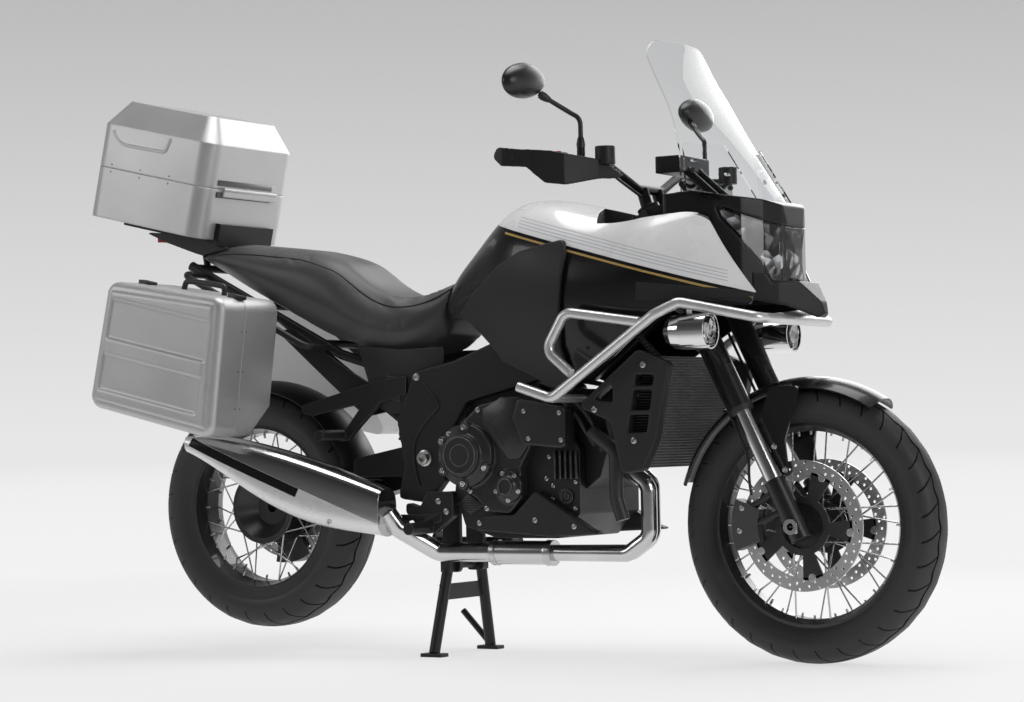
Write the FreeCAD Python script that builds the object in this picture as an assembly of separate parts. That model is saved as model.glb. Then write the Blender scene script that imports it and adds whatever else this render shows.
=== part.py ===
import FreeCAD, Part
import functools
import math
import os

# An adventure touring motorcycle on its centre stand, with luggage.
# Millimetres. +X is forward, +Y is the rider's left, +Z is up.
# The origin is on the floor, under the middle of the motorcycle.

# Clearances and stock sizes that many pieces share
OVERRUN = 40.0
SEAT_GAP = 0.3
RUNNING_GAP = 0.1
SEAM_GAP = 0.8
PANEL_WALL = 4.0
CORNER_ROUND = 12.0
EDGE_ROUND = 3.0

# Wheels and steering geometry
WHEELBASE = 1595.0
FRONT_AXLE_X = 855.0
REAR_LIFT = 54.0
RAKE_DEG = 26.0
FORK_OFFSET = 37.0
FORK_HALF_TRACK = 105.0

FRONT_TYRE_R = 329.0
FRONT_TYRE_HALF_W = 57.0
FRONT_BEAD_R = 241.5
FRONT_RIM_HALF_W = 38.0
FRONT_TREAD_DEPTH = 12.0
REAR_TYRE_R = 320.0
REAR_TYRE_HALF_W = 76.0
REAR_BEAD_R = 216.0
REAR_RIM_HALF_W = 59.0
REAR_TREAD_DEPTH = 14.0
TYRE_BEAD_RISE = 6.0
RIM_FLANGE_H = 13.0
RIM_FLANGE_T = 5.0
RIM_DEPTH = 14.0
RIM_WELL_SHARE = 0.42
SPOKE_R = 2.2
SPOKE_COUNT = 32

FRONT_AXLE_R = 12.0
FRONT_AXLE_BORE_R = 9.0
FRONT_HUB_R = 32.0
FRONT_HUB_HALF_W = 60.0
FRONT_FLANGE_R = 56.0
FRONT_FLANGE_Y = 40.0
FLANGE_T = 6.0
FRONT_DISC_R = 155.0
FRONT_DISC_INNER_R = 120.0
FRONT_DISC_Y = 66.0
DISC_T = 5.0
DISC_GAP = 1.5
CARRIER_ARM_COUNT = 5

REAR_HUB_R = 62.0
REAR_HUB_BORE_R = 15.0
REAR_FLANGE_R = 97.0
REAR_FLANGE_RIGHT_Y = -41.0
REAR_FLANGE_LEFT_Y = 47.0
REAR_DISH_R = 84.0
REAR_DISH_DEPTH = 44.0
REAR_DISC_R = 138.0
REAR_DISC_INNER_R = 98.0
REAR_DISC_Y = 66.0
REAR_STUB_R = 34.0
REAR_STUB_END_Y = 118.0

# Fork, clamps and what the rider steers
FORK_INNER_R = 21.5
FORK_OUTER_R = 28.0
FORK_OUTER_LOW = 308.0
FORK_TOP = 856.0
FORK_FOOT_R = 26.0
FORK_FOOT_LOW = -34.0
FORK_FOOT_TOP = 120.0
LOWER_CLAMP_Z = 596.0
LOWER_CLAMP_H = 42.0
UPPER_CLAMP_Z = 815.0
UPPER_CLAMP_H = 28.0
CLAMP_WALL = 12.0
STEM_R = 15.0
STEERING_GAP = 6.0
HEAD_TUBE_R = 31.0
BAR_R = 11.0
BAR_CENTRE_R = 14.0
BAR_HALF_W = 450.0
BAR_BEND = 40.0
BAR_X = 428.0
BAR_Z = 1150.0
BAR_RISE = 52.0
BAR_SWEEP = 112.0
BAR_CLAMP_HALF_W = 60.0
BAR_SHOULDER_Y = 190.0
BAR_KINK_Y = 300.0
GRIP_R = 17.0
GRIP_LENGTH = 118.0
RISER_R = 15.0
RISER_Y = 38.0

GUARD_REAR_X = 262.0
GUARD_LENGTH = 240.0
GUARD_LOW_Z = 1134.0
GUARD_HEIGHT = 104.0
GUARD_OUTER_Y = 470.0
GUARD_REACH_Y = 215.0
GUARD_WALL = 5.0
GUARD_SIDE_SHARES = [(0.0, 0.70), (0.10, 0.48), (0.38, 0.42), (0.55, 0.05), (0.72, 0.0),
                     (1.0, 0.22), (0.93, 0.60), (0.60, 0.78), (0.30, 0.84), (0.06, 0.92)]
GUARD_PLAN_SHARES = [(0.0, 0.02), (0.12, 0.0), (0.45, 0.03), (0.72, 0.20), (0.92, 0.55), (1.0, 1.0)]

CONTROL_Y = 322.0
CONTROL_HALF_W = 24.0
RESERVOIR_X = 485.0
RESERVOIR_R = 24.0
RESERVOIR_LOW_Z = 1186.0
RESERVOIR_TOP_Z = 1229.0
LEVER_R = 6.0
LEVER_X = 440.0
LEVER_END_X = 372.0
LEVER_Z = 1196.0
LEVER_END_Y = 418.0
MIRROR_BOSS_R = 10.0
MIRROR_BOSS_TOP_Z = 1228.0
END_WEIGHT_R = 13.0
GUARD_STAY_R = 5.0

MIRROR_STEM_R = 6.0
MIRROR_STEM_X = 420.0
MIRROR_STEM_TOP_Z = 1300.0
MIRROR_STEM_BEND = 30.0
MIRROR_X = 334.0
MIRROR_Y = 440.0
MIRROR_Z = 1384.0
MIRROR_HALF_W = 84.0
MIRROR_HALF_H = 44.0
MIRROR_HALF_D = 34.0
# Sections of a mirror's back as shares: depth forward of its middle, size
MIRROR_SHARES = [(-0.30, 0.90), (0.0, 1.0), (0.42, 0.92), (0.74, 0.68), (0.92, 0.40), (1.0, 0.18)]
MIRROR_CORNER_SHARE = 0.74
MIRROR_FOOT_SHARES = (0.25, 0.74, 0.55)

MUDGUARD_R = 352.0
MUDGUARD_WALL = 4.0
MUDGUARD_HALF_W = 66.0
MUDGUARD_DROP = 26.0
MUDGUARD_START_DEG = 57.0
MUDGUARD_END_DEG = 163.0
MUDGUARD_STAY_REAR_X = 752.0
MUDGUARD_STAY_LENGTH = 110.0
MUDGUARD_STAY_LOW_Z = 448.0
MUDGUARD_STAY_HEIGHT = 210.0
MUDGUARD_STAY_SHARES = [(0.45, 0.0), (0.70, 0.0), (0.62, 0.40), (1.0, 1.0), (0.30, 1.0), (0.0, 0.62), (0.12, 0.30)]

CALIPER_R = 172.0
CALIPER_INNER_R = 104.0
CALIPER_START_DEG = 158.0
CALIPER_SWEEP_DEG = 42.0
CALIPER_INNER_Y = 52.0
CALIPER_OUTER_Y = 98.0
CALIPER_LUG_R = 8.0
CALIPER_LUG_Y = 88.0
CALIPER_LUG_SHARES = [0.15, 0.60]

# Frame and engine
SPAR_INNER_Y = 118.0
SPAR_OUTER_Y = 148.0
SPAR_REAR_X = -240.0
SPAR_LOW_Z = 380.0
SPAR_SHARES = [(1.0, 0.81), (0.93, 0.98), (0.81, 0.94), (0.63, 0.81), (0.43, 0.66), (0.26, 0.59),
               (0.09, 0.55), (0.01, 0.35), (0.04, 0.16), (0.01, 0.03), (0.14, 0.01), (0.21, 0.10),
               (0.24, 0.29), (0.31, 0.42), (0.46, 0.46), (0.61, 0.50), (0.77, 0.63), (0.91, 0.76)]
GUSSET_LOW = 672.0
GUSSET_HEIGHT = 118.0
GUSSET_FRONT = 50.0
GUSSET_NECK = 97.0
GUSSET_REAR = 170.0
GUSSET_FRONT_HALF_W = 26.0
GUSSET_NECK_HALF_W = 44.0
COWL_STAY_HALF_W = 26.0
COWL_STAY_LOW = 705.0
COWL_STAY_HEIGHT = 45.0
COWL_STAY_REACH = 90.0
ENGINE_BOSS_X = -58.0
ENGINE_BOSS_Z = 560.0
ENGINE_BOSS_R = 16.0
PIVOT_X = -149.0
PIVOT_Z = 500.0
PIVOT_R = 17.0

CRANKCASE_HALF_W = 148.0
CRANKCASE_REAR_X = -60.0
CRANKCASE_LENGTH = 360.0
CRANKCASE_LOW_Z = 300.0
CRANKCASE_HEIGHT = 334.0
CRANKCASE_SHARES = [(0.0, 0.35), (0.08, 0.09), (0.33, 0.0), (0.83, 0.0), (1.0, 0.18), (1.0, 0.65),
                    (0.83, 0.94), (0.33, 0.97), (0.06, 0.88)]
HEAD_HALF_W = 116.0
FRONT_HEAD_LENGTH = 140.0
FRONT_HEAD_LOW_Z = 400.0
FRONT_HEAD_HEIGHT = 270.0
FRONT_HEAD_SHARES = [(0.0, 0.02), (0.32, 0.0), (0.80, 0.18), (1.0, 0.52), (0.86, 0.78), (0.30, 1.0), (0.0, 0.80)]
REAR_HEAD_REAR_X = -35.0
REAR_HEAD_LENGTH = 240.0
REAR_HEAD_HEIGHT = 125.0
REAR_HEAD_SHARES = [(0.0, 0.0), (1.0, 0.0), (0.86, 0.62), (0.40, 1.0), (0.06, 0.92)]

COVER_BASE_T = 32.0
COVER_REAR_X = -52.0
COVER_LENGTH = 240.0
COVER_LOW_Z = 362.0
COVER_HEIGHT = 285.0
COVER_SHARES = [(0.0, 0.48), (0.08, 0.22), (0.30, 0.14), (0.42, 0.02), (0.70, 0.0), (0.86, 0.14), (0.84, 0.40),
                (1.0, 0.62), (0.92, 0.90), (0.70, 1.0), (0.35, 0.94), (0.08, 0.74)]
CLUTCH_X = 0.0
CLUTCH_Z = 506.0
CLUTCH_R = 78.0
CLUTCH_DEPTH = 42.0
CLUTCH_FACE_R = 52.0
PUMP_X = 118.0
PUMP_Z = 428.0
PUMP_R = 40.0
PUMP_DEPTH = 22.0
GEARBOX_UNIT_REAR_X = 142.0
GEARBOX_UNIT_LENGTH = 150.0
GEARBOX_UNIT_LOW_Z = 520.0
GEARBOX_UNIT_HEIGHT = 124.0
GEARBOX_UNIT_DEPTH = 54.0
GEARBOX_UNIT_SHARES = [(0.18, 0.08), (0.98, 0.0), (1.0, 0.80), (0.75, 0.86), (0.10, 1.0), (0.0, 0.60)]
ALTERNATOR_X = 40.0
ALTERNATOR_Z = 470.0
ALTERNATOR_R = 96.0
ALTERNATOR_DEPTH = 62.0

# Exhaust, cooling and what hangs under the engine
HEADER_R = 20.0
HEADER_OUTER_Y = -112.0
HEADER_INNER_Y = -58.0
HEADER_PORT_X = 424.0
HEADER_PORT_Z = 470.0
HEADER_FRONT_X = 470.0
HEADER_LOW_Z = 262.0
HEADER_BEND = 34.0
COLLECTOR_R = 30.0
COLLECTOR_FRONT_X = 190.0
COLLECTOR_LENGTH = 170.0
COLLECTOR_Y = -100.0
TAIL_PIPE_R = 24.0
SILENCER_FRONT_X = -222.0
SILENCER_LENGTH = 523.0
SILENCER_FRONT_Y = -214.0
SILENCER_SPREAD_Y = 116.0
SILENCER_FRONT_Z = 365.0
SILENCER_RISE = 185.0
SILENCER_HALF_H = 80.0
SILENCER_HALF_W = 56.0
# Silencer sections as shares: length, spread, rise, half height, half width
SILENCER_SHARES = [(0.0, 0.0, 0.0, 0.75, 0.75), (0.207, 0.19, 0.163, 0.925, 0.93), (0.398, 0.362, 0.324, 1.0, 1.0),
                   (0.723, 0.741, 0.70, 0.72, 0.893), (1.0, 1.0, 0.98, 0.27, 0.60)]
SILENCER_CORNER_SHARE = 0.80
SILENCER_BORE_R = 22.0
SILENCER_BORE_DEPTH = 60.0

RADIATOR_HALF_W = 196.0
RADIATOR_T = 42.0
RADIATOR_TOP_X = 556.0
RADIATOR_TOP_Z = 736.0
RADIATOR_LOW_X = 492.0
RADIATOR_LOW_Z = 470.0
RADIATOR_STAY_R = 8.0
RADIATOR_STAY_Y = 132.0
SHROUD_INNER_Y = 200.0
SHROUD_OUTER_Y = 232.0
SHROUD_REAR_X = 344.0
SHROUD_LENGTH = 250.0
SHROUD_LOW_Z = 458.0
SHROUD_HEIGHT = 294.0
SHROUD_SHARES = [(0.0, 0.55), (0.36, 0.42), (0.46, 0.0), (0.70, 0.02), (0.84, 0.26), (1.0, 0.88), (0.66, 1.0)]
SHROUD_WINDOW_SHARES = [[(0.62, 0.706), (0.822, 0.706), (0.84, 0.79), (0.64, 0.80)],
                        [(0.578, 0.509), (0.784, 0.509), (0.816, 0.673), (0.613, 0.673)],
                        [(0.54, 0.33), (0.75, 0.33), (0.777, 0.471), (0.57, 0.471)],
                        [(0.17, 0.60), (0.39, 0.58), (0.38, 0.73)]]
COOLANT_PIPE_R = 17.0
COOLANT_PIPE_X = 402.0
COOLANT_PIPE_LOW_Z = 345.0
COOLANT_PIPE_TOP_Z = 560.0

BELLY_T = 32.0
BELLY_REAR_X = 5.0
BELLY_LENGTH = 378.0
BELLY_LOW_Z = 305.0
BELLY_HEIGHT = 112.0
BELLY_SHARES = [(0.0, 0.14), (0.60, 0.0), (1.0, 0.06), (0.90, 0.16), (0.49, 1.0), (0.33, 0.48), (0.10, 0.46)]

# Rear wheel carrier and underseat structure
ARM_PIVOT_HALF_W = 112.0
ARM_INNER_Y = 92.0
ARM_OUTER_Y = 168.0
ARM_PIVOT_HALF_H = 46.0
ARM_TAIL_HALF_H = 50.0
ARM_CROSS_BACK_X = -392.0
DRIVE_R = 86.0
DRIVE_INNER_Y = 84.0
DRIVE_OUTER_Y = 196.0
HUGGER_R = 338.0
HUGGER_WALL = 4.0
HUGGER_HALF_W = 84.0
HUGGER_START_DEG = 12.0
HUGGER_SWEEP_DEG = 80.0
HUGGER_TAB_R = 8.0
HUGGER_TAB_DEG = 16.0
ARM_PIVOT_R = 22.0
REAR_CALIPER_DEG = 260.0
REAR_CALIPER_SWEEP_DEG = 44.0
REAR_CALIPER_R = 152.0
REAR_CALIPER_INNER_Y = 54.0
REAR_CALIPER_OUTER_Y = 112.0

RAIL_R = 13.0
RAIL_Y = 118.0
RAIL_FRONT_X = -190.0
RAIL_FRONT_Z = 700.0
RAIL_MID_X = -420.0
RAIL_MID_Z = 770.0
RAIL_REAR_X = -905.0
RAIL_REAR_Z = 1022.0
STRUT_FOOT_X = -222.0
STRUT_FOOT_Z = 590.0
STRUT_TOP_X = -610.0
RAIL_BEND = 60.0
RAIL_CROSS_X_SHARES = [0.12, 0.55, 0.98]
UNDERTRAY_HALF_W = 98.0

SEAT_REAR_X = -885.0
SEAT_LENGTH = 797.0
SEAT_HALF_W = 158.0
SEAT_LOW_Z = 768.0
SEAT_HEIGHT = 314.0
# Seat sections as shares: length, half width, low height, top height
SEAT_SHARES = [(0.0, 0.61, 0.834, 0.935), (0.119, 0.76, 0.691, 0.965), (0.232, 0.86, 0.548, 0.942),
               (0.408, 0.95, 0.331, 0.885), (0.571, 1.0, 0.140, 0.758), (0.684, 1.0, 0.057, 0.548),
               (0.790, 0.962, 0.0, 0.446), (0.903, 0.797, 0.045, 0.478), (1.0, 0.582, 0.197, 0.637)]
SEAT_ROUND_SHARE = 0.42

BODY_REAR_X = -112.0
BODY_LENGTH = 908.0
BODY_HALF_W = 256.0
BODY_LOW_Z = 545.0
BODY_HEIGHT = 590.0
# Tank and fairing sections as shares: length, half width, low, middle and top heights
BODY_SHARES = [(0.0, 0.375, 0.419, 0.517, 0.610), (0.074, 0.523, 0.331, 0.547, 0.775), (0.156, 0.633, 0.246, 0.576, 0.898),
               (0.249, 0.762, 0.110, 0.602, 0.997), (0.366, 0.875, 0.034, 0.602, 0.998), (0.472, 0.949, 0.0, 0.602, 0.954),
               (0.564, 0.984, 0.0, 0.602, 0.920), (0.660, 1.0, 0.034, 0.602, 0.924), (0.773, 0.961, 0.093, 0.602, 0.958),
               (0.868, 0.883, 0.178, 0.588, 0.981), (0.938, 0.781, 0.263, 0.571, 0.927), (1.0, 0.656, 0.364, 0.551, 0.788)]
BODY_CORNER_SHARE = 0.80
STRIPE_X = 317.0
STRIPE_Z = 1009.0
STRIPE_SLOPE_DEG = 15.5
TANK_FRONT_X = 335.0
TANK_LOW_Z = 850.0
COVER_OPEN_X = 300.0
COVER_OPEN_WIDE_X = 385.0
COVER_OPEN_FRONT_X = 700.0
COVER_OPEN_HALF_W = 192.0
COVER_OPEN_NOSE_HALF_W = 140.0
FAIRING_NOSE_TOP_X = 680.0
FAIRING_NOSE_TOP_Z = 1070.0
FAIRING_NOSE_LOW_X = 794.0
FAIRING_NOSE_LOW_Z = 880.0
FAIRING_REAR_X = 190.0
FAIRING_LENGTH = 605.0
FAIRING_LOW_Z = 682.0
FAIRING_HEIGHT = 350.0
FAIRING_SHARES = [(0.0, 0.25), (0.20, 0.0), (0.40, 0.16), (0.66, 0.46), (0.98, 0.48), (1.0, 0.60), (0.90, 1.0), (0.0, 1.0)]

KNEE_PROUD = 15.0
KNEE_REAR_X = -66.0
KNEE_LENGTH = 400.0
KNEE_LOW_Z = 652.0
KNEE_HEIGHT = 372.0
KNEE_SHARES = [(0.0, 0.50), (0.18, 0.31), (0.50, 0.17), (0.80, 0.03), (0.94, 0.0), (0.88, 0.30), (0.94, 0.62),
               (0.99, 0.90), (0.96, 1.0), (0.64, 0.94), (0.46, 0.86), (0.20, 0.68)]

# Plan of the nose and its edges as shares: distance forward and half width
NOSE_REAR_X = 560.0
NOSE_LENGTH = 268.0
NOSE_HALF_W = 190.0
NOSE_PLAN_SHARES = [(0.0, 1.0), (0.485, 0.937), (0.709, 0.789), (0.858, 0.589), (0.951, 0.347), (1.0, 0.10)]
NOSE_WALL = 16.0
COWL_REAR_X = 560.0
COWL_LENGTH = 262.0
COWL_LOW_Z = 1036.0
COWL_HEIGHT = 90.0
COWL_SHARES = [(0.0, 0.29), (0.0, 0.93), (0.286, 1.0), (0.534, 0.867), (0.874, 0.711), (0.977, 0.578), (0.996, 0.044),
               (0.940, 0.0), (0.737, 0.31), (0.523, 0.60), (0.380, 0.29)]
BAND_REAR_X = 640.0
BAND_LENGTH = 180.0
BAND_LOW_Z = 882.0
BAND_HEIGHT = 208.0
BAND_SHARES = [(0.0, 0.865), (0.333, 1.0), (0.97, 0.567), (0.92, 0.11), (0.83, 0.0), (0.47, 0.0), (0.333, 0.40)]
LAMP_REAR_X = 695.0
LAMP_LENGTH = 133.0
LAMP_LOW_Z = 904.0
LAMP_HEIGHT = 184.0
LAMP_SHARES = [(0.0, 1.0), (0.436, 0.864), (0.925, 0.723), (1.0, 0.44), (1.0, 0.196), (0.94, 0.01), (0.79, 0.0),
               (0.684, 0.26), (0.549, 0.413), (0.338, 0.62), (0.083, 0.826)]
BEAK_HALF_W = 165.0
BEAK_REAR_X = 700.0
BEAK_LENGTH = 198.0
BEAK_LOW_Z = 818.0
BEAK_HEIGHT = 118.0
BEAK_SHARES = [(0.0, 0.54), (0.237, 0.42), (0.657, 0.25), (0.93, 0.0), (1.0, 0.085), (0.965, 0.33), (0.768, 0.746),
               (0.535, 0.71), (0.48, 0.907), (0.0, 1.0)]
BEAK_PLAN_SHARES = [(0.0, 1.0), (0.303, 0.85), (0.606, 0.576), (0.808, 0.303), (1.0, 0.06)]

SCREEN_WALL = 4.0
SCREEN_LOW_Z = 1100.0
SCREEN_HEIGHT = 403.0
SCREEN_HALF_W = 208.0
SCREEN_TOP_X = 462.0
SCREEN_REACH = 319.0
# Screen sections as shares: height, half width, reach forward at the middle and at the edge
SCREEN_SHARES = [(0.0, 1.0, 1.0, 0.52), (0.25, 0.985, 0.788, 0.505), (0.5, 0.90, 0.565, 0.42),
                 (0.75, 0.82, 0.345, 0.26), (1.0, 0.74, 0.20, 0.13)]
SCREEN_TOP_ROUND = 84.0
DEFLECTOR_PROUD = 7.0
DEFLECTOR_INNER_Y = 96.0
DEFLECTOR_TOP_Z = 1236.0
DEFLECTOR_PIN_R = 4.0
DEFLECTOR_PIN_Y_SHARES = [0.30, 0.80]

METER_HALF_W = 78.0
METER_REAR_X = 486.0
METER_LENGTH = 70.0
METER_LOW_Z = 1182.0
METER_HEIGHT = 42.0
METER_POST_Y = 30.0
METER_POST_R = 10.0
METER_POST_X = 655.0
METER_POST_LOW_Z = 1095.0

# Crash bars and fog lamps
CRASH_R = 12.5
CRASH_Y = 276.0
CRASH_BEND = 30.0
CRASH_END_X = 207.0
CRASH_END_Z = 670.0
CRASH_LOW_X = 300.0
CRASH_LOW_Z = 640.0
CRASH_SHOULDER_X = 636.0
CRASH_SHOULDER_Z = 858.0
CRASH_SHOULDER_Y = 256.0
CRASH_NOSE_X = 818.0
CRASH_NOSE_Z = 816.0
CRASH_NOSE_Y = 190.0
CRASH_LOOP_SHARES = [(0.72, 0.80), (0.12, 0.94), (-0.04, 0.53), (0.16, 0.27)]
FOG_R = 43.5
FOG_BACK_X = 592.0
FOG_LENGTH = 112.0
FOG_Y = 226.0
FOG_Z = 790.0
FOG_BEZEL_R = 40.0
FOG_POST_R = 7.0
FOG_POST_X = 650.0

# Stands and footrests
STAND_PIVOT_X = -130.0
STAND_PIVOT_Z = 225.0
STAND_PIN_R = 8.0
STAND_EAR_INNER_Y = 50.0
STAND_EAR_OUTER_Y = 62.0
STAND_LEG_R = 14.0
STAND_LEG_TOP_Y = 78.0
STAND_FOOT_X = -140.0
STAND_FOOT_Y = 134.0
STAND_FOOT_LENGTH = 62.0
STAND_FOOT_W = 34.0
STAND_FOOT_T = 9.0
STAND_PLATE_LOW_Z = 140.0
STAND_PLATE_HEIGHT = 40.0
STAND_PLATE_T = 8.0
STAND_LEVER_X = -222.0
STAND_LEVER_Z = 98.0
STAND_EAR_HALF_L = 26.0
SIDE_PIVOT_X = -70.0
SIDE_PIVOT_Y = 128.0
SIDE_PIVOT_Z = 268.0
SIDE_AXIS_TILT_DEG = 20.0
SIDE_LEG_LENGTH = 232.0
SIDE_LEG_R = 13.0
SIDE_PIN_R = 8.0
SIDE_PIN_LENGTH = 26.0
SIDE_FOOT_R = 30.0
SIDE_FOOT_T = 8.0
SIDE_LUG_T = 12.0

PEG_R = 15.0
PEG_X = -128.0
PEG_Z = 326.0
PEG_OUTER_Y = 262.0
HANGER_T = 20.0
HANGER_REAR_X = -195.0
HANGER_LENGTH = 140.0
HANGER_LOW_Z = 308.0
HANGER_HEIGHT = 108.0
HANGER_SHARES = [(0.0, 0.52), (0.20, 0.26), (0.36, 0.04), (0.60, 0.04), (1.0, 0.42), (1.0, 1.0), (0.45, 1.0),
                 (0.30, 0.64), (0.0, 0.76)]
PILLION_REAR_X = -530.0
PILLION_LENGTH = 324.0
PILLION_LOW_Z = 545.0
PILLION_HEIGHT = 190.0
PILLION_T = 14.0
PILLION_SHARES = [(0.0, 0.40), (0.10, 0.36), (0.60, 0.52), (0.34, 0.0), (0.44, 0.02), (0.76, 0.52), (1.0, 0.62),
                  (1.0, 0.86), (0.70, 0.80), (0.0, 0.50)]
PILLION_PEG_X = -405.0
PILLION_PEG_Z = 562.0

# Luggage
CASE_TILT_DEG = 13.0
CASE_WALL = 4.0
SIDE_CASE_X = -739.0
SIDE_CASE_Z = 774.0
SIDE_CASE_LENGTH = 412.0
SIDE_CASE_HEIGHT = 354.0
SIDE_CASE_SHARES = [(0.005, 0.0085), (1.0, 0.0), (0.913, 1.0), (0.0, 0.935)]
SIDE_CASE_INNER_Y = 236.0
SIDE_CASE_SEAM_Y = 370.0
SIDE_CASE_OUTER_Y = 470.0
SIDE_CASE_ROUND = 34.0
SIDE_CASE_EDGE_R = 20.0
SIDE_CASE_CUT_Z = 640.0
SIDE_CASE_CUT_W = 85.0
SIDE_CASE_CUT_H = 83.0
HINGE_R = 5.0
HINGE_GAP = 1.0
HINGE_LEAF_W = 20.0
HINGE_SHARE = 0.62
SIDE_HINGE_SHARE = 0.30
TOP_CASE_X = -1022.0
TOP_CASE_LOW_Z = 1132.0
TOP_CASE_LENGTH = 390.0
TOP_CASE_HALF_W = 188.0
TOP_CASE_BASE_H = 137.0
TOP_CASE_LID_H = 186.0
TOP_CASE_LID_WALL_H = 117.0
TOP_CASE_SLOPE = 46.0
TOP_CASE_CORNER_SHARE = 0.45
TOP_CASE_ROUND = 45.0
TOP_PLATE_T = 14.0
TOP_PLATE_HALF_W = 90.0
TOP_PLATE_LENGTH = 290.0
TOP_LOCK_HALF_W = 118.0
TOP_LOCK_H = 46.0
TOP_LOCK_T = 16.0
TAIL_REAR_X = -1073.0
TAIL_LENGTH = 490.0
TAIL_LOW_Z = 838.0
TAIL_HEIGHT = 284.0
TAIL_HALF_W = 96.0
TAIL_SHARES = [(0.0, 0.996), (0.145, 0.887), (0.33, 0.775), (0.578, 0.648), (0.751, 0.394), (0.884, 0.183), (1.0, 0.0),
               (1.0, 0.12), (0.884, 0.34), (0.761, 0.56), (0.618, 0.76), (0.435, 0.88), (0.31, 0.95), (0.03, 1.0)]
RACK_R = 9.0
RACK_BEND = 30.0
RACK_FRONT_X = -455.0
RACK_REAR_X = -850.0
POST_R = 9.0
POST_Y = 60.0

FRONT_AXLE_Z = FRONT_TYRE_R
REAR_AXLE_X = FRONT_AXLE_X - WHEELBASE
REAR_AXLE_Z = REAR_TYRE_R + REAR_LIFT
RAKE_COS = math.cos(math.radians(RAKE_DEG))
RAKE_SIN = math.sin(math.radians(RAKE_DEG))
SPAR_FRONT_X = FRONT_AXLE_X - GUSSET_NECK * RAKE_COS - GUSSET_LOW * RAKE_SIN - FLANGE_T * 2
SPAR_TOP_Z = FRONT_AXLE_Z - GUSSET_NECK * RAKE_SIN + (GUSSET_LOW + GUSSET_HEIGHT) * RAKE_COS
SPAR_LENGTH = SPAR_FRONT_X - SPAR_REAR_X
SPAR_HEIGHT = SPAR_TOP_Z - SPAR_LOW_Z
UP = FreeCAD.Vector(0, 0, 1)
ALONG = FreeCAD.Vector(1, 0, 0)
ACROSS = FreeCAD.Vector(0, 1, 0)


def vec(x, y, z):
    return FreeCAD.Vector(x, y, z)


def side_outline(rear, low, length, height, shares):
    """Side view corners of a piece, given as shares of its length and height."""
    return [vec(rear + length * x, 0, low + height * z) for x, z in shares]


def rounded_wire(corners, radius):
    """A closed wire through flat corners, each one rounded as far as its sides allow."""
    edges = []
    ends = []
    count = len(corners)
    for index in range(count):
        before = corners[index - 1]
        here = corners[index]
        after = corners[(index + 1) % count]
        into = (before - here).normalize()
        out = (after - here).normalize()
        half = into.getAngle(out) / 2
        reach = min(before.distanceToPoint(here), after.distanceToPoint(here)) * 0.45
        back = min(radius / math.tan(half), reach) if half < math.pi / 2 - 0.001 else 0
        if back == 0:
            ends.append((here, here, here))
            continue
        start = here + into * back
        end = here + out * back
        bulge = (into + out).normalize()
        arc_radius = back * math.tan(half)
        middle = here + bulge * (arc_radius / math.sin(half) - arc_radius)
        ends.append((start, middle, end))
    for index in range(count):
        start, middle, end = ends[index]
        following = ends[(index + 1) % count][0]
        if start != end:
            edges.append(Part.Arc(start, middle, end).toShape())
        edges.append(Part.makeLine(end, following))
    return Part.Wire(edges)


def side_plate(corners, radius, inner_y, outer_y):
    """A plate of a side view outline between two distances from the middle plane."""
    face = Part.Face(rounded_wire(corners, radius))
    face.translate(vec(0, inner_y, 0))
    return face.extrude(vec(0, outer_y - inner_y, 0))


def plan_prism(corners, radius, low, high):
    """A block of a plan view outline between two heights."""
    face = Part.Face(rounded_wire(corners, radius))
    face.translate(vec(0, 0, low))
    return face.extrude(vec(0, 0, high - low))


def front_plate(corners, radius, low_x, high_x):
    """A front view outline with rounded corners, pulled along the motorcycle."""
    wire = rounded_wire([vec(low_x, p.y, p.z) for p in corners], radius)
    return Part.Face(wire).extrude(vec(high_x - low_x, 0, 0))


def block(low_x, low_y, low_z, high_x, high_y, high_z):
    return Part.makeBox(high_x - low_x, high_y - low_y, high_z - low_z, vec(low_x, low_y, low_z))


def round_bar(start, end, radius):
    return Part.makeCylinder(radius, start.distanceToPoint(end), start, end - start)


def path_wire(points, bend):
    """Straight runs joined by tangent arcs."""
    edges = []
    here = points[0]
    for index in range(1, len(points) - 1):
        corner = points[index]
        into = (points[index - 1] - corner).normalize()
        out = (points[index + 1] - corner).normalize()
        half = into.getAngle(out) / 2
        shorter = min(points[index - 1].distanceToPoint(corner), points[index + 1].distanceToPoint(corner))
        back = min(bend / math.tan(half), shorter * 0.45)
        arc_radius = back * math.tan(half)
        bulge = (into + out).normalize()
        middle = corner + bulge * (arc_radius / math.sin(half) - arc_radius)
        edges.append(Part.makeLine(here, corner + into * back))
        edges.append(Part.Arc(corner + into * back, middle, corner + out * back).toShape())
        here = corner + out * back
    edges.append(Part.makeLine(here, points[-1]))
    return Part.Wire(edges)


def bent_tube(points, bend, radius):
    """A round bar swept along straight runs and tangent arcs."""
    path = path_wire(points, bend)
    ring = Part.Wire(Part.makeCircle(radius, points[0], points[1] - points[0]))
    return path.makePipeShell([ring], True, False)


def mirrored(shape):
    return shape.mirror(vec(0, 0, 0), ACROSS)


def both_sides(shape):
    """The piece and its mirror image, as two separate solids."""
    return Part.makeCompound([shape, mirrored(shape)])


def turned(axle_x, axle_z, profile):
    """A ring turned about a wheel's axle from a wire of radius and sideways places."""
    face = Part.Face(profile)
    ring = face.revolve(vec(0, 0, 0), ACROSS, 360)
    ring.translate(vec(axle_x, 0, axle_z))
    return ring


def lathe(axle_x, axle_z, pairs):
    """A turned piece with straight sides, from radius and sideways pairs."""
    points = [vec(radius, y, 0) for radius, y in pairs]
    return turned(axle_x, axle_z, Part.makePolygon(points + points[:1]))


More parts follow.
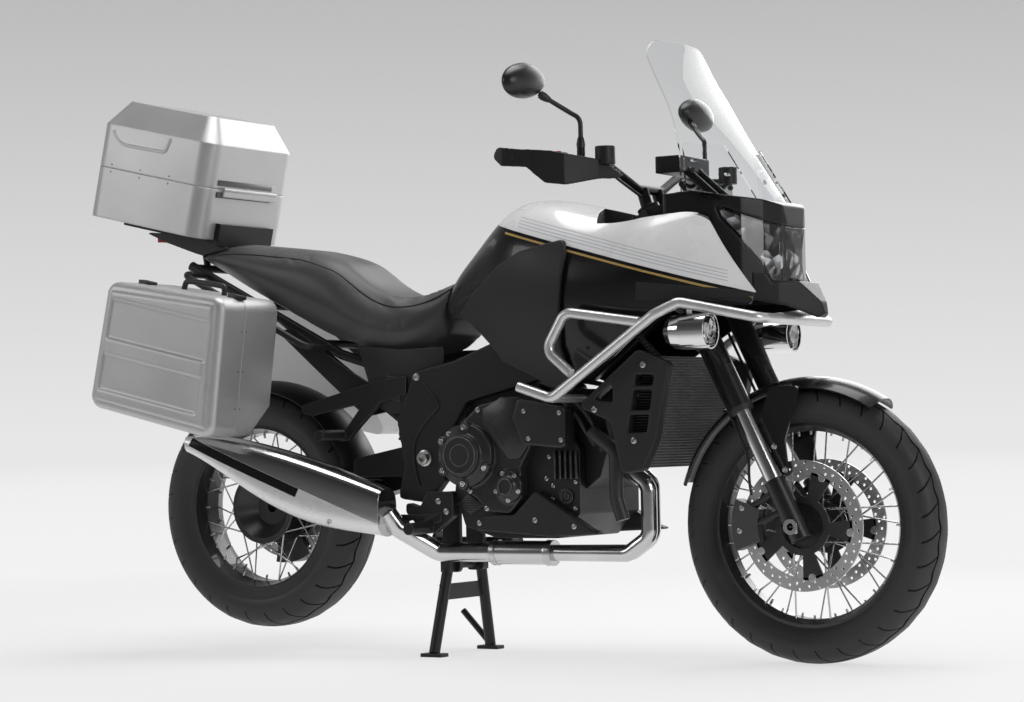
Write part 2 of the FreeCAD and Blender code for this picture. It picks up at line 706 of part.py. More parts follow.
def steered(shape):
    """Moves a shape from the fork's own frame, with the legs along Z, to its raked place."""
    shape.Placement = FreeCAD.Placement(vec(FRONT_AXLE_X, 0, FRONT_AXLE_Z), FreeCAD.Rotation(ACROSS, -RAKE_DEG))
    return shape.copy()


def half_section(x, half_w, low, middle, top, share):
    """The right half of a rounded section across the motorcycle, closed along the middle."""
    side = half_w * share
    upper = middle + (top - middle) * share
    lower = middle - (middle - low) * share
    points = [vec(x, 0, top), vec(x, -side, upper), vec(x, -half_w, middle), vec(x, -side, lower), vec(x, 0, low)]
    curve = Part.BSplineCurve()
    curve.interpolate(Points=points, InitialTangent=-ACROSS, FinalTangent=ACROSS)
    return Part.Wire([curve.toShape(), Part.makeLine(points[-1], points[0])])


def symmetric_loft(half_rings):
    """A smooth form lofted on the right side and mirrored to the left."""
    right = Part.makeLoft(half_rings, True, False)
    return single_solid(right.fuse(mirrored(right)))


def single_solid(shape):
    """The largest solid of a cut, without slivers."""
    return max(shape.Solids, key=lambda solid: solid.Volume)


def both_sides_fitted(right, *neighbours):
    """A right piece and its mirror image, each cut back from its neighbours."""
    halves = []
    for half in (right, mirrored(right)):
        for neighbour in neighbours:
            half = half.cut(neighbour)
        halves.append(single_solid(half))
    return Part.makeCompound(halves)


# Wheels

def tyre(axle_x, axle_z, radius, half_w, bead_r, rim_half_w, depth):
    """A hollow tyre from bead to bead."""
    seat_y = rim_half_w - RIM_FLANGE_T - SEAT_GAP
    toe_y = seat_y - depth
    lip_r = bead_r + RIM_FLANGE_H + SEAT_GAP
    base_r = bead_r + SEAT_GAP
    inner_r = lip_r + TYRE_BEAD_RISE
    shoulder_r = radius - half_w * 0.36
    shoulder_y = half_w * 0.92
    middle_r = lip_r + (radius - lip_r) * 0.45
    edges = [
        Part.makeLine(vec(base_r, toe_y, 0), vec(base_r, seat_y, 0)),
        Part.makeLine(vec(base_r, seat_y, 0), vec(lip_r, seat_y, 0)),
        Part.Arc(vec(lip_r, seat_y, 0), vec(middle_r, half_w, 0), vec(shoulder_r, shoulder_y, 0)).toShape(),
        Part.Arc(vec(shoulder_r, shoulder_y, 0), vec(radius, 0, 0), vec(shoulder_r, -shoulder_y, 0)).toShape(),
        Part.Arc(vec(shoulder_r, -shoulder_y, 0), vec(middle_r, -half_w, 0), vec(lip_r, -seat_y, 0)).toShape(),
        Part.makeLine(vec(lip_r, -seat_y, 0), vec(base_r, -seat_y, 0)),
        Part.makeLine(vec(base_r, -seat_y, 0), vec(base_r, -toe_y, 0)),
        Part.makeLine(vec(base_r, -toe_y, 0), vec(inner_r, -toe_y, 0)),
        Part.Arc(vec(inner_r, -toe_y, 0), vec(radius - depth, 0, 0), vec(inner_r, toe_y, 0)).toShape(),
        Part.makeLine(vec(inner_r, toe_y, 0), vec(base_r, toe_y, 0)),
    ]
    return turned(axle_x, axle_z, Part.Wire(edges))


def rim(axle_x, axle_z, bead_r, half_w):
    """A spoked wheel's rim with its bead seats, flanges and drop centre."""
    inside_y = half_w - RIM_FLANGE_T
    flange_r = bead_r + RIM_FLANGE_H
    edge_r = bead_r - RIM_DEPTH / 2
    well_r = bead_r - RIM_DEPTH - RIM_FLANGE_T
    half = [(bead_r, inside_y), (flange_r, inside_y), (flange_r, half_w), (edge_r, half_w), (well_r, half_w * RIM_WELL_SHARE)]
    return lathe(axle_x, axle_z, half + [(r, -y) for r, y in reversed(half)])


def spokes(axle_x, axle_z, flange_r, flange_ys, rim_r, rim_y):
    """Crossed spokes from both hub flanges to the rim."""
    bars = []
    for index in range(SPOKE_COUNT):
        side = index % 2
        lean = 1 if index % 4 < 2 else -1
        rim_angle = 2 * math.pi * index / SPOKE_COUNT
        hub_angle = rim_angle + lean * math.radians(38)
        hub_y = flange_ys[side]
        out_y = math.copysign(rim_y, hub_y)
        start = vec(flange_r * math.cos(hub_angle), hub_y, flange_r * math.sin(hub_angle))
        end = vec(rim_r * math.cos(rim_angle), out_y, rim_r * math.sin(rim_angle))
        along = end - start
        six = Part.makePolygon([vec(SPOKE_R * math.cos(a * math.pi / 3), SPOKE_R * math.sin(a * math.pi / 3), 0)
                                for a in range(7)])
        bar = Part.Face(six).extrude(vec(0, 0, along.Length))
        bar.Placement = FreeCAD.Placement(start, FreeCAD.Rotation(UP, along))
        bar.translate(vec(axle_x, 0, axle_z))
        bars.append(bar.copy())
    return bars


def front_tyre():
    return tyre(FRONT_AXLE_X, FRONT_AXLE_Z, FRONT_TYRE_R, FRONT_TYRE_HALF_W, FRONT_BEAD_R, FRONT_RIM_HALF_W,
                FRONT_TREAD_DEPTH)


def front_rim():
    return rim(FRONT_AXLE_X, FRONT_AXLE_Z, FRONT_BEAD_R, FRONT_RIM_HALF_W)


def front_hub():
    """The hub shell with its two spoke flanges and disc seats, and the spokes."""
    bore = FRONT_AXLE_R + RUNNING_GAP
    half = [(bore, FRONT_HUB_HALF_W), (FRONT_FLANGE_R, FRONT_HUB_HALF_W), (FRONT_FLANGE_R, FRONT_FLANGE_Y - FLANGE_T),
            (FRONT_HUB_R, FRONT_FLANGE_Y - FLANGE_T * 2)]
    pairs = half + [(r, -y) for r, y in reversed(half)]
    shell = lathe(FRONT_AXLE_X, FRONT_AXLE_Z, pairs)
    reach = FRONT_BEAD_R - RIM_DEPTH
    bars = spokes(FRONT_AXLE_X, FRONT_AXLE_Z, FRONT_FLANGE_R - FLANGE_T, [FRONT_FLANGE_Y, -FRONT_FLANGE_Y], reach,
                  FRONT_RIM_HALF_W * 0.5)
    return shell.multiFuse(bars)


def brake_disc(axle_x, axle_z, disc_y, outer_r, ring_r, seat_r, arm_count):
    """A brake ring on a carrier whose arms run out from the hub's seat."""
    far_y = disc_y + DISC_T
    ring = lathe(axle_x, axle_z, [(ring_r, disc_y), (outer_r, disc_y), (outer_r, far_y), (ring_r, far_y)])
    collar_r = seat_r + FLANGE_T
    collar = lathe(axle_x, axle_z, [(seat_r - FLANGE_T * 2, disc_y), (collar_r, disc_y), (collar_r, far_y),
                                    (seat_r - FLANGE_T * 2, far_y)])
    arms = []
    for index in range(arm_count):
        arm = block(seat_r, disc_y, -FLANGE_T, ring_r + FLANGE_T / 2, far_y, FLANGE_T)
        arm.rotate(vec(0, 0, 0), ACROSS, 360 * index / arm_count)
        arm.translate(vec(axle_x, 0, axle_z))
        arms.append(arm)
    return ring.multiFuse([collar] + arms)


def front_brake_discs():
    disc = brake_disc(FRONT_AXLE_X, FRONT_AXLE_Z, FRONT_DISC_Y, FRONT_DISC_R, FRONT_DISC_INNER_R, FRONT_FLANGE_R,
                      CARRIER_ARM_COUNT)
    boss = lathe(FRONT_AXLE_X, FRONT_AXLE_Z, [(FRONT_FLANGE_R - FLANGE_T * 2, FRONT_HUB_HALF_W),
                                              (FRONT_FLANGE_R, FRONT_HUB_HALF_W), (FRONT_FLANGE_R, FRONT_DISC_Y),
                                              (FRONT_FLANGE_R - FLANGE_T * 2, FRONT_DISC_Y)])
    return both_sides(disc.fuse(boss))


def rear_tyre():
    return tyre(REAR_AXLE_X, REAR_AXLE_Z, REAR_TYRE_R, REAR_TYRE_HALF_W, REAR_BEAD_R, REAR_RIM_HALF_W, REAR_TREAD_DEPTH)


def rear_rim():
    return rim(REAR_AXLE_X, REAR_AXLE_Z, REAR_BEAD_R, REAR_RIM_HALF_W)


def rear_hub():
    """The dished hub of a wheel carried from its left side, and its spokes."""
    right = REAR_FLANGE_RIGHT_Y
    left = REAR_FLANGE_LEFT_Y
    dish_y = right + REAR_DISH_DEPTH
    pairs = [(REAR_HUB_BORE_R, dish_y), (REAR_HUB_R * 0.75, dish_y), (REAR_DISH_R, right), (REAR_FLANGE_R, right),
             (REAR_FLANGE_R, right + FLANGE_T), (REAR_DISH_R + FLANGE_T, right + FLANGE_T * 2), (REAR_HUB_R, 0),
             (REAR_HUB_R, left - FLANGE_T), (REAR_FLANGE_R, left - FLANGE_T), (REAR_FLANGE_R, left),
             (REAR_HUB_R, left), (REAR_HUB_R, REAR_DISC_Y), (REAR_STUB_R, REAR_DISC_Y),
             (REAR_STUB_R, REAR_STUB_END_Y), (REAR_HUB_BORE_R, REAR_STUB_END_Y)]
    shell = lathe(REAR_AXLE_X, REAR_AXLE_Z, pairs)
    reach = REAR_BEAD_R - RIM_DEPTH
    bars = spokes(REAR_AXLE_X, REAR_AXLE_Z, REAR_FLANGE_R - FLANGE_T, [left - FLANGE_T / 2, right + FLANGE_T / 2],
                  reach, REAR_RIM_HALF_W * 0.45)
    return shell.multiFuse(bars)


def rear_brake_disc():
    return brake_disc(REAR_AXLE_X, REAR_AXLE_Z, REAR_DISC_Y, REAR_DISC_R, REAR_DISC_INNER_R,
                      REAR_HUB_R - FLANGE_T, CARRIER_ARM_COUNT)


# Steering

def fork_outer_tubes():
    tube = Part.makeCylinder(FORK_OUTER_R, FORK_TOP - FORK_OUTER_LOW, vec(0, -FORK_HALF_TRACK, FORK_OUTER_LOW))
    return both_sides(steered(tube))


def fork_legs():
    """The sliding tubes with their cast feet, bored for the axle."""
    tube = Part.makeCylinder(FORK_INNER_R, FORK_OUTER_LOW, vec(0, -FORK_HALF_TRACK, 0))
    foot = Part.makeCylinder(FORK_FOOT_R, FORK_FOOT_TOP - FORK_FOOT_LOW, vec(0, -FORK_HALF_TRACK, FORK_FOOT_LOW))
    bore = round_bar(vec(0, -FORK_HALF_TRACK - OVERRUN, 0), vec(0, -FORK_HALF_TRACK + OVERRUN, 0), FRONT_AXLE_R)
    leg = steered(tube.fuse(foot).cut(bore))
    lugs = []
    for share in CALIPER_LUG_SHARES:
        angle = math.radians(CALIPER_START_DEG + CALIPER_SWEEP_DEG * share)
        radius = (CALIPER_R + CALIPER_INNER_R) / 2
        end = vec(FRONT_AXLE_X + radius * math.cos(angle), -CALIPER_LUG_Y, FRONT_AXLE_Z + radius * math.sin(angle))
        start = steered(Part.Vertex(vec(0, -CALIPER_LUG_Y, FORK_FOOT_TOP * (1 - share)))).Point
        lugs.append(round_bar(start, end, CALIPER_LUG_R))
    return both_sides(single_solid(leg.multiFuse(lugs).cut(mirrored(front_caliper_body()))))


def front_axle():
    """A hollow axle with a flanged nut at each end."""
    end = FORK_HALF_TRACK + FORK_FOOT_R
    nut = FRONT_AXLE_R + FLANGE_T
    pairs = [(FRONT_AXLE_BORE_R, -end - FLANGE_T), (nut, -end - FLANGE_T), (nut, -end), (FRONT_AXLE_R, -end),
             (FRONT_AXLE_R, end), (nut, end), (nut, end + FLANGE_T), (FRONT_AXLE_BORE_R, end + FLANGE_T)]
    return lathe(FRONT_AXLE_X, FRONT_AXLE_Z, pairs)


def clamp_plate(low, height):
    """A fork bridge that grips both outer tubes, in the fork's own frame."""
    reach = FORK_HALF_TRACK + FORK_OUTER_R
    half = FORK_OUTER_R + CLAMP_WALL
    front = FORK_OUTER_R * 0.5
    corners = [vec(-half, -reach, 0), vec(front, -reach - CLAMP_WALL, 0), vec(half, -FORK_HALF_TRACK, 0),
               vec(front, 0, 0), vec(half, FORK_HALF_TRACK, 0), vec(front, reach + CLAMP_WALL, 0),
               vec(-half, reach, 0), vec(-FORK_OFFSET - half, 0, 0)]
    plate = plan_prism(corners, CORNER_ROUND, low, low + height)
    for side in (-1, 1):
        place = vec(0, side * FORK_HALF_TRACK, low - OVERRUN)
        plate = plate.cut(Part.makeCylinder(FORK_OUTER_R, height + OVERRUN * 2, place))
    return plate


@functools.lru_cache(maxsize=None)
def triple_clamps():
    """Both bridges and the stem that turns in the head tube."""
    stem_low = LOWER_CLAMP_Z + LOWER_CLAMP_H
    stem = Part.makeCylinder(STEM_R, UPPER_CLAMP_Z - stem_low, vec(-FORK_OFFSET, 0, stem_low))
    bridges = [clamp_plate(UPPER_CLAMP_Z, UPPER_CLAMP_H), stem]
    return steered(clamp_plate(LOWER_CLAMP_Z, LOWER_CLAMP_H).multiFuse(bridges))


@functools.lru_cache(maxsize=None)
def steering_room():
    """The space round the steering axis that the fork sweeps from lock to lock."""
    reach = math.hypot(FORK_OFFSET, FORK_HALF_TRACK) + FORK_OUTER_R + CLAMP_WALL + STEERING_GAP
    height = UPPER_CLAMP_Z + UPPER_CLAMP_H + OVERRUN * 2 - LOWER_CLAMP_Z
    return steered(Part.makeCylinder(reach, height, vec(-FORK_OFFSET, 0, LOWER_CLAMP_Z - OVERRUN)))


def bar_route():
    """Half of the handlebar's centre line, from the middle to the right end."""
    grip_x = BAR_X - BAR_SWEEP * 0.35
    return [vec(BAR_X, 0, BAR_Z), vec(BAR_X, -BAR_CLAMP_HALF_W, BAR_Z),
            vec(BAR_X - BAR_SWEEP * 0.12, -BAR_SHOULDER_Y, BAR_Z + BAR_RISE),
            vec(grip_x, -BAR_KINK_Y, BAR_Z + BAR_RISE), vec(BAR_X - BAR_SWEEP, -BAR_HALF_W, BAR_Z + BAR_RISE)]


@functools.lru_cache(maxsize=None)
def handlebar():
    """The bent bar on its two risers, with the grips."""
    route = bar_route()
    half = bent_tube(route, BAR_BEND, BAR_R)
    grip_way = (route[-2] - route[-1]).normalize()
    grip = round_bar(route[-1], route[-1] + grip_way * GRIP_LENGTH, GRIP_R)
    half = half.fuse(grip)
    bar = half.fuse(mirrored(half))
    riser_low = vec(-FORK_OFFSET, RISER_Y, UPPER_CLAMP_Z + UPPER_CLAMP_H)
    foot = steered(Part.Vertex(riser_low)).Point
    top = vec(BAR_X, RISER_Y, BAR_Z)
    riser = round_bar(foot, top, RISER_R)
    return bar.multiFuse([riser, mirrored(riser)]).cut(triple_clamps())


@functools.lru_cache(maxsize=None)
def handlebar_controls():
    """Switch housings, levers and the brake fluid cup at each grip."""
    route = bar_route()
    way = (route[-2] - route[-1]).normalize()
    inner = route[-1] + way * (GRIP_LENGTH + SEAT_GAP)
    housing = round_bar(inner, inner + way * CONTROL_HALF_W, GRIP_R * 1.2)
    housing = housing.cut(bent_tube(route, BAR_BEND, BAR_R + SEAT_GAP))
    middle = inner + way * (CONTROL_HALF_W / 2)
    bracket_end = vec(LEVER_X, -CONTROL_Y, LEVER_Z)
    bracket = round_bar(middle + ALONG * BAR_R * 1.3, bracket_end, LEVER_R)
    lever = bent_tube([bracket_end, vec(LEVER_X, -CONTROL_Y - RESERVOIR_R, LEVER_Z),
                       vec(LEVER_END_X, -LEVER_END_Y, LEVER_Z)], BAR_BEND, LEVER_R)
    cup = Part.makeCylinder(RESERVOIR_R, RESERVOIR_TOP_Z - RESERVOIR_LOW_Z, vec(RESERVOIR_X, -CONTROL_Y, RESERVOIR_LOW_Z))
    cup_arm = round_bar(bracket_end, vec(RESERVOIR_X, -CONTROL_Y, LEVER_Z), LEVER_R)
    boss = Part.makeCylinder(MIRROR_BOSS_R, MIRROR_BOSS_TOP_Z - LEVER_Z, vec(MIRROR_STEM_X, -CONTROL_Y, LEVER_Z))
    control = housing.multiFuse([bracket, lever, cup, cup_arm, boss])
    return both_sides(single_solid(control.cut(handlebar())))


def handguards():
    """Wrap-round blades that run from the bar ends to the front of the levers."""
    outer = [vec(GUARD_REAR_X + GUARD_LENGTH * x, -GUARD_OUTER_Y + GUARD_REACH_Y * y, 0) for x, y in GUARD_PLAN_SHARES]
    inner = [vec(p.x - GUARD_WALL * 0.6, p.y + GUARD_WALL, 0) for p in reversed(outer)]
    wall = plan_prism(outer + inner, 0, GUARD_LOW_Z, GUARD_LOW_Z + GUARD_HEIGHT)
    outline = side_outline(GUARD_REAR_X, GUARD_LOW_Z, GUARD_LENGTH, GUARD_HEIGHT, GUARD_SIDE_SHARES)
    blade = wall.common(side_plate(outline, CORNER_ROUND, -GUARD_OUTER_Y - OVERRUN, 0))
    route = bar_route()
    way = (route[-1] - route[-2]).normalize()
    weight = round_bar(route[-1], route[-1] + way * GUARD_WALL * 3, END_WEIGHT_R)
    stay_end = vec(route[-2].x, -GUARD_OUTER_Y + GUARD_REACH_Y, route[-2].z)
    stay = round_bar(vec(outer[-1].x - GUARD_WALL, stay_end.y - GUARD_WALL, GUARD_LOW_Z + GUARD_HEIGHT * 0.4), stay_end,
                     GUARD_STAY_R)
    guard = blade.multiFuse([weight, stay]).cut(handlebar()).cut(handlebar_controls())
    return both_sides(single_solid(guard))


def mirrors():
    """Rear-view mirrors on bent stems, each with a flat glass face to the rear."""
    foot_z = MIRROR_BOSS_TOP_Z + SEAT_GAP
    forward, inward, down = MIRROR_FOOT_SHARES
    head = vec(MIRROR_X + MIRROR_HALF_D * forward, -MIRROR_Y + MIRROR_HALF_W * inward, MIRROR_Z - MIRROR_HALF_H * down)
    stem = bent_tube([vec(MIRROR_STEM_X, -CONTROL_Y, foot_z), vec(MIRROR_STEM_X, -CONTROL_Y, MIRROR_STEM_TOP_Z), head],
                     MIRROR_STEM_BEND, MIRROR_STEM_R)
    rings = []
    for forward, size in MIRROR_SHARES:
        x = MIRROR_X + MIRROR_HALF_D * forward
        rings.append(oval_ring(x, -MIRROR_Y, MIRROR_Z, MIRROR_HALF_H * size, MIRROR_HALF_W * size, MIRROR_CORNER_SHARE))
    back = Part.makeLoft(rings, True, False)
    return both_sides(single_solid(back.fuse(stem)))


def arc_slab(axle_x, axle_z, inner_r, outer_r, start_deg, sweep_deg, inner_y, outer_y):
    """Part of a thick ring about an axle, between two angles seen from the right side."""
    face = Part.Face(Part.makePolygon([vec(inner_r, inner_y, 0), vec(outer_r, inner_y, 0), vec(outer_r, outer_y, 0),
                                       vec(inner_r, outer_y, 0), vec(inner_r, inner_y, 0)]))
    ring = face.revolve(vec(0, 0, 0), ACROSS, sweep_deg)
    ring.rotate(vec(0, 0, 0), ACROSS, -start_deg - sweep_deg)
    ring.translate(vec(axle_x, 0, axle_z))
    return ring


def arched_guard(axle_x, axle_z, radius, wall, half_w, drop, start_deg, sweep_deg):
    """A crowned mudguard about an axle, between two angles seen from the right side."""
    edge_r = radius - drop
    outer = Part.Arc(vec(edge_r, -half_w, 0), vec(radius, 0, 0), vec(edge_r, half_w, 0)).toShape()
    inner = Part.Arc(vec(edge_r - wall, half_w - wall, 0), vec(radius - wall, 0, 0),
                     vec(edge_r - wall, wall - half_w, 0)).toShape()
    sides = [Part.makeLine(vec(edge_r, half_w, 0), vec(edge_r - wall, half_w - wall, 0)),
             Part.makeLine(vec(edge_r - wall, wall - half_w, 0), vec(edge_r, -half_w, 0))]
    face = Part.Face(Part.Wire([outer, sides[0], inner, sides[1]]))
    guard = face.revolve(vec(0, 0, 0), ACROSS, sweep_deg)
    guard.rotate(vec(0, 0, 0), ACROSS, -start_deg - sweep_deg)
    guard.translate(vec(axle_x, 0, axle_z))
    return guard


def front_mudguard():
    """A crowned blade over the tyre, with a stay to each fork leg."""
    blade = arched_guard(FRONT_AXLE_X, FRONT_AXLE_Z, MUDGUARD_R, MUDGUARD_WALL, MUDGUARD_HALF_W, MUDGUARD_DROP,
                         MUDGUARD_START_DEG, MUDGUARD_END_DEG - MUDGUARD_START_DEG)
    outline = side_outline(MUDGUARD_STAY_REAR_X, MUDGUARD_STAY_LOW_Z, MUDGUARD_STAY_LENGTH, MUDGUARD_STAY_HEIGHT,
                           MUDGUARD_STAY_SHARES)
    stay_in = MUDGUARD_HALF_W - MUDGUARD_WALL
    stay_out = FORK_HALF_TRACK - FORK_INNER_R - SEAT_GAP
    stay = side_plate(outline, CORNER_ROUND, -stay_out, -stay_in)
    tyre_room = FRONT_TYRE_HALF_W + OVERRUN / 2
    drum = Part.makeCylinder(MUDGUARD_R - MUDGUARD_DROP, tyre_room * 2, vec(FRONT_AXLE_X, -tyre_room, FRONT_AXLE_Z), ACROSS)
    stay = stay.cut(drum)
    return blade.multiFuse([single_solid(stay), mirrored(single_solid(stay))])


def caliper(axle_x, axle_z, disc_y, disc_r, inner_r, outer_r, start_deg, sweep_deg, inner_y, outer_y):
    """A brake caliper that straddles the disc with a pad's clearance."""
    body = arc_slab(axle_x, axle_z, inner_r, outer_r, start_deg, sweep_deg, inner_y, outer_y)
    slot = Part.makeCylinder(disc_r + DISC_GAP * 2, DISC_T + DISC_GAP * 2,
                             vec(axle_x, disc_y - DISC_GAP, axle_z), ACROSS)
    return body.cut(slot)


@functools.lru_cache(maxsize=None)
def front_caliper_body():
    body = caliper(FRONT_AXLE_X, FRONT_AXLE_Z, FRONT_DISC_Y, FRONT_DISC_R, CALIPER_INNER_R, CALIPER_R,
                   CALIPER_START_DEG, CALIPER_SWEEP_DEG, CALIPER_INNER_Y, CALIPER_OUTER_Y)
    leg = steered(Part.makeCylinder(FORK_FOOT_R + SEAT_GAP, FORK_FOOT_TOP + OVERRUN, vec(0, FORK_HALF_TRACK, 0)))
    return single_solid(body.cut(leg))


def front_calipers():
    return both_sides(front_caliper_body())


# Frame and engine

@functools.lru_cache(maxsize=None)
def main_frame():
    """Head tube, gusset, twin spars and pivot plates."""
    tube_low = LOWER_CLAMP_Z + LOWER_CLAMP_H + SEAM_GAP
    tube_high = UPPER_CLAMP_Z - SEAM_GAP
    tube = Part.makeCylinder(HEAD_TUBE_R, tube_high - tube_low, vec(-FORK_OFFSET, 0, tube_low))
    corners = [vec(-GUSSET_FRONT, -GUSSET_FRONT_HALF_W, 0), vec(-GUSSET_NECK, -GUSSET_NECK_HALF_W, 0),
               vec(-GUSSET_NECK, -SPAR_OUTER_Y, 0), vec(-GUSSET_REAR, -SPAR_OUTER_Y, 0),
               vec(-GUSSET_REAR, SPAR_OUTER_Y, 0), vec(-GUSSET_NECK, SPAR_OUTER_Y, 0),
               vec(-GUSSET_NECK, GUSSET_NECK_HALF_W, 0), vec(-GUSSET_FRONT, GUSSET_FRONT_HALF_W, 0)]
    gusset = plan_prism(corners, 0, GUSSET_LOW, GUSSET_LOW + GUSSET_HEIGHT)
    bore = Part.makeCylinder(STEM_R + RUNNING_GAP, tube_high - tube_low + OVERRUN * 2,
                             vec(-FORK_OFFSET, 0, tube_low - OVERRUN))
    head = steered(tube.fuse(gusset).cut(bore))
    spar = side_plate(side_outline(SPAR_REAR_X, SPAR_LOW_Z, SPAR_LENGTH, SPAR_HEIGHT, SPAR_SHARES), CORNER_ROUND,
                      -SPAR_OUTER_Y, -SPAR_INNER_Y)
    beam = round_bar(vec(PIVOT_X, -SPAR_INNER_Y, SPAR_LOW_Z + PIVOT_R), vec(PIVOT_X, SPAR_INNER_Y, SPAR_LOW_Z + PIVOT_R),
                     PIVOT_R)
    boss = round_bar(vec(ENGINE_BOSS_X, -SPAR_OUTER_Y, ENGINE_BOSS_Z), vec(ENGINE_BOSS_X, -SPAR_INNER_Y, ENGINE_BOSS_Z),
                     ENGINE_BOSS_R)
    boss = boss.cut(engine_block())
    return head.multiFuse([spar, mirrored(spar), beam, boss, mirrored(boss)])


def cowl_stay():
    """The bracket on the head tube's front that carries the lamp, cowl and screen."""
    start = HEAD_TUBE_R * 0.5 - FORK_OFFSET
    bar = block(start, -COWL_STAY_HALF_W, COWL_STAY_LOW, start + COWL_STAY_REACH * 2, COWL_STAY_HALF_W,
                COWL_STAY_LOW + COWL_STAY_HEIGHT)
    return single_solid(steered(bar).cut(main_frame()).cut(headlamp()).cut(front_cowl()))


def centre_stand_ears():
    """Ears under the pivot plates that hold the centre stand's pin."""
    top = SPAR_LOW_Z
    ear = side_plate([vec(STAND_PIVOT_X - STAND_EAR_HALF_L, 0, STAND_PIVOT_Z - STAND_PIN_R * 2),
                      vec(STAND_PIVOT_X + STAND_EAR_HALF_L, 0, STAND_PIVOT_Z - STAND_PIN_R * 2),
                      vec(STAND_PIVOT_X + STAND_EAR_HALF_L, 0, top), vec(STAND_PIVOT_X - STAND_EAR_HALF_L, 0, top)],
                     CORNER_ROUND, -STAND_EAR_OUTER_Y, -STAND_EAR_INNER_Y)
    hole = round_bar(vec(STAND_PIVOT_X, -STAND_EAR_OUTER_Y - OVERRUN, STAND_PIVOT_Z),
                     vec(STAND_PIVOT_X, OVERRUN, STAND_PIVOT_Z), STAND_PIN_R + RUNNING_GAP)
    ear = ear.cut(hole)
    deck = block(STAND_PIVOT_X - STAND_EAR_HALF_L, -STAND_EAR_OUTER_Y, top - FLANGE_T * 2,
                 STAND_PIVOT_X + STAND_EAR_HALF_L, STAND_EAR_OUTER_Y, top)
    return ear.multiFuse([mirrored(ear), deck])


def crankcase_outline():
    return side_outline(CRANKCASE_REAR_X, CRANKCASE_LOW_Z, CRANKCASE_LENGTH, CRANKCASE_HEIGHT, CRANKCASE_SHARES)


@functools.lru_cache(maxsize=None)
def engine_block():
    """The crankcase of a vee four, as one plain heavy casting."""
    return side_plate(crankcase_outline(), CORNER_ROUND, -CRANKCASE_HALF_W, CRANKCASE_HALF_W)


@functools.lru_cache(maxsize=None)
def cylinder_heads():
    """The front bank leans forward of the crankcase and the rear bank stands on it."""
    case = engine_block()
    front_x = CRANKCASE_REAR_X + CRANKCASE_LENGTH * 0.80
    front = side_plate(side_outline(front_x, FRONT_HEAD_LOW_Z, FRONT_HEAD_LENGTH, FRONT_HEAD_HEIGHT, FRONT_HEAD_SHARES),
                       CORNER_ROUND, -HEAD_HALF_W, HEAD_HALF_W)
    rear_low = CRANKCASE_LOW_Z + CRANKCASE_HEIGHT * 0.90
    rear = side_plate(side_outline(REAR_HEAD_REAR_X, rear_low, REAR_HEAD_LENGTH, REAR_HEAD_HEIGHT, REAR_HEAD_SHARES),
                      CORNER_ROUND, -HEAD_HALF_W, HEAD_HALF_W)
    return Part.makeCompound([single_solid(front.cut(case)), single_solid(rear.cut(case).cut(front))])


def domed_cover(x, y, z, radius, face_r, depth):
    """A round engine cover that steps in to a raised face, standing out from the right side."""
    step = depth * 0.7
    profile = [vec(0, 0, 0), vec(radius, 0, 0), vec(radius, 0, step * 0.6), vec(face_r + EDGE_ROUND, 0, step),
               vec(face_r, 0, depth), vec(0, 0, depth)]
    face = Part.Face(Part.makePolygon(profile + profile[:1]))
    cover = face.revolve(vec(0, 0, 0), UP, 360)
    cover.rotate(vec(0, 0, 0), ALONG, 90)
    cover.translate(vec(x, y, z))
    return cover


def engine_right_covers():
    """The side cover with its clutch dome, water pump and clutch actuator box."""
    side = -CRANKCASE_HALF_W
    base = side_plate(side_outline(COVER_REAR_X, COVER_LOW_Z, COVER_LENGTH, COVER_HEIGHT, COVER_SHARES), CORNER_ROUND,
                      side - COVER_BASE_T, side)
    clutch = domed_cover(CLUTCH_X, side - COVER_BASE_T, CLUTCH_Z, CLUTCH_R, CLUTCH_FACE_R, CLUTCH_DEPTH)
    pump = domed_cover(PUMP_X, side - COVER_BASE_T, PUMP_Z, PUMP_R, PUMP_R * 0.6, PUMP_DEPTH)
    unit = side_plate(side_outline(GEARBOX_UNIT_REAR_X, GEARBOX_UNIT_LOW_Z, GEARBOX_UNIT_LENGTH, GEARBOX_UNIT_HEIGHT,
                                   GEARBOX_UNIT_SHARES), CORNER_ROUND, side - GEARBOX_UNIT_DEPTH, side)
    return base.multiFuse([clutch, pump, unit])


def engine_covers():
    """The covers of both sides of the engine."""
    cover = domed_cover(ALTERNATOR_X, -CRANKCASE_HALF_W, ALTERNATOR_Z, ALTERNATOR_R, ALTERNATOR_R * 0.65, ALTERNATOR_DEPTH)
    return Part.makeCompound([engine_right_covers(), mirrored(cover)])


# Exhaust and cooling

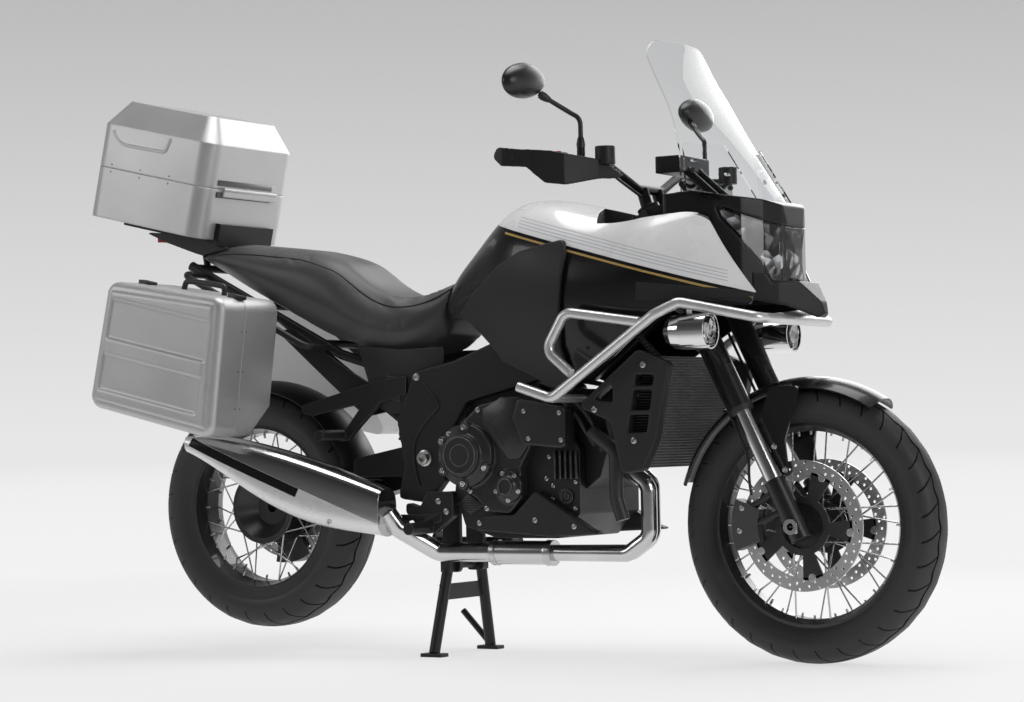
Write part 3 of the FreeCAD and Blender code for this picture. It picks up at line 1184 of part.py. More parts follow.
def exhaust_headers():
    """Two front pipes that fold under the engine into a collector, then run to the silencer."""
    pipes = []
    for y, front in ((HEADER_OUTER_Y, HEADER_FRONT_X), (HEADER_INNER_Y, HEADER_FRONT_X - HEADER_R)):
        route = [vec(HEADER_PORT_X - HEADER_R, y, HEADER_PORT_Z), vec(front, y, HEADER_PORT_Z - HEADER_R * 2),
                 vec(front, y, HEADER_LOW_Z + HEADER_R * 2), vec(front - HEADER_R * 3, y, HEADER_LOW_Z),
                 vec(COLLECTOR_FRONT_X - HEADER_R, COLLECTOR_Y, HEADER_LOW_Z)]
        pipes.append(bent_tube(route, HEADER_BEND, HEADER_R))
    back_x = COLLECTOR_FRONT_X - COLLECTOR_LENGTH
    collector = round_bar(vec(COLLECTOR_FRONT_X, COLLECTOR_Y, HEADER_LOW_Z), vec(back_x, COLLECTOR_Y, HEADER_LOW_Z),
                          COLLECTOR_R)
    inlet = vec(SILENCER_FRONT_X, SILENCER_FRONT_Y, SILENCER_FRONT_Z)
    tail = bent_tube([vec(back_x + HEADER_R, COLLECTOR_Y, HEADER_LOW_Z), vec(PIVOT_X + HEADER_R, COLLECTOR_Y - HEADER_R, HEADER_LOW_Z),
                      inlet + vec(HEADER_R, HEADER_R, -HEADER_R * 2), inlet],
                     HEADER_BEND, TAIL_PIPE_R)
    keep = block(inlet.x + SEAT_GAP, inlet.y - COLLECTOR_LENGTH, 0, FRONT_AXLE_X, 0, HEADER_PORT_Z + OVERRUN)
    pipes = pipes[0].multiFuse([pipes[1], collector, tail]).common(keep)
    return single_solid(pipes.cut(cylinder_heads()))


def silencer():
    """A tapering box silencer beside the rear wheel, with an open mouth."""
    rings = []
    for along, out, rise, high, wide in SILENCER_SHARES:
        x = SILENCER_FRONT_X - SILENCER_LENGTH * along
        y = SILENCER_FRONT_Y - SILENCER_SPREAD_Y * out
        z = SILENCER_FRONT_Z + SILENCER_RISE * rise
        rings.append(oval_ring(x, y, z, SILENCER_HALF_H * high, SILENCER_HALF_W * wide, SILENCER_CORNER_SHARE))
    body = Part.makeLoft(rings, True, False)
    mouth = round_bar(vec(x - OVERRUN, y, z), vec(x + SILENCER_BORE_DEPTH, y, z), SILENCER_BORE_R)
    return body.cut(mouth)


def oval_ring(x, y, z, half_h, half_w, share):
    """A smooth rounded-box ring square to the length, with its corners at that share of its half sizes."""
    steps = [(0, 1), (share, share), (1, 0), (share, -share), (0, -1), (-share, -share), (-1, 0), (-share, share)]
    points = [vec(x, y + half_w * across, z + half_h * up) for across, up in steps]
    curve = Part.BSplineCurve()
    curve.interpolate(Points=points, PeriodicFlag=True)
    return Part.Wire(curve.toShape())


def radiator():
    """The core behind the front wheel, leaning with the fork."""
    corners = [vec(RADIATOR_LOW_X - RADIATOR_T, 0, RADIATOR_LOW_Z), vec(RADIATOR_LOW_X, 0, RADIATOR_LOW_Z),
               vec(RADIATOR_TOP_X, 0, RADIATOR_TOP_Z), vec(RADIATOR_TOP_X - RADIATOR_T, 0, RADIATOR_TOP_Z)]
    core = side_plate(corners, EDGE_ROUND, -RADIATOR_HALF_W, RADIATOR_HALF_W)
    top = vec(RADIATOR_TOP_X - RADIATOR_T, -RADIATOR_STAY_Y, RADIATOR_TOP_Z - RADIATOR_T / 2)
    spar_end = side_outline(SPAR_REAR_X, SPAR_LOW_Z, SPAR_LENGTH, SPAR_HEIGHT, SPAR_SHARES)[-1]
    stay = round_bar(top + ALONG * RADIATOR_T / 2, vec(spar_end.x, -RADIATOR_STAY_Y, spar_end.z), RADIATOR_STAY_R)
    return single_solid(core.multiFuse([stay, mirrored(stay)]).cut(main_frame()))


def radiator_shrouds():
    outline = side_outline(SHROUD_REAR_X, SHROUD_LOW_Z, SHROUD_LENGTH, SHROUD_HEIGHT, SHROUD_SHARES)
    plate = side_plate(outline, CORNER_ROUND, -SHROUD_OUTER_Y, -SHROUD_INNER_Y)
    for shares in SHROUD_WINDOW_SHARES:
        window = side_outline(SHROUD_REAR_X, SHROUD_LOW_Z, SHROUD_LENGTH, SHROUD_HEIGHT, shares)
        plate = plate.cut(side_plate(window, EDGE_ROUND, -SHROUD_OUTER_Y - OVERRUN, OVERRUN - SHROUD_INNER_Y))
    foot = block(RADIATOR_TOP_X - RADIATOR_T, -SHROUD_INNER_Y, RADIATOR_TOP_Z - RADIATOR_T,
                 RADIATOR_TOP_X - RADIATOR_T / 2, -RADIATOR_HALF_W - SEAT_GAP, RADIATOR_TOP_Z - RADIATOR_T / 2)
    return both_sides(plate.fuse(foot))


def coolant_pipe():
    """The hose from the radiator's foot back up to the engine's right side."""
    y = HEADER_OUTER_Y - HEADER_R - COOLANT_PIPE_R - SEAT_GAP
    top = vec(COOLANT_PIPE_X - COOLANT_PIPE_R * 4, y, COOLANT_PIPE_TOP_Z)
    route = [vec(COOLANT_PIPE_X + COOLANT_PIPE_R, y, COOLANT_PIPE_LOW_Z),
             vec(COOLANT_PIPE_X, y, COOLANT_PIPE_LOW_Z + COOLANT_PIPE_R * 3),
             vec(COOLANT_PIPE_X, y, COOLANT_PIPE_TOP_Z - COOLANT_PIPE_R * 3), top]
    return bent_tube(route, COOLANT_PIPE_R * 2, COOLANT_PIPE_R)


def belly_pan():
    """Side covers under the engine and the tray that joins them."""
    outline = side_outline(BELLY_REAR_X, BELLY_LOW_Z, BELLY_LENGTH, BELLY_HEIGHT, BELLY_SHARES)
    inner = CRANKCASE_HALF_W + SEAT_GAP
    side = side_plate(outline, CORNER_ROUND, -inner - BELLY_T, -inner)
    return both_sides(side)


# Rear wheel carrier and underseat structure

@functools.lru_cache(maxsize=None)
def swingarm():
    """A single arm on the left, joined to a pivot tube ahead of the tyre."""
    corners = [vec(PIVOT_X - ARM_PIVOT_HALF_H, 0, PIVOT_Z + ARM_PIVOT_HALF_H), vec(REAR_AXLE_X, 0, REAR_AXLE_Z + ARM_TAIL_HALF_H),
               vec(REAR_AXLE_X - ARM_TAIL_HALF_H, 0, REAR_AXLE_Z), vec(REAR_AXLE_X, 0, REAR_AXLE_Z - ARM_TAIL_HALF_H),
               vec(PIVOT_X - ARM_PIVOT_HALF_H * 2, 0, PIVOT_Z - ARM_PIVOT_HALF_H)]
    beam = side_plate(corners, CORNER_ROUND, ARM_INNER_Y, ARM_OUTER_Y)
    drive = Part.makeCylinder(DRIVE_R * 0.9, DRIVE_OUTER_Y * 2, vec(REAR_AXLE_X, 0, REAR_AXLE_Z), ACROSS)
    beam = beam.cut(drive)
    cross = side_plate([vec(PIVOT_X, 0, PIVOT_Z + ARM_PIVOT_HALF_H), vec(PIVOT_X, 0, PIVOT_Z - ARM_PIVOT_HALF_H),
                        vec(ARM_CROSS_BACK_X, 0, PIVOT_Z - ARM_PIVOT_HALF_H), vec(ARM_CROSS_BACK_X, 0, PIVOT_Z)],
                       CORNER_ROUND, -ARM_PIVOT_HALF_W, ARM_PIVOT_HALF_W)
    tube = round_bar(vec(PIVOT_X, -SPAR_INNER_Y, PIVOT_Z), vec(PIVOT_X, SPAR_INNER_Y, PIVOT_Z), ARM_PIVOT_R)
    spars = main_frame()
    arm = single_solid(cross.multiFuse([tube, beam.cut(spars)]).cut(spars))
    return arm.fuse(final_drive())


def final_drive():
    """The bevel gear housing that carries the rear hub's stub."""
    bore = REAR_STUB_R + RUNNING_GAP
    pairs = [(bore, DRIVE_INNER_Y), (DRIVE_R * 0.8, DRIVE_INNER_Y), (DRIVE_R, DRIVE_INNER_Y + FLANGE_T * 2),
             (DRIVE_R, DRIVE_OUTER_Y - FLANGE_T * 4), (DRIVE_R * 0.6, DRIVE_OUTER_Y), (bore, DRIVE_OUTER_Y)]
    return lathe(REAR_AXLE_X, REAR_AXLE_Z, pairs)


def rear_caliper():
    body = caliper(REAR_AXLE_X, REAR_AXLE_Z, REAR_DISC_Y, REAR_DISC_R, DRIVE_R + SEAT_GAP, REAR_CALIPER_R,
                   REAR_CALIPER_DEG, REAR_CALIPER_SWEEP_DEG, REAR_CALIPER_INNER_Y, REAR_CALIPER_OUTER_Y)
    return single_solid(body.cut(swingarm()))


def rear_hugger():
    """A mudguard on the arm, over the front of the rear tyre."""
    blade = arched_guard(REAR_AXLE_X, REAR_AXLE_Z, HUGGER_R, HUGGER_WALL, HUGGER_HALF_W, MUDGUARD_DROP,
                         HUGGER_START_DEG, HUGGER_SWEEP_DEG)
    angle = math.radians(HUGGER_TAB_DEG)
    radius = HUGGER_R - HUGGER_WALL
    x = REAR_AXLE_X + radius * math.cos(angle)
    z = REAR_AXLE_Z + radius * math.sin(angle)
    tab = round_bar(vec(x, HUGGER_HALF_W - MUDGUARD_DROP, z), vec(x, ARM_INNER_Y, z), HUGGER_TAB_R)
    return single_solid(blade.fuse(tab).cut(swingarm()))


def rail_points():
    """The right rail's corners under the seat."""
    return [vec(RAIL_FRONT_X, -RAIL_Y, RAIL_FRONT_Z), vec(RAIL_MID_X, -RAIL_Y, RAIL_MID_Z),
            vec(RAIL_REAR_X, -RAIL_Y, RAIL_REAR_Z)]


def rail_height(x):
    """The height of the rails' rear run at a place along the motorcycle."""
    return RAIL_MID_Z + (RAIL_REAR_Z - RAIL_MID_Z) * (x - RAIL_MID_X) / (RAIL_REAR_X - RAIL_MID_X)


def rail_cross_places():
    """Where the tubes across leave the right rail."""
    _, middle, end = rail_points()
    return [middle + (end - middle) * share for share in RAIL_CROSS_X_SHARES]


def rail_tubes(grow):
    """Both rails and the tubes across, thickened by grow."""
    rail = bent_tube(rail_points(), RAIL_BEND, RAIL_R + grow)
    bars = [mirrored(rail)]
    for place in rail_cross_places():
        bars.append(round_bar(place, vec(place.x, -place.y, place.z), RAIL_R * 0.8 + grow))
    return rail.multiFuse(bars)


@functools.lru_cache(maxsize=None)
def rear_subframe():
    """Two bent rails under the seat, their struts and the tubes across."""
    meet = vec(STRUT_TOP_X, -RAIL_Y, rail_height(STRUT_TOP_X))
    strut = round_bar(vec(STRUT_FOOT_X, -RAIL_Y, STRUT_FOOT_Z), meet, RAIL_R)
    return rail_tubes(0).multiFuse([strut, mirrored(strut)]).cut(main_frame())


@functools.lru_cache(maxsize=None)
def seat():
    """The rider and pillion cushion, as one closed soft form."""
    rings = []
    corner = SEAT_ROUND_SHARE + (1 - SEAT_ROUND_SHARE) * 0.66
    for along, wide, low_share, top_share in SEAT_SHARES:
        low = SEAT_LOW_Z + SEAT_HEIGHT * low_share
        top = SEAT_LOW_Z + SEAT_HEIGHT * top_share
        rings.append(half_section(SEAT_REAR_X + SEAT_LENGTH * along, SEAT_HALF_W * wide, low, (low + top) / 2, top, corner))
    form = symmetric_loft(rings)
    return single_solid(form.cut(body_form(0)).cut(rail_tubes(SEAT_GAP)))


# Bodywork

@functools.lru_cache(maxsize=None)
def body_form(grow):
    """The tank and fairing's outer form, moved outwards by grow."""
    rings = []
    for along, wide, *heights in BODY_SHARES:
        low, middle, top = [BODY_LOW_Z + BODY_HEIGHT * share for share in heights]
        x = BODY_REAR_X + BODY_LENGTH * along
        rings.append(half_section(x, BODY_HALF_W * wide + grow, low - grow, middle, top + grow, BODY_CORNER_SHARE))
    return symmetric_loft(rings)


def above_stripe():
    """Everything above the plane where white meets black."""
    reach = FAIRING_LENGTH * 2
    slab = block(-reach, -reach, 0, reach, reach, reach)
    slab.rotate(vec(0, 0, 0), ACROSS, STRIPE_SLOPE_DEG)
    slab.translate(vec(STRIPE_X, 0, STRIPE_Z))
    return slab


@functools.lru_cache(maxsize=None)
def fuel_tank():
    """The black part of the tank, hollowed below to straddle the frame."""
    form = body_form(0)
    keep = block(-FAIRING_LENGTH, -FAIRING_LENGTH, TANK_LOW_Z, TANK_FRONT_X, FAIRING_LENGTH, FAIRING_LENGTH * 2)
    lift = FLANGE_T
    outline = side_outline(SPAR_REAR_X, SPAR_LOW_Z + lift, SPAR_LENGTH, SPAR_HEIGHT, SPAR_SHARES)
    tunnel = side_plate(outline, 0, -SPAR_OUTER_Y - SEAM_GAP, SPAR_OUTER_Y + SEAM_GAP)
    under = block(TANK_FRONT_X - FAIRING_LENGTH / 3, -SPAR_OUTER_Y - SEAM_GAP, TANK_LOW_Z - OVERRUN, TANK_FRONT_X + OVERRUN,
                  SPAR_OUTER_Y + SEAM_GAP, TANK_LOW_Z + OVERRUN * 2)
    tank = form.common(keep).cut(above_stripe()).cut(tunnel).cut(under)
    return single_solid(tank)


def fairing_nose():
    """The side view region behind the fairing's raked front edge."""
    return side_plate([vec(-FAIRING_LENGTH, 0, FAIRING_LENGTH / 2), vec(FAIRING_NOSE_LOW_X, 0, FAIRING_LENGTH / 2),
                       vec(FAIRING_NOSE_LOW_X, 0, FAIRING_NOSE_LOW_Z), vec(FAIRING_NOSE_TOP_X, 0, FAIRING_NOSE_TOP_Z),
                       vec(FAIRING_NOSE_TOP_X, 0, FAIRING_LENGTH * 2), vec(-FAIRING_LENGTH, 0, FAIRING_LENGTH * 2)],
                      0, -FAIRING_LENGTH, FAIRING_LENGTH)


@functools.lru_cache(maxsize=None)
def upper_cover():
    """The white cover over the tank and both sides of the fairing."""
    form = body_form(0).common(above_stripe()).common(fairing_nose())
    inside = body_form(-PANEL_WALL)
    hollow = inside.common(block(TANK_FRONT_X, -FAIRING_LENGTH, 0, FAIRING_LENGTH * 2, FAIRING_LENGTH, FAIRING_LENGTH * 2))
    mouth = plan_prism([vec(COVER_OPEN_X, 0, 0), vec(COVER_OPEN_WIDE_X, -COVER_OPEN_HALF_W, 0),
                        vec(COVER_OPEN_FRONT_X, -COVER_OPEN_HALF_W, 0),
                        vec(FAIRING_NOSE_LOW_X + OVERRUN, -COVER_OPEN_NOSE_HALF_W, 0),
                        vec(FAIRING_NOSE_LOW_X + OVERRUN, COVER_OPEN_NOSE_HALF_W, 0),
                        vec(COVER_OPEN_FRONT_X, COVER_OPEN_HALF_W, 0),
                        vec(COVER_OPEN_WIDE_X, COVER_OPEN_HALF_W, 0)], 0, 0, FAIRING_LENGTH * 2)
    lift = FLANGE_T
    outline = side_outline(SPAR_REAR_X, SPAR_LOW_Z + lift, SPAR_LENGTH, SPAR_HEIGHT, SPAR_SHARES)
    tunnel = side_plate(outline, 0, -SPAR_OUTER_Y - SEAM_GAP, SPAR_OUTER_Y + SEAM_GAP)
    return single_solid(form.cut(hollow).cut(mouth).cut(tunnel))


def side_fairings():
    """The gloss black side shells under the stripe."""
    shell = body_form(0).cut(body_form(-PANEL_WALL)).cut(above_stripe()).common(fairing_nose())
    outline = side_outline(FAIRING_REAR_X, FAIRING_LOW_Z, FAIRING_LENGTH, FAIRING_HEIGHT, FAIRING_SHARES)
    right = shell.common(side_plate(outline, CORNER_ROUND, -FAIRING_LENGTH, -SPAR_OUTER_Y - SEAM_GAP))
    tank_room = block(-FAIRING_LENGTH, -FAIRING_LENGTH, TANK_LOW_Z, TANK_FRONT_X, FAIRING_LENGTH, FAIRING_LENGTH * 2)
    return both_sides_fitted(right, tank_room, crash_bars(), fog_lamps())


def knee_panels():
    """Matt covers that stand proud of the tank at the rider's knees."""
    shell = body_form(KNEE_PROUD).cut(body_form(SEAT_GAP))
    outline = side_outline(KNEE_REAR_X, KNEE_LOW_Z, KNEE_LENGTH, KNEE_HEIGHT, KNEE_SHARES)
    right = shell.common(side_plate(outline, CORNER_ROUND, -FAIRING_LENGTH, -SPAR_OUTER_Y - SEAM_GAP))
    return both_sides(single_solid(right))


def tapered_block(rear, length, half_w, shares, low, high, inset):
    """A block whose plan view tapers forward, from shares of its length and half width, moved inwards by inset."""
    right = [vec(rear + length * x - inset, inset - half_w * y, 0) for x, y in shares]
    left = [vec(p.x, -p.y, 0) for p in reversed(right)]
    return plan_prism(right + left, CORNER_ROUND, low, high)


def nose_block(low, height, inset):
    return tapered_block(NOSE_REAR_X, NOSE_LENGTH, NOSE_HALF_W, NOSE_PLAN_SHARES, low - OVERRUN, low + height + OVERRUN, inset)


def nose_slab(rear, low, length, height, shares):
    """A side view outline pulled across the whole nose."""
    return side_plate(side_outline(rear, low, length, height, shares), EDGE_ROUND, -NOSE_HALF_W, NOSE_HALF_W)


@functools.lru_cache(maxsize=None)
def headlamp():
    slab = nose_slab(LAMP_REAR_X, LAMP_LOW_Z, LAMP_LENGTH, LAMP_HEIGHT, LAMP_SHARES)
    return single_solid(slab.common(nose_block(LAMP_LOW_Z, LAMP_HEIGHT, 0)).cut(steering_room()))


@functools.lru_cache(maxsize=None)
def front_cowl():
    """The brow that carries the screen and instruments, and the bands that frame the headlamp."""
    brow = nose_slab(COWL_REAR_X, COWL_LOW_Z, COWL_LENGTH, COWL_HEIGHT, COWL_SHARES)
    brow = brow.common(nose_block(COWL_LOW_Z, COWL_HEIGHT, 0))
    band = nose_slab(BAND_REAR_X, BAND_LOW_Z, BAND_LENGTH, BAND_HEIGHT, BAND_SHARES)
    band = band.common(nose_block(BAND_LOW_Z, BAND_HEIGHT, 0)).cut(nose_block(BAND_LOW_Z, BAND_HEIGHT, NOSE_WALL))
    cowl = brow.fuse(band)
    for neighbour in (headlamp(), windscreen(), wind_deflectors(), upper_cover(), steering_room()):
        cowl = cowl.cut(neighbour)
    return single_solid(cowl)


def beak():
    """The pointed lip under the headlamp."""
    side = side_plate(side_outline(BEAK_REAR_X, BEAK_LOW_Z, BEAK_LENGTH, BEAK_HEIGHT, BEAK_SHARES), EDGE_ROUND,
                      -BEAK_HALF_W, BEAK_HALF_W)
    plan = tapered_block(BEAK_REAR_X, BEAK_LENGTH, BEAK_HALF_W, BEAK_PLAN_SHARES, BEAK_LOW_Z - OVERRUN,
                         BEAK_LOW_Z + BEAK_HEIGHT + OVERRUN, 0)
    return single_solid(side.common(plan).cut(headlamp()).cut(front_cowl()))


def screen_ring(z, half_w, middle_x, edge_x, proud, wall):
    """One level section of the screen, a shallow crescent."""
    outer = Part.Arc(vec(edge_x + proud, -half_w, z), vec(middle_x + proud, 0, z), vec(edge_x + proud, half_w, z)).toShape()
    back = proud - wall
    inner = Part.Arc(vec(edge_x + back, half_w, z), vec(middle_x + back, 0, z), vec(edge_x + back, -half_w, z)).toShape()
    sides = [Part.makeLine(vec(edge_x + proud, half_w, z), vec(edge_x + back, half_w, z)),
             Part.makeLine(vec(edge_x + back, -half_w, z), vec(edge_x + proud, -half_w, z))]
    return Part.Wire([outer, sides[0], inner, sides[1]])


def screen_form(proud, wall):
    rings = []
    for up, wide, middle, edge in SCREEN_SHARES:
        rings.append(screen_ring(SCREEN_LOW_Z + SCREEN_HEIGHT * up, SCREEN_HALF_W * wide, SCREEN_TOP_X + SCREEN_REACH * middle,
                                 SCREEN_TOP_X + SCREEN_REACH * edge, proud, wall))
    return Part.makeLoft(rings, True, False)


@functools.lru_cache(maxsize=None)
def windscreen():
    """A tall clear screen with rounded top corners."""
    top_z = SCREEN_LOW_Z + SCREEN_HEIGHT
    half_w = SCREEN_HALF_W * SCREEN_SHARES[-1][1]
    corners = [vec(0, -half_w, top_z), vec(0, half_w, top_z), vec(0, SCREEN_HALF_W * 1.3, SCREEN_LOW_Z - OVERRUN),
               vec(0, -SCREEN_HALF_W * 1.3, SCREEN_LOW_Z - OVERRUN)]
    view = front_plate(corners, SCREEN_TOP_ROUND, 0, FAIRING_LENGTH * 2)
    return single_solid(screen_form(0, SCREEN_WALL).common(view))


@functools.lru_cache(maxsize=None)
def wind_deflectors():
    """Clear side pieces that stand off the lower screen."""
    form = screen_form(DEFLECTOR_PROUD + SCREEN_WALL, SCREEN_WALL)
    keep = block(0, -FAIRING_LENGTH, 0, FAIRING_LENGTH * 2, -DEFLECTOR_INNER_Y, DEFLECTOR_TOP_Z)
    right = single_solid(form.common(keep))
    between = screen_form(DEFLECTOR_PROUD, DEFLECTOR_PROUD)
    pins = []
    for share in DEFLECTOR_PIN_Y_SHARES:
        y = -DEFLECTOR_INNER_Y - (SCREEN_HALF_W - DEFLECTOR_INNER_Y) * share
        z = SCREEN_LOW_Z + (DEFLECTOR_TOP_Z - SCREEN_LOW_Z) * (0.3 + 0.5 * share)
        pins.append(round_bar(vec(0, y, z), vec(FAIRING_LENGTH * 2, y, z), DEFLECTOR_PIN_R).common(between))
    return both_sides(single_solid(right.multiFuse(pins)))


def instruments():
    """The meter housing on two posts behind the screen."""
    pod = block(METER_REAR_X, -METER_HALF_W, METER_LOW_Z, METER_REAR_X + METER_LENGTH, METER_HALF_W,
                METER_LOW_Z + METER_HEIGHT)
    post = round_bar(vec(METER_POST_X, -METER_POST_Y, METER_POST_LOW_Z),
                     vec(METER_REAR_X + METER_LENGTH - METER_POST_R, -METER_POST_Y, METER_LOW_Z + METER_POST_R), METER_POST_R)
    return single_solid(pod.multiFuse([post, mirrored(post)]).cut(front_cowl()))


# Crash bars and lamps

@functools.lru_cache(maxsize=None)
def crash_bars():
    """Steel tubes round the fairing that meet under the beak."""
    low = vec(CRASH_LOW_X, -CRASH_Y, CRASH_LOW_Z)
    shoulder = vec(CRASH_SHOULDER_X, -CRASH_SHOULDER_Y, CRASH_SHOULDER_Z)
    nose = vec(CRASH_NOSE_X, -CRASH_NOSE_Y, CRASH_NOSE_Z)
    rise = vec(CRASH_LOW_X + (CRASH_SHOULDER_X - CRASH_LOW_X) * 0.84, -CRASH_Y,
               CRASH_LOW_Z + (CRASH_SHOULDER_Z - CRASH_LOW_Z) * 0.88)
    main = bent_tube([vec(CRASH_END_X, -CRASH_Y, CRASH_END_Z), low, rise, shoulder, nose, vec(CRASH_NOSE_X, 0, CRASH_NOSE_Z)],
                     CRASH_BEND, CRASH_R)
    span_x = CRASH_SHOULDER_X - CRASH_LOW_X
    span_z = CRASH_SHOULDER_Z - CRASH_LOW_Z
    corners = [vec(CRASH_LOW_X + span_x * x, -CRASH_Y, CRASH_LOW_Z + span_z * z) for x, z in CRASH_LOOP_SHARES]
    loop = bent_tube(corners, CRASH_BEND, CRASH_R)
    foot = round_bar(low, vec(CRASH_LOW_X, -HEAD_HALF_W, CRASH_LOW_Z), CRASH_R * 0.8)
    right = main.multiFuse([loop, foot])
    return right.fuse(mirrored(right))


@functools.lru_cache(maxsize=None)
def fog_lamps():
    """Chromed cans on short posts below the crash bars."""
    profile = [vec(0, 0, 0), vec(FOG_R * 0.6, 0, 0), vec(FOG_R * 0.92, 0, FOG_LENGTH * 0.18), vec(FOG_R, 0, FOG_LENGTH * 0.4),
               vec(FOG_R, 0, FOG_LENGTH), vec(FOG_BEZEL_R, 0, FOG_LENGTH), vec(FOG_BEZEL_R, 0, FOG_LENGTH - FLANGE_T),
               vec(0, 0, FOG_LENGTH - FLANGE_T)]
    can = Part.Face(Part.makePolygon(profile + profile[:1])).revolve(vec(0, 0, 0), UP, 360)
    can.rotate(vec(0, 0, 0), ACROSS, 90)
    can.translate(vec(FOG_BACK_X, -FOG_Y, FOG_Z))
    post = round_bar(vec(FOG_POST_X, -FOG_Y, FOG_Z + FOG_R - FOG_POST_R), vec(FOG_POST_X, -FOG_Y - FOG_POST_R, CRASH_SHOULDER_Z),
                     FOG_POST_R)
    return both_sides(single_solid(can.fuse(post).cut(crash_bars())))


# Stands and footrests

def centre_stand():
    """Two splayed legs on one pin, a plate between them and a foot lever."""
    pin = round_bar(vec(STAND_PIVOT_X, -STAND_LEG_TOP_Y, STAND_PIVOT_Z),
                    vec(STAND_PIVOT_X, STAND_LEG_TOP_Y, STAND_PIVOT_Z), STAND_PIN_R)
    top = vec(STAND_PIVOT_X, -STAND_LEG_TOP_Y, STAND_PIVOT_Z)
    foot = vec(STAND_FOOT_X, -STAND_FOOT_Y, STAND_FOOT_T)
    leg = round_bar(top + (top - foot).normalize() * STAND_LEG_R, foot, STAND_LEG_R)
    cap = block(STAND_PIVOT_X - STAND_LEG_R, -STAND_LEG_TOP_Y - STAND_LEG_R, STAND_PIVOT_Z - STAND_LEG_R,
                STAND_PIVOT_X + STAND_LEG_R, -STAND_EAR_OUTER_Y - SEAM_GAP, STAND_PIVOT_Z + STAND_LEG_R)
    leg = leg.cut(block(STAND_PIVOT_X - OVERRUN, -STAND_EAR_OUTER_Y - SEAM_GAP, STAND_PIVOT_Z - OVERRUN,
                        STAND_PIVOT_X + OVERRUN, OVERRUN, STAND_PIVOT_Z + OVERRUN))
    leg = leg.cut(block(STAND_FOOT_X - OVERRUN, -STAND_FOOT_Y - OVERRUN, -OVERRUN, STAND_FOOT_X + OVERRUN,
                        -STAND_FOOT_Y + OVERRUN, 0))
    pad = block(STAND_FOOT_X - STAND_FOOT_LENGTH / 2, -STAND_FOOT_Y - STAND_FOOT_W / 2, 0,
                STAND_FOOT_X + STAND_FOOT_LENGTH / 2, -STAND_FOOT_Y + STAND_FOOT_W / 2, STAND_FOOT_T)
    half = leg.multiFuse([cap, pad])
    plate = block(STAND_FOOT_X, -STAND_FOOT_Y + STAND_LEG_R * 2, STAND_PLATE_LOW_Z, STAND_FOOT_X + STAND_PLATE_T,
                  STAND_FOOT_Y - STAND_LEG_R * 2, STAND_PLATE_LOW_Z + STAND_PLATE_HEIGHT)
    lever = round_bar(vec(STAND_FOOT_X, STAND_FOOT_Y, STAND_LEG_R), vec(STAND_LEVER_X, STAND_FOOT_Y, STAND_LEVER_Z),
                      STAND_LEG_R * 0.6)
    return half.multiFuse([mirrored(half), plate, pin, lever])


def side_stand():
    """A folding prop on the left, folded back along the frame."""
    tilt = math.radians(SIDE_AXIS_TILT_DEG)
    axis = vec(0, math.cos(tilt), math.sin(tilt))
    pivot = vec(SIDE_PIVOT_X, SIDE_PIVOT_Y, SIDE_PIVOT_Z)
    pin = round_bar(pivot, pivot + axis * SIDE_PIN_LENGTH, SIDE_PIN_R)
    shoulder = pivot + axis * SIDE_PIN_LENGTH
    boss = round_bar(shoulder - axis * SIDE_LUG_T, shoulder + axis * SIDE_LEG_R, SIDE_LEG_R * 1.3)
    end = shoulder - ALONG * SIDE_LEG_LENGTH
    leg = round_bar(shoulder, end, SIDE_LEG_R)
    foot = round_bar(end, end - ALONG * SIDE_FOOT_T, SIDE_FOOT_R)
    return pin.multiFuse([boss, leg, foot])


def stand_brackets():
    """The ears of the centre stand and the lug of the side stand."""
    return Part.makeCompound([centre_stand_ears(), side_stand_lug()])


def side_stand_lug():
    """The lug on the lower frame that holds the side stand's pin."""
    tilt = math.radians(SIDE_AXIS_TILT_DEG)
    axis = vec(0, math.cos(tilt), math.sin(tilt))
    pivot = vec(SIDE_PIVOT_X, SIDE_PIVOT_Y, SIDE_PIVOT_Z)
    lug = round_bar(pivot, pivot + axis * SIDE_LUG_T, SIDE_LEG_R * 1.5)
    arm = round_bar(pivot + axis * SIDE_LUG_T / 2 + UP * SIDE_LEG_R, vec(PIVOT_X, SPAR_INNER_Y + SIDE_LUG_T, SPAR_LOW_Z), SIDE_LUG_T / 2)
    hole = round_bar(pivot - axis * OVERRUN, pivot + axis * OVERRUN, SIDE_PIN_R + RUNNING_GAP)
    swing = round_bar(pivot + axis * (SIDE_LUG_T + SEAM_GAP), pivot + axis * OVERRUN, SIDE_LEG_R * 2)
    return single_solid(lug.fuse(arm).cut(swing).cut(hole).cut(main_frame()).cut(engine_block()))


def footpegs():
    """Rider pegs on their cast hangers."""
    outline = side_outline(HANGER_REAR_X, HANGER_LOW_Z, HANGER_LENGTH, HANGER_HEIGHT, HANGER_SHARES)
    inner = SPAR_OUTER_Y + SEAT_GAP
    hanger = side_plate(outline, CORNER_ROUND, -inner - HANGER_T, -inner)
    peg = round_bar(vec(PEG_X, -inner - HANGER_T / 2, PEG_Z), vec(PEG_X, -PEG_OUTER_Y, PEG_Z), PEG_R)
    return both_sides(hanger.fuse(peg))


@functools.lru_cache(maxsize=None)
def pillion_brackets():
    """Cast brackets under the rails that hold the passenger's pegs."""
    outline = side_outline(PILLION_REAR_X, PILLION_LOW_Z, PILLION_LENGTH, PILLION_HEIGHT, PILLION_SHARES)
    inner = RAIL_Y + RAIL_R + SEAT_GAP
    plate = side_plate(outline, EDGE_ROUND, -inner - PILLION_T, -inner)
    peg = round_bar(vec(PILLION_PEG_X, -inner - PILLION_T / 2, PILLION_PEG_Z),
                    vec(PILLION_PEG_X, -PEG_OUTER_Y + PEG_R, PILLION_PEG_Z), PEG_R * 0.9)
    return both_sides(plate.fuse(peg))


# Luggage

def tilted(shape, x, z):
    """Leans a piece of luggage nose-down about its own place."""
    shape.rotate(vec(x, 0, z), ACROSS, CASE_TILT_DEG)
    return shape


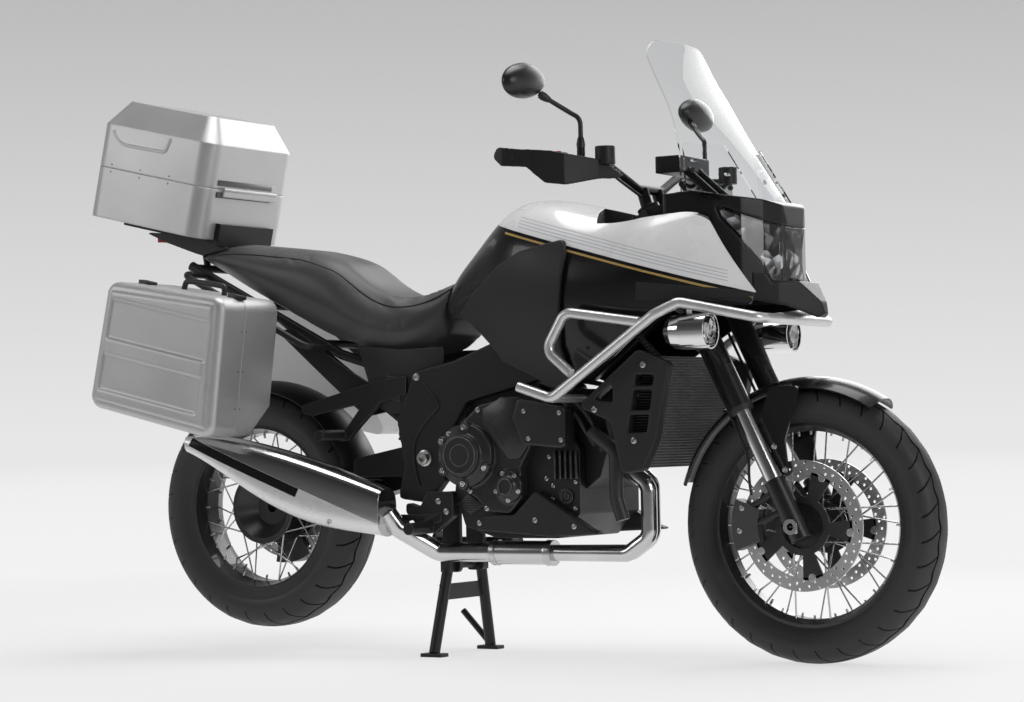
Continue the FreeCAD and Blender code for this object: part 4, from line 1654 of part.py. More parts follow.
def side_case_form(inset, inner_y, outer_y, edge_r):
    """A side case between two distances from the middle plane, its walls moved inwards and its outer edge rolled."""
    corners = side_outline(SIDE_CASE_X - SIDE_CASE_LENGTH / 2 + inset, SIDE_CASE_Z - SIDE_CASE_HEIGHT / 2 + inset,
                           SIDE_CASE_LENGTH - inset * 2, SIDE_CASE_HEIGHT - inset * 2, SIDE_CASE_SHARES)
    form = side_plate(corners, SIDE_CASE_ROUND - inset, -outer_y, -inner_y)
    if edge_r:
        rim = [edge for edge in form.Edges if edge.BoundBox.YMax < EDGE_ROUND - outer_y]
        form = form.makeFillet(edge_r, rim)
    return tilted(form, SIDE_CASE_X, SIDE_CASE_Z)


def silencer_room(grow):
    """The lower inner corner of a side case, cut away over the silencer."""
    reach = SIDE_CASE_LENGTH
    slab = block(-reach, -reach, -reach, reach, reach, grow)
    slab.rotate(vec(0, 0, 0), ALONG, math.degrees(math.atan2(SIDE_CASE_CUT_H, SIDE_CASE_CUT_W)))
    slab.translate(vec(SIDE_CASE_X, -SIDE_CASE_INNER_Y, SIDE_CASE_CUT_Z))
    return slab


def side_case_hinge():
    """The hinge barrel under the seam and its leaf on the inner half."""
    reach = SIDE_CASE_LENGTH * SIDE_HINGE_SHARE / 2
    y = -SIDE_CASE_SEAM_Y - SEAM_GAP / 2
    z = SIDE_CASE_Z - SIDE_CASE_HEIGHT / 2 - HINGE_R - HINGE_GAP
    barrel = round_bar(vec(SIDE_CASE_X - reach, y, z), vec(SIDE_CASE_X + reach, y, z), HINGE_R)
    leaf = block(SIDE_CASE_X - reach, -SIDE_CASE_SEAM_Y, z - HINGE_R / 2, SIDE_CASE_X + reach,
                 HINGE_LEAF_W - SIDE_CASE_SEAM_Y, SIDE_CASE_Z - SIDE_CASE_HEIGHT / 2 + CASE_WALL)
    return tilted(barrel.fuse(leaf), SIDE_CASE_X, SIDE_CASE_Z)


@functools.lru_cache(maxsize=None)
def right_case_base():
    """The inner half, hollow and open at the seam."""
    shell = side_case_form(0, SIDE_CASE_INNER_Y, SIDE_CASE_SEAM_Y, 0).cut(silencer_room(0))
    room = side_case_form(CASE_WALL, SIDE_CASE_INNER_Y + CASE_WALL, SIDE_CASE_SEAM_Y + OVERRUN, 0)
    return single_solid(shell.fuse(side_case_hinge()).cut(room.cut(silencer_room(CASE_WALL))))


@functools.lru_cache(maxsize=None)
def right_case_lid():
    """The outer half, hollow and open at the seam."""
    seam = SIDE_CASE_SEAM_Y + SEAM_GAP
    shell = side_case_form(0, seam, SIDE_CASE_OUTER_Y, SIDE_CASE_EDGE_R)
    room = side_case_form(CASE_WALL, seam - OVERRUN, SIDE_CASE_OUTER_Y - CASE_WALL, SIDE_CASE_EDGE_R - CASE_WALL)
    return single_solid(shell.cut(room))


def top_case_ring(inset, z):
    """One level outline of the top case, moved inwards by inset."""
    half_l = TOP_CASE_LENGTH / 2 - inset
    half_w = TOP_CASE_HALF_W - inset
    corners = [vec(TOP_CASE_X - half_l, -half_w, z), vec(TOP_CASE_X + half_l, -half_w, z),
               vec(TOP_CASE_X + half_l, half_w, z), vec(TOP_CASE_X - half_l, half_w, z)]
    return rounded_wire(corners, TOP_CASE_ROUND - inset * TOP_CASE_CORNER_SHARE)


def top_case_prism(inset, low, high):
    return Part.Face(top_case_ring(inset, low)).extrude(UP * (high - low))


@functools.lru_cache(maxsize=None)
def top_case_base():
    """The lower half, open at the seam, with the hinge barrel across its front."""
    seam = TOP_CASE_LOW_Z + TOP_CASE_BASE_H
    shell = top_case_prism(0, TOP_CASE_LOW_Z, seam)
    reach = TOP_CASE_HALF_W * HINGE_SHARE
    wall_x = TOP_CASE_X + TOP_CASE_LENGTH / 2
    axis_x = wall_x + HINGE_R + HINGE_GAP
    axis_z = seam + SEAM_GAP / 2
    barrel = round_bar(vec(axis_x, -reach, axis_z), vec(axis_x, reach, axis_z), HINGE_R)
    leaf = block(wall_x - CASE_WALL / 2, -reach, axis_z - HINGE_LEAF_W, axis_x + HINGE_R / 2, reach, seam)
    room = top_case_prism(CASE_WALL, TOP_CASE_LOW_Z + CASE_WALL, seam + OVERRUN)
    return single_solid(tilted(shell.multiFuse([barrel, leaf]).cut(room), TOP_CASE_X, TOP_CASE_LOW_Z))


def top_lid_form(inset, low):
    """Upright walls with a sloped crown above them."""
    shoulder = TOP_CASE_LOW_Z + TOP_CASE_BASE_H + TOP_CASE_LID_WALL_H
    crown = TOP_CASE_LOW_Z + TOP_CASE_BASE_H + TOP_CASE_LID_H - inset
    slope = Part.makeLoft([top_case_ring(inset, shoulder), top_case_ring(inset + TOP_CASE_SLOPE, crown)], True, True)
    return top_case_prism(inset, low, shoulder).fuse(slope)


@functools.lru_cache(maxsize=None)
def top_case_lid():
    """The upper half, open at the seam, with the hinge's other leaf."""
    seam = TOP_CASE_LOW_Z + TOP_CASE_BASE_H + SEAM_GAP
    reach = TOP_CASE_HALF_W * HINGE_SHARE
    wall_x = TOP_CASE_X + TOP_CASE_LENGTH / 2
    leaf = block(wall_x - CASE_WALL / 2, -reach, seam, wall_x + HINGE_GAP / 2, reach, seam + HINGE_LEAF_W)
    shell = top_lid_form(0, seam).fuse(leaf)
    return single_solid(tilted(shell.cut(top_lid_form(CASE_WALL, seam - OVERRUN)), TOP_CASE_X, TOP_CASE_LOW_Z))


@functools.lru_cache(maxsize=None)
def top_case_plate():
    """The black carrier plate on the subframe's tail, and its two arms."""
    top = TOP_CASE_LOW_Z - SEAT_GAP
    rear_x = TOP_CASE_X - TOP_PLATE_LENGTH / 2
    wall_x = TOP_CASE_X + TOP_CASE_LENGTH / 2 + SEAT_GAP
    corners = [vec(rear_x, -TOP_PLATE_HALF_W, 0), vec(wall_x + TOP_LOCK_T, -TOP_PLATE_HALF_W, 0),
               vec(wall_x + TOP_LOCK_T, TOP_PLATE_HALF_W, 0), vec(rear_x, TOP_PLATE_HALF_W, 0)]
    plate = plan_prism(corners, CORNER_ROUND, top - TOP_PLATE_T, top)
    lock = block(wall_x, -TOP_LOCK_HALF_W, top - TOP_PLATE_T, wall_x + TOP_LOCK_T, TOP_LOCK_HALF_W, top + TOP_LOCK_H)
    plate = tilted(plate.fuse(lock), TOP_CASE_X, TOP_CASE_LOW_Z)
    tie = rail_cross_places()[-1]
    posts = []
    for side in (-1, 1):
        posts.append(round_bar(vec(tie.x, side * POST_Y, tie.z), vec(tie.x - POST_R * 2, side * POST_Y, TOP_CASE_LOW_Z - TOP_PLATE_T),
                               POST_R))
    return single_solid(plate.multiFuse(posts).cut(rear_subframe()).cut(top_case_base()).cut(seat()))


def tail_unit():
    """The tail moulding under the carrier, with the lamp's place at its end."""
    outline = side_outline(TAIL_REAR_X, TAIL_LOW_Z, TAIL_LENGTH, TAIL_HEIGHT, TAIL_SHARES)
    body = side_plate(outline, CORNER_ROUND, -TAIL_HALF_W, TAIL_HALF_W)
    for neighbour in (seat(), top_case_plate(), rear_subframe()):
        body = body.cut(neighbour)
    return single_solid(body)


def luggage_rack():
    """Bent tubes that hang the side cases from the subframe."""
    out_y = SIDE_CASE_INNER_Y - SEAT_GAP - RACK_R
    front_z = rail_height(RACK_FRONT_X)
    rear_z = rail_height(RACK_REAR_X)
    route = [vec(RACK_FRONT_X, -RAIL_Y, front_z), vec(RACK_FRONT_X, -out_y, front_z), vec(RACK_REAR_X, -out_y, rear_z),
             vec(RACK_REAR_X, -RAIL_Y, rear_z)]
    bar = bent_tube(route, RACK_BEND, RACK_R).cut(rear_subframe()).cut(pillion_brackets())
    return both_sides(single_solid(bar))


NODES = {
    "front_tyre": front_tyre,
    "front_rim": front_rim,
    "front_hub": front_hub,
    "front_brake_discs": front_brake_discs,
    "rear_tyre": rear_tyre,
    "rear_rim": rear_rim,
    "rear_hub": rear_hub,
    "rear_brake_disc": rear_brake_disc,
    "fork_outer_tubes": fork_outer_tubes,
    "fork_legs": fork_legs,
    "front_axle": front_axle,
    "triple_clamps": triple_clamps,
    "handlebar": handlebar,
    "handlebar_controls": handlebar_controls,
    "handguards": handguards,
    "mirrors": mirrors,
    "front_mudguard": front_mudguard,
    "front_calipers": front_calipers,
    "main_frame": main_frame,
    "cowl_stay": cowl_stay,
    "stand_brackets": stand_brackets,
    "engine_block": engine_block,
    "cylinder_heads": cylinder_heads,
    "engine_covers": engine_covers,
    "exhaust_headers": exhaust_headers,
    "silencer": silencer,
    "radiator": radiator,
    "radiator_shrouds": radiator_shrouds,
    "coolant_pipe": coolant_pipe,
    "belly_pan": belly_pan,
    "swingarm": swingarm,
    "rear_caliper": rear_caliper,
    "rear_hugger": rear_hugger,
    "rear_subframe": rear_subframe,
    "seat": seat,
    "fuel_tank": fuel_tank,
    "upper_cover": upper_cover,
    "side_fairings": side_fairings,
    "knee_panels": knee_panels,
    "headlamp": headlamp,
    "front_cowl": front_cowl,
    "beak": beak,
    "windscreen": windscreen,
    "wind_deflectors": wind_deflectors,
    "instruments": instruments,
    "crash_bars": crash_bars,
    "fog_lamps": fog_lamps,
    "centre_stand": centre_stand,
    "side_stand": side_stand,
    "footpegs": footpegs,
    "pillion_brackets": pillion_brackets,
    "right_case_base": right_case_base,
    "right_case_lid": right_case_lid,
    "left_case_base": lambda: mirrored(right_case_base()),
    "left_case_lid": lambda: mirrored(right_case_lid()),
    "top_case_base": top_case_base,
    "top_case_lid": top_case_lid,
    "top_case_plate": top_case_plate,
    "tail_unit": tail_unit,
    "luggage_rack": luggage_rack,
}

os.makedirs("parts", exist_ok=True)
for name, make in NODES.items():
    make().exportStep("parts/" + name + ".step")
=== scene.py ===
"""An adventure motorcycle on its centre stand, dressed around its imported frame."""
import math

import bpy
from mathutils import Matrix, Vector


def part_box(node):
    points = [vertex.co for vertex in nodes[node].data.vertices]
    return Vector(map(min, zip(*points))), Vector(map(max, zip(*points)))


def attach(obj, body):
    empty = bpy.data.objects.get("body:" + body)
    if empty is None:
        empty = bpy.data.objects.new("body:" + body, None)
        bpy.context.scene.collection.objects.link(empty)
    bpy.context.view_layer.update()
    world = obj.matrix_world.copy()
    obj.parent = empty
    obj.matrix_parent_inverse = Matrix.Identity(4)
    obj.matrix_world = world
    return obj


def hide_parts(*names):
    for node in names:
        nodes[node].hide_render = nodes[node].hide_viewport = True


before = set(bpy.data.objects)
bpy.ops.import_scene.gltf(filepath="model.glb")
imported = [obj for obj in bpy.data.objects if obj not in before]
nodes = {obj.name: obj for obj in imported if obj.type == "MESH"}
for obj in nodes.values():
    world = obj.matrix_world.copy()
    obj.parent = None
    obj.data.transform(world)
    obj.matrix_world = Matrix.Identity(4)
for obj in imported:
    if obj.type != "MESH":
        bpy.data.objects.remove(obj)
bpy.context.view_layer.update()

bpy.context.scene.view_settings.view_transform = "Standard"

# Camera
# A long lens stands to the right of the front wheel at hip height and looks a touch upwards, as in a studio
# picture of a whole motorcycle.
CAMERA_PLACE = (3.567, -5.8241, 0.5565)
CAMERA_YAW = math.radians(31.32)
CAMERA_RISE = math.radians(1.77)
CAMERA_ROLL = math.radians(-1.04)
LENS_MM = 94.54
SENSOR_MM = 36

level = Vector((math.cos(CAMERA_YAW), math.sin(CAMERA_YAW), 0))
ahead = Vector((-level.y, level.x, 0)) * math.cos(CAMERA_RISE) + Vector((0, 0, math.sin(CAMERA_RISE)))
upright = level.cross(ahead)
right = level * math.cos(CAMERA_ROLL) + upright * math.sin(CAMERA_ROLL)
turn = Matrix((right, right.cross(ahead), -ahead)).transposed().to_euler()
bpy.ops.object.camera_add(location=CAMERA_PLACE, rotation=turn)
camera = bpy.context.object
camera.data.lens = LENS_MM
camera.data.sensor_width = SENSOR_MM
bpy.context.scene.camera = camera


# Studio
# A white floor runs up into a grey backdrop. Large soft lights hang above, to both sides and behind, and the
# world adds a low even fill. The studio is darker on the camera's side, which only reflections show.
FLOOR_NEAR = 0.90
HORIZON_GREY = 0.80
BACKDROP_GREY = 0.505
BACKDROP_TOP = 0.16
CEILING_GREY = 0.22
CEILING_FROM = 0.6
FLOOR_HALF = 60
FLOOR_GLOW_SHARES = (0.70, 1.0)
FLOOR_BLEND = (1.2, 5.0)
LIGHTS = [
    ("overhead", (0.0, 0.2, 4.2), (0, 0, 0.6), 2.6, 100),
    ("left_bank", (-3.8, -3.4, 2.4), (-0.3, 0, 0.8), 1.8, 32),
    ("right_bank", (4.4, -1.6, 2.0), (0.4, 0, 0.6), 1.8, 44),
    ("back_bank", (0.2, 4.0, 2.9), (0, 0, 0.8), 3.0, 105),
]
WORLD_FILL = 0.27
DARK_SIDE = ((-0.75, 0.45), (0.16, 1.0))
DARK_FLOOR = ((-2.2, -0.7), (0.25, 1.0))


def node_tree(owner):
    """The owner's node tree, emptied."""
    owner.use_nodes = True
    owner.node_tree.nodes.clear()
    return owner.node_tree


def add_node(tree, kind, **values):
    """A node of that kind, with its named inputs set or linked and its settings made."""
    node = tree.nodes.new(kind)
    for key, value in values.items():
        if hasattr(node, key):
            setattr(node, key, value)
            continue
        plug = node.inputs[key.replace("_", " ")]
        if isinstance(value, bpy.types.NodeSocket):
            tree.links.new(value, plug)
        else:
            plug.default_value = value
    return node


def sum_node(tree, operation, first, second=None):
    """A Math node on two sockets or numbers."""
    node = tree.nodes.new("ShaderNodeMath")
    node.operation = operation
    for plug, value in zip(node.inputs, (first, second)):
        if isinstance(value, bpy.types.NodeSocket):
            tree.links.new(value, plug)
        elif value is not None:
            plug.default_value = value
    return node.outputs[0]


def span_node(tree, value, low, high, to_low=0.0, to_high=1.0):
    """A Map Range node, whose ends may be sockets or numbers."""
    node = tree.nodes.new("ShaderNodeMapRange")
    for plug, end in zip(node.inputs, (value, low, high, to_low, to_high)):
        if isinstance(end, bpy.types.NodeSocket):
            tree.links.new(end, plug)
        else:
            plug.default_value = end
    return node.outputs[0]


def studio_light(name, place, aim, size, power):
    """A square soft light that the camera and the screen don't show."""
    way = Vector(aim) - Vector(place)
    bpy.ops.object.light_add(type="AREA", location=place, rotation=way.to_track_quat("-Z", "Y").to_euler())
    lamp = bpy.context.object
    lamp.name = name
    lamp.data.shape = "SQUARE"
    lamp.data.size = size
    lamp.data.energy = power
    lamp.visible_camera = False
    lamp.visible_transmission = False


for entry in LIGHTS:
    studio_light(*entry)

world = bpy.data.worlds.new("studio_fill")
bpy.context.scene.world = world
tree = node_tree(world)
direction = add_node(tree, "ShaderNodeTexCoord").outputs["Generated"]
height = add_node(tree, "ShaderNodeSeparateXYZ", Vector=direction).outputs["Z"]
ramp = add_node(tree, "ShaderNodeValToRGB", Fac=height)
low_stop, high_stop = ramp.color_ramp.elements
low_stop.color = (HORIZON_GREY,) * 3 + (1,)
high_stop.position = BACKDROP_TOP
high_stop.color = (BACKDROP_GREY,) * 3 + (1,)
ramp.color_ramp.elements.new(CEILING_FROM).color = (CEILING_GREY,) * 3 + (1,)


def shown_rays(tree):
    """1 for what the camera sees itself, in metal or through glass."""
    rays = add_node(tree, "ShaderNodeLightPath").outputs
    seen = rays["Is Camera Ray"]
    for way in ("Is Transmission Ray", "Is Glossy Ray"):
        seen = sum_node(tree, "MAXIMUM", seen, rays[way])
    return seen


def mirrored_strength(tree, across, spans):
    """Full strength straight to the camera, and less in reflections of the studio's darker side."""
    (low, high), (darkest, full) = spans
    side = span_node(tree, across, low, high, darkest, full)
    glossy = add_node(tree, "ShaderNodeLightPath").outputs["Is Glossy Ray"]
    return span_node(tree, glossy, 0.0, 1.0, 1.0, side)


seen = shown_rays(tree)
fill = add_node(tree, "ShaderNodeBackground", Color=(1, 1, 1, 1), Strength=WORLD_FILL).outputs[0]
across = add_node(tree, "ShaderNodeSeparateXYZ", Vector=direction).outputs["Y"]
shown = add_node(tree, "ShaderNodeBackground", Color=ramp.outputs["Color"],
                 Strength=mirrored_strength(tree, across, DARK_SIDE)).outputs[0]
mix = add_node(tree, "ShaderNodeMixShader", Fac=seen)
tree.links.new(fill, mix.inputs[1])
tree.links.new(shown, mix.inputs[2])
add_node(tree, "ShaderNodeOutputWorld", Surface=mix.outputs[0])

bpy.ops.mesh.primitive_plane_add(size=FLOOR_HALF * 2)
floor = bpy.context.object
floor.name = "studio_floor"
material = bpy.data.materials.new("studio_floor")
tree = node_tree(material)
place = add_node(tree, "ShaderNodeTexCoord").outputs["Object"]
reach = add_node(tree, "ShaderNodeVectorMath", operation="LENGTH")
tree.links.new(place, reach.inputs[0])
ramp = add_node(tree, "ShaderNodeValToRGB", Fac=sum_node(tree, "DIVIDE", reach.outputs["Value"], float(FLOOR_HALF)))
low_stop, high_stop = ramp.color_ramp.elements
low_stop.color = (FLOOR_NEAR,) * 3 + (1,)
high_stop.color = (HORIZON_GREY,) * 3 + (1,)
matt = add_node(tree, "ShaderNodeBsdfDiffuse", Color=ramp.outputs["Color"]).outputs[0]
across = add_node(tree, "ShaderNodeSeparateXYZ", Vector=place).outputs["Y"]
glow = add_node(tree, "ShaderNodeEmission", Color=ramp.outputs["Color"],
                Strength=mirrored_strength(tree, across, DARK_FLOOR)).outputs[0]
spread = span_node(tree, reach.outputs["Value"], *FLOOR_BLEND, *FLOOR_GLOW_SHARES)
mix = add_node(tree, "ShaderNodeMixShader", Fac=sum_node(tree, "MULTIPLY", shown_rays(tree), spread))
tree.links.new(matt, mix.inputs[1])
tree.links.new(glow, mix.inputs[2])
add_node(tree, "ShaderNodeOutputMaterial", Surface=mix.outputs[0])
floor.data.materials.append(material)


# Tyres
# Tubeless tyres for road and gravel, black rubber with long slanting blocks round a zigzag centre rib. Each is
# spun from its section, and its grooves are pressed in from narrow strips that are bevelled out of the tread.
FRONT_AXLE = (0.855, 0.0, 0.329)
REAR_AXLE = (-0.740, 0.0, 0.374)
TYRES = {
    "front": {"centre": FRONT_AXLE, "crown": 0.3285, "half": 0.0565, "bead": 0.2425, "rim": 0.038, "blocks": 32},
    "rear": {"centre": REAR_AXLE, "crown": 0.3195, "half": 0.0755, "bead": 0.2170, "rim": 0.059, "blocks": 28},
}
# Half section as shares: sideways, and outwards from the bead to the crown
TYRE_SECTION = [(0.0, 1.0), (0.20, 0.994), (0.40, 0.972), (0.60, 0.925), (0.78, 0.85), (0.90, 0.755), (0.975, 0.62),
                (1.0, 0.48), (0.985, 0.36), (0.92, 0.20), (0.80, 0.08)]
TREAD_REACH = 0.99
RIB_PLACE = 0.40
RIB_ZIGZAG = 0.0045
GROOVE_HALF_W = 0.0028
STEPS_A_BLOCK = 4
GROOVE_DEPTH = 0.0055
TREAD_SWEEP = math.radians(8)
TREAD_STARTS = 0.58
RIB_BAND = 0.09
WALL_RINGS = 1400.0
WALL_BAND = (0.026, 0.030)


def grey(value, blue=0.0):
    """A neutral colour, with a touch more blue where a finish is cold."""
    return (value, value, value + blue)


RUBBER_BLACK = grey(0.026, 0.001)
# Edge colour of the rubber: part scuffed wear, part painted highlight on the block edges.
RUBBER_WORN_AND_HIGHLIGHTED = grey(0.055, 0.001)


def clear_choice():
    """Leaves edit mode and deselects everything."""
    if bpy.context.object and bpy.context.object.mode == "EDIT":
        bpy.ops.object.mode_set(mode="OBJECT")
    bpy.ops.object.select_all(action="DESELECT")


def choose(piece, kind, wanted):
    """In edit mode, selects only the piece's own polygons, edges or vertices that wanted() names."""
    bpy.ops.object.mode_set(mode="OBJECT")
    mesh = piece.data
    for parts in (mesh.vertices, mesh.edges, mesh.polygons):
        parts.foreach_set("select", [False] * len(parts))
    for part in getattr(mesh, kind):
        part.select = bool(wanted(part))
    bpy.ops.object.mode_set(mode="EDIT")
    bpy.ops.mesh.select_mode(type={"vertices": "VERT", "edges": "EDGE", "polygons": "FACE"}[kind])


def spun_ring(name, centre, section, steps):
    """A closed section of sideways and outward places, spun once round an axle."""
    clear_choice()
    bpy.ops.mesh.primitive_circle_add(vertices=len(section))
    ring = bpy.context.object
    ring.name = name
    for corner, (across, outward) in zip(ring.data.vertices, section):
        corner.co = (centre[0], centre[1] + across, centre[2] + outward)
    bpy.ops.object.mode_set(mode="EDIT")
    bpy.ops.mesh.select_all(action="SELECT")
    bpy.ops.mesh.spin(steps=steps, angle=math.tau, center=centre, axis=(0, 1, 0))
    bpy.ops.mesh.select_all(action="SELECT")
    bpy.ops.mesh.remove_doubles(threshold=0.00002)
    bpy.ops.mesh.normals_make_consistent(inside=False)
    bpy.ops.object.mode_set(mode="OBJECT")
    return ring


def smooth_piece(piece, degrees=32):
    """Shades a piece smooth, apart from edges sharper than that."""
    clear_choice()
    piece.select_set(True)
    bpy.context.view_layer.objects.active = piece
    bpy.ops.object.shade_smooth_by_angle(angle=math.radians(degrees))


def group_plug(group, name, kind, way="INPUT", value=None):
    """A socket on a node group, with its first value."""
    plug = group.interface.new_socket(name=name, in_out=way, socket_type=kind)
    if value is not None:
        plug.default_value = value
    return plug


def blend_node(tree, share, first, second):
    """A colour Mix node on two sockets or colours."""
    node = tree.nodes.new("ShaderNodeMix")
    node.data_type = "RGBA"
    for plug, value in ((node.inputs["Factor"], share), (node.inputs[6], first), (node.inputs[7], second)):
        if isinstance(value, bpy.types.NodeSocket):
            tree.links.new(value, plug)
        elif isinstance(value, tuple):
            plug.default_value = (*value, 1)
        else:
            plug.default_value = value
    return node.outputs[2]


def object_place(tree):
    """A point's place in the object's own axes."""
    return add_node(tree, "ShaderNodeTexCoord").outputs["Object"]


def split(tree, vector):
    """The X, Y and Z of a vector socket."""
    return add_node(tree, "ShaderNodeSeparateXYZ", Vector=vector).outputs


def feed(tree, plug, value):
    """Links a value to one of the finish's own shader sockets."""
    tree.links.new(value, tree.nodes["shader"].inputs[plug])


def raise_up(tree, height, strength, distance):
    """Adds relief over the finish's own grain."""
    bump = add_node(tree, "ShaderNodeBump", Strength=strength, Distance=distance, Height=height,
                    Normal=tree.nodes["surface"].outputs["Normal"])
    feed(tree, "Normal", bump.outputs[0])


def axle_reach(tree, centre):
    """How far a point lies from an axle along Y."""
    centred = add_node(tree, "ShaderNodeMapping", Vector=object_place(tree))
    centred.inputs["Location"].default_value = [-value for value in centre]
    parts = split(tree, centred.outputs[0])
    squares = [sum_node(tree, "POWER", parts[name], 2.0) for name in "XZ"]
    return sum_node(tree, "SQRT", sum_node(tree, "ADD", *squares))


def make_surface_group():
    """Slow drift of tone, fine grain and rounded edges painted lighter, part rubbed wear and part painted highlight,
    from Object coordinates.
    """
    group = bpy.data.node_groups.new("worn_and_highlighted_surface", "ShaderNodeTree")
    group_plug(group, "Colour", "NodeSocketColor", value=(0.5, 0.5, 0.5, 1))
    group_plug(group, "Edge Colour", "NodeSocketColor", value=(0.7, 0.7, 0.7, 1))
    for name, value in (("Drift", 0.08), ("Grain Scale", 900.0), ("Grain Depth", 0.2), ("Smoothest", 0.3),
                        ("Roughest", 0.5), ("Edge Radius", 0.0012), ("Edge Wear", 0.3)):
        group_plug(group, name, "NodeSocketFloat", value=value)
    group_plug(group, "Colour", "NodeSocketColor", "OUTPUT")
    group_plug(group, "Roughness", "NodeSocketFloat", "OUTPUT")
    group_plug(group, "Normal", "NodeSocketVector", "OUTPUT")
    given = group.nodes.new("NodeGroupInput").outputs
    place = object_place(group)
    slow = add_node(group, "ShaderNodeTexNoise", Vector=place, Scale=6.0, Detail=3.0).outputs["Fac"]
    fine = add_node(group, "ShaderNodeTexNoise", Vector=place, Scale=given["Grain Scale"], Detail=2.0).outputs["Fac"]
    rounded = add_node(group, "ShaderNodeBevel", samples=4, Radius=given["Edge Radius"]).outputs[0]
    flat = add_node(group, "ShaderNodeNewGeometry").outputs["Normal"]
    match = add_node(group, "ShaderNodeVectorMath", operation="DOT_PRODUCT")
    group.links.new(rounded, match.inputs[0])
    group.links.new(flat, match.inputs[1])
    # Rounded edges: their lighter colour is part rubbed wear and part a painted highlight.
    edge = span_node(group, match.outputs["Value"], 0.995, 0.80)
    lit_and_worn_edge = sum_node(group, "MULTIPLY", edge, given["Edge Wear"])
    darker = sum_node(group, "SUBTRACT", 1.0, given["Drift"])
    lighter = sum_node(group, "ADD", 1.0, given["Drift"])
    shade = add_node(group, "ShaderNodeVectorMath", operation="SCALE")
    group.links.new(given["Colour"], shade.inputs[0])
    group.links.new(span_node(group, slow, 0.3, 0.7, darker, lighter), shade.inputs["Scale"])
    colour = blend_node(group, lit_and_worn_edge, shade.outputs[0], given["Edge Colour"])
    rough = span_node(group, slow, 0.3, 0.7, given["Smoothest"], given["Roughest"])
    bump = add_node(group, "ShaderNodeBump", Strength=given["Grain Depth"], Distance=0.0004, Height=fine,
                    Normal=rounded)
    out = group.nodes.new("NodeGroupOutput").inputs
    group.links.new(colour, out["Colour"])
    group.links.new(rough, out["Roughness"])
    group.links.new(bump.outputs[0], out["Normal"])
    return group


worn_and_highlighted_surface = make_surface_group()


def finish_material(name, colour, edge, metal=0.0, coat=0.0, sheen=0.0, specular=0.5, **sizes):
    """A finish over the surface group, with its shader's own constants. Its edge colour is part rubbed wear and part
    painted highlight.
    """
    material = bpy.data.materials.new(name)
    tree = node_tree(material)
    surface = tree.nodes.new("ShaderNodeGroup")
    surface.name = "surface"
    surface.node_tree = worn_and_highlighted_surface
    surface.inputs["Colour"].default_value = (*colour, 1)
    surface.inputs["Edge Colour"].default_value = (*edge, 1)
    for key, value in sizes.items():
        surface.inputs[key.replace("_", " ").title()].default_value = value
    shader = add_node(tree, "ShaderNodeBsdfPrincipled", Base_Color=surface.outputs["Colour"],
                      Roughness=surface.outputs["Roughness"], Normal=surface.outputs["Normal"],
                      Metallic=metal, Coat_Weight=coat, Coat_Roughness=0.04, Sheen_Weight=sheen,
                      Specular_IOR_Level=specular)
    shader.name = "shader"
    add_node(tree, "ShaderNodeOutputMaterial", Surface=shader.outputs[0])
    return material


def dress(material, *names):
    """Gives that material to every slot of the CAD nodes named."""
    for name in names:
        for place in nodes[name].material_slots:
            place.material = material


def take_on(piece, material, body, stands_for=()):
    """Finishes a new piece: its material, the body that carries it and the nodes it stands for."""
    piece.data.materials.clear()
    piece.data.materials.append(material)
    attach(piece, body)
    if stands_for:
        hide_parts(*stands_for)


def cut_tyre(name, centre, crown, half, bead, rim, blocks):
    """A tyre with its tread cut."""
    side = [(half * across, bead + (crown - bead) * out) for across, out in TYRE_SECTION] + [(rim, bead)]
    section = side + [(-across, out) for across, out in reversed(side[1:])]
    steps = blocks * STEPS_A_BLOCK
    tyre = spun_ring(name, centre, section, steps)

    def polar(point):
        """Sideways share and turn about the axle, in steps."""
        turn = math.atan2(point[0] - centre[0], point[2] - centre[2]) / math.tau * steps
        return point[1] / half, turn

    for corner in tyre.data.vertices:
        across, turn = polar(corner.co)
        if abs(abs(across) - RIB_PLACE) < 0.01:
            swing = abs(round(turn) % STEPS_A_BLOCK / STEPS_A_BLOCK - 0.5) * 4 - 1
            corner.co.y += RIB_ZIGZAG * swing

    def groove(edge):
        ends = [polar(tyre.data.vertices[index].co) for index in edge.vertices]
        outwards = [math.dist(tyre.data.vertices[index].co, centre) for index in edge.vertices]
        sideways = [abs(across) for across, _ in ends]
        if min(outwards) < bead + (crown - bead) * TREAD_STARTS or max(sideways) > TREAD_REACH:
            return False
        (_, first_turn), (_, last_turn) = ends
        if abs(first_turn - last_turn) < 0.1:
            return round(first_turn) % STEPS_A_BLOCK == 0 and min(sideways) > RIB_PLACE - RIB_BAND
        return all(abs(across - RIB_PLACE) < RIB_BAND for across in sideways)

    choose(tyre, "edges", groove)
    bpy.ops.mesh.bevel(offset=GROOVE_HALF_W, offset_type="OFFSET", segments=1, affect="EDGES", clamp_overlap=True)
    bpy.ops.mesh.extrude_region_shrink_fatten(TRANSFORM_OT_shrink_fatten={"value": -GROOVE_DEPTH})
    bpy.ops.object.mode_set(mode="OBJECT")
    for corner in tyre.data.vertices:
        across = min(abs(corner.co.y - centre[1]) / half, 1)
        turn = Matrix.Rotation(TREAD_SWEEP * across ** 1.5, 3, "Y")
        corner.co = Vector(centre) + turn @ (corner.co - Vector(centre))
    smooth_piece(tyre)
    return tyre


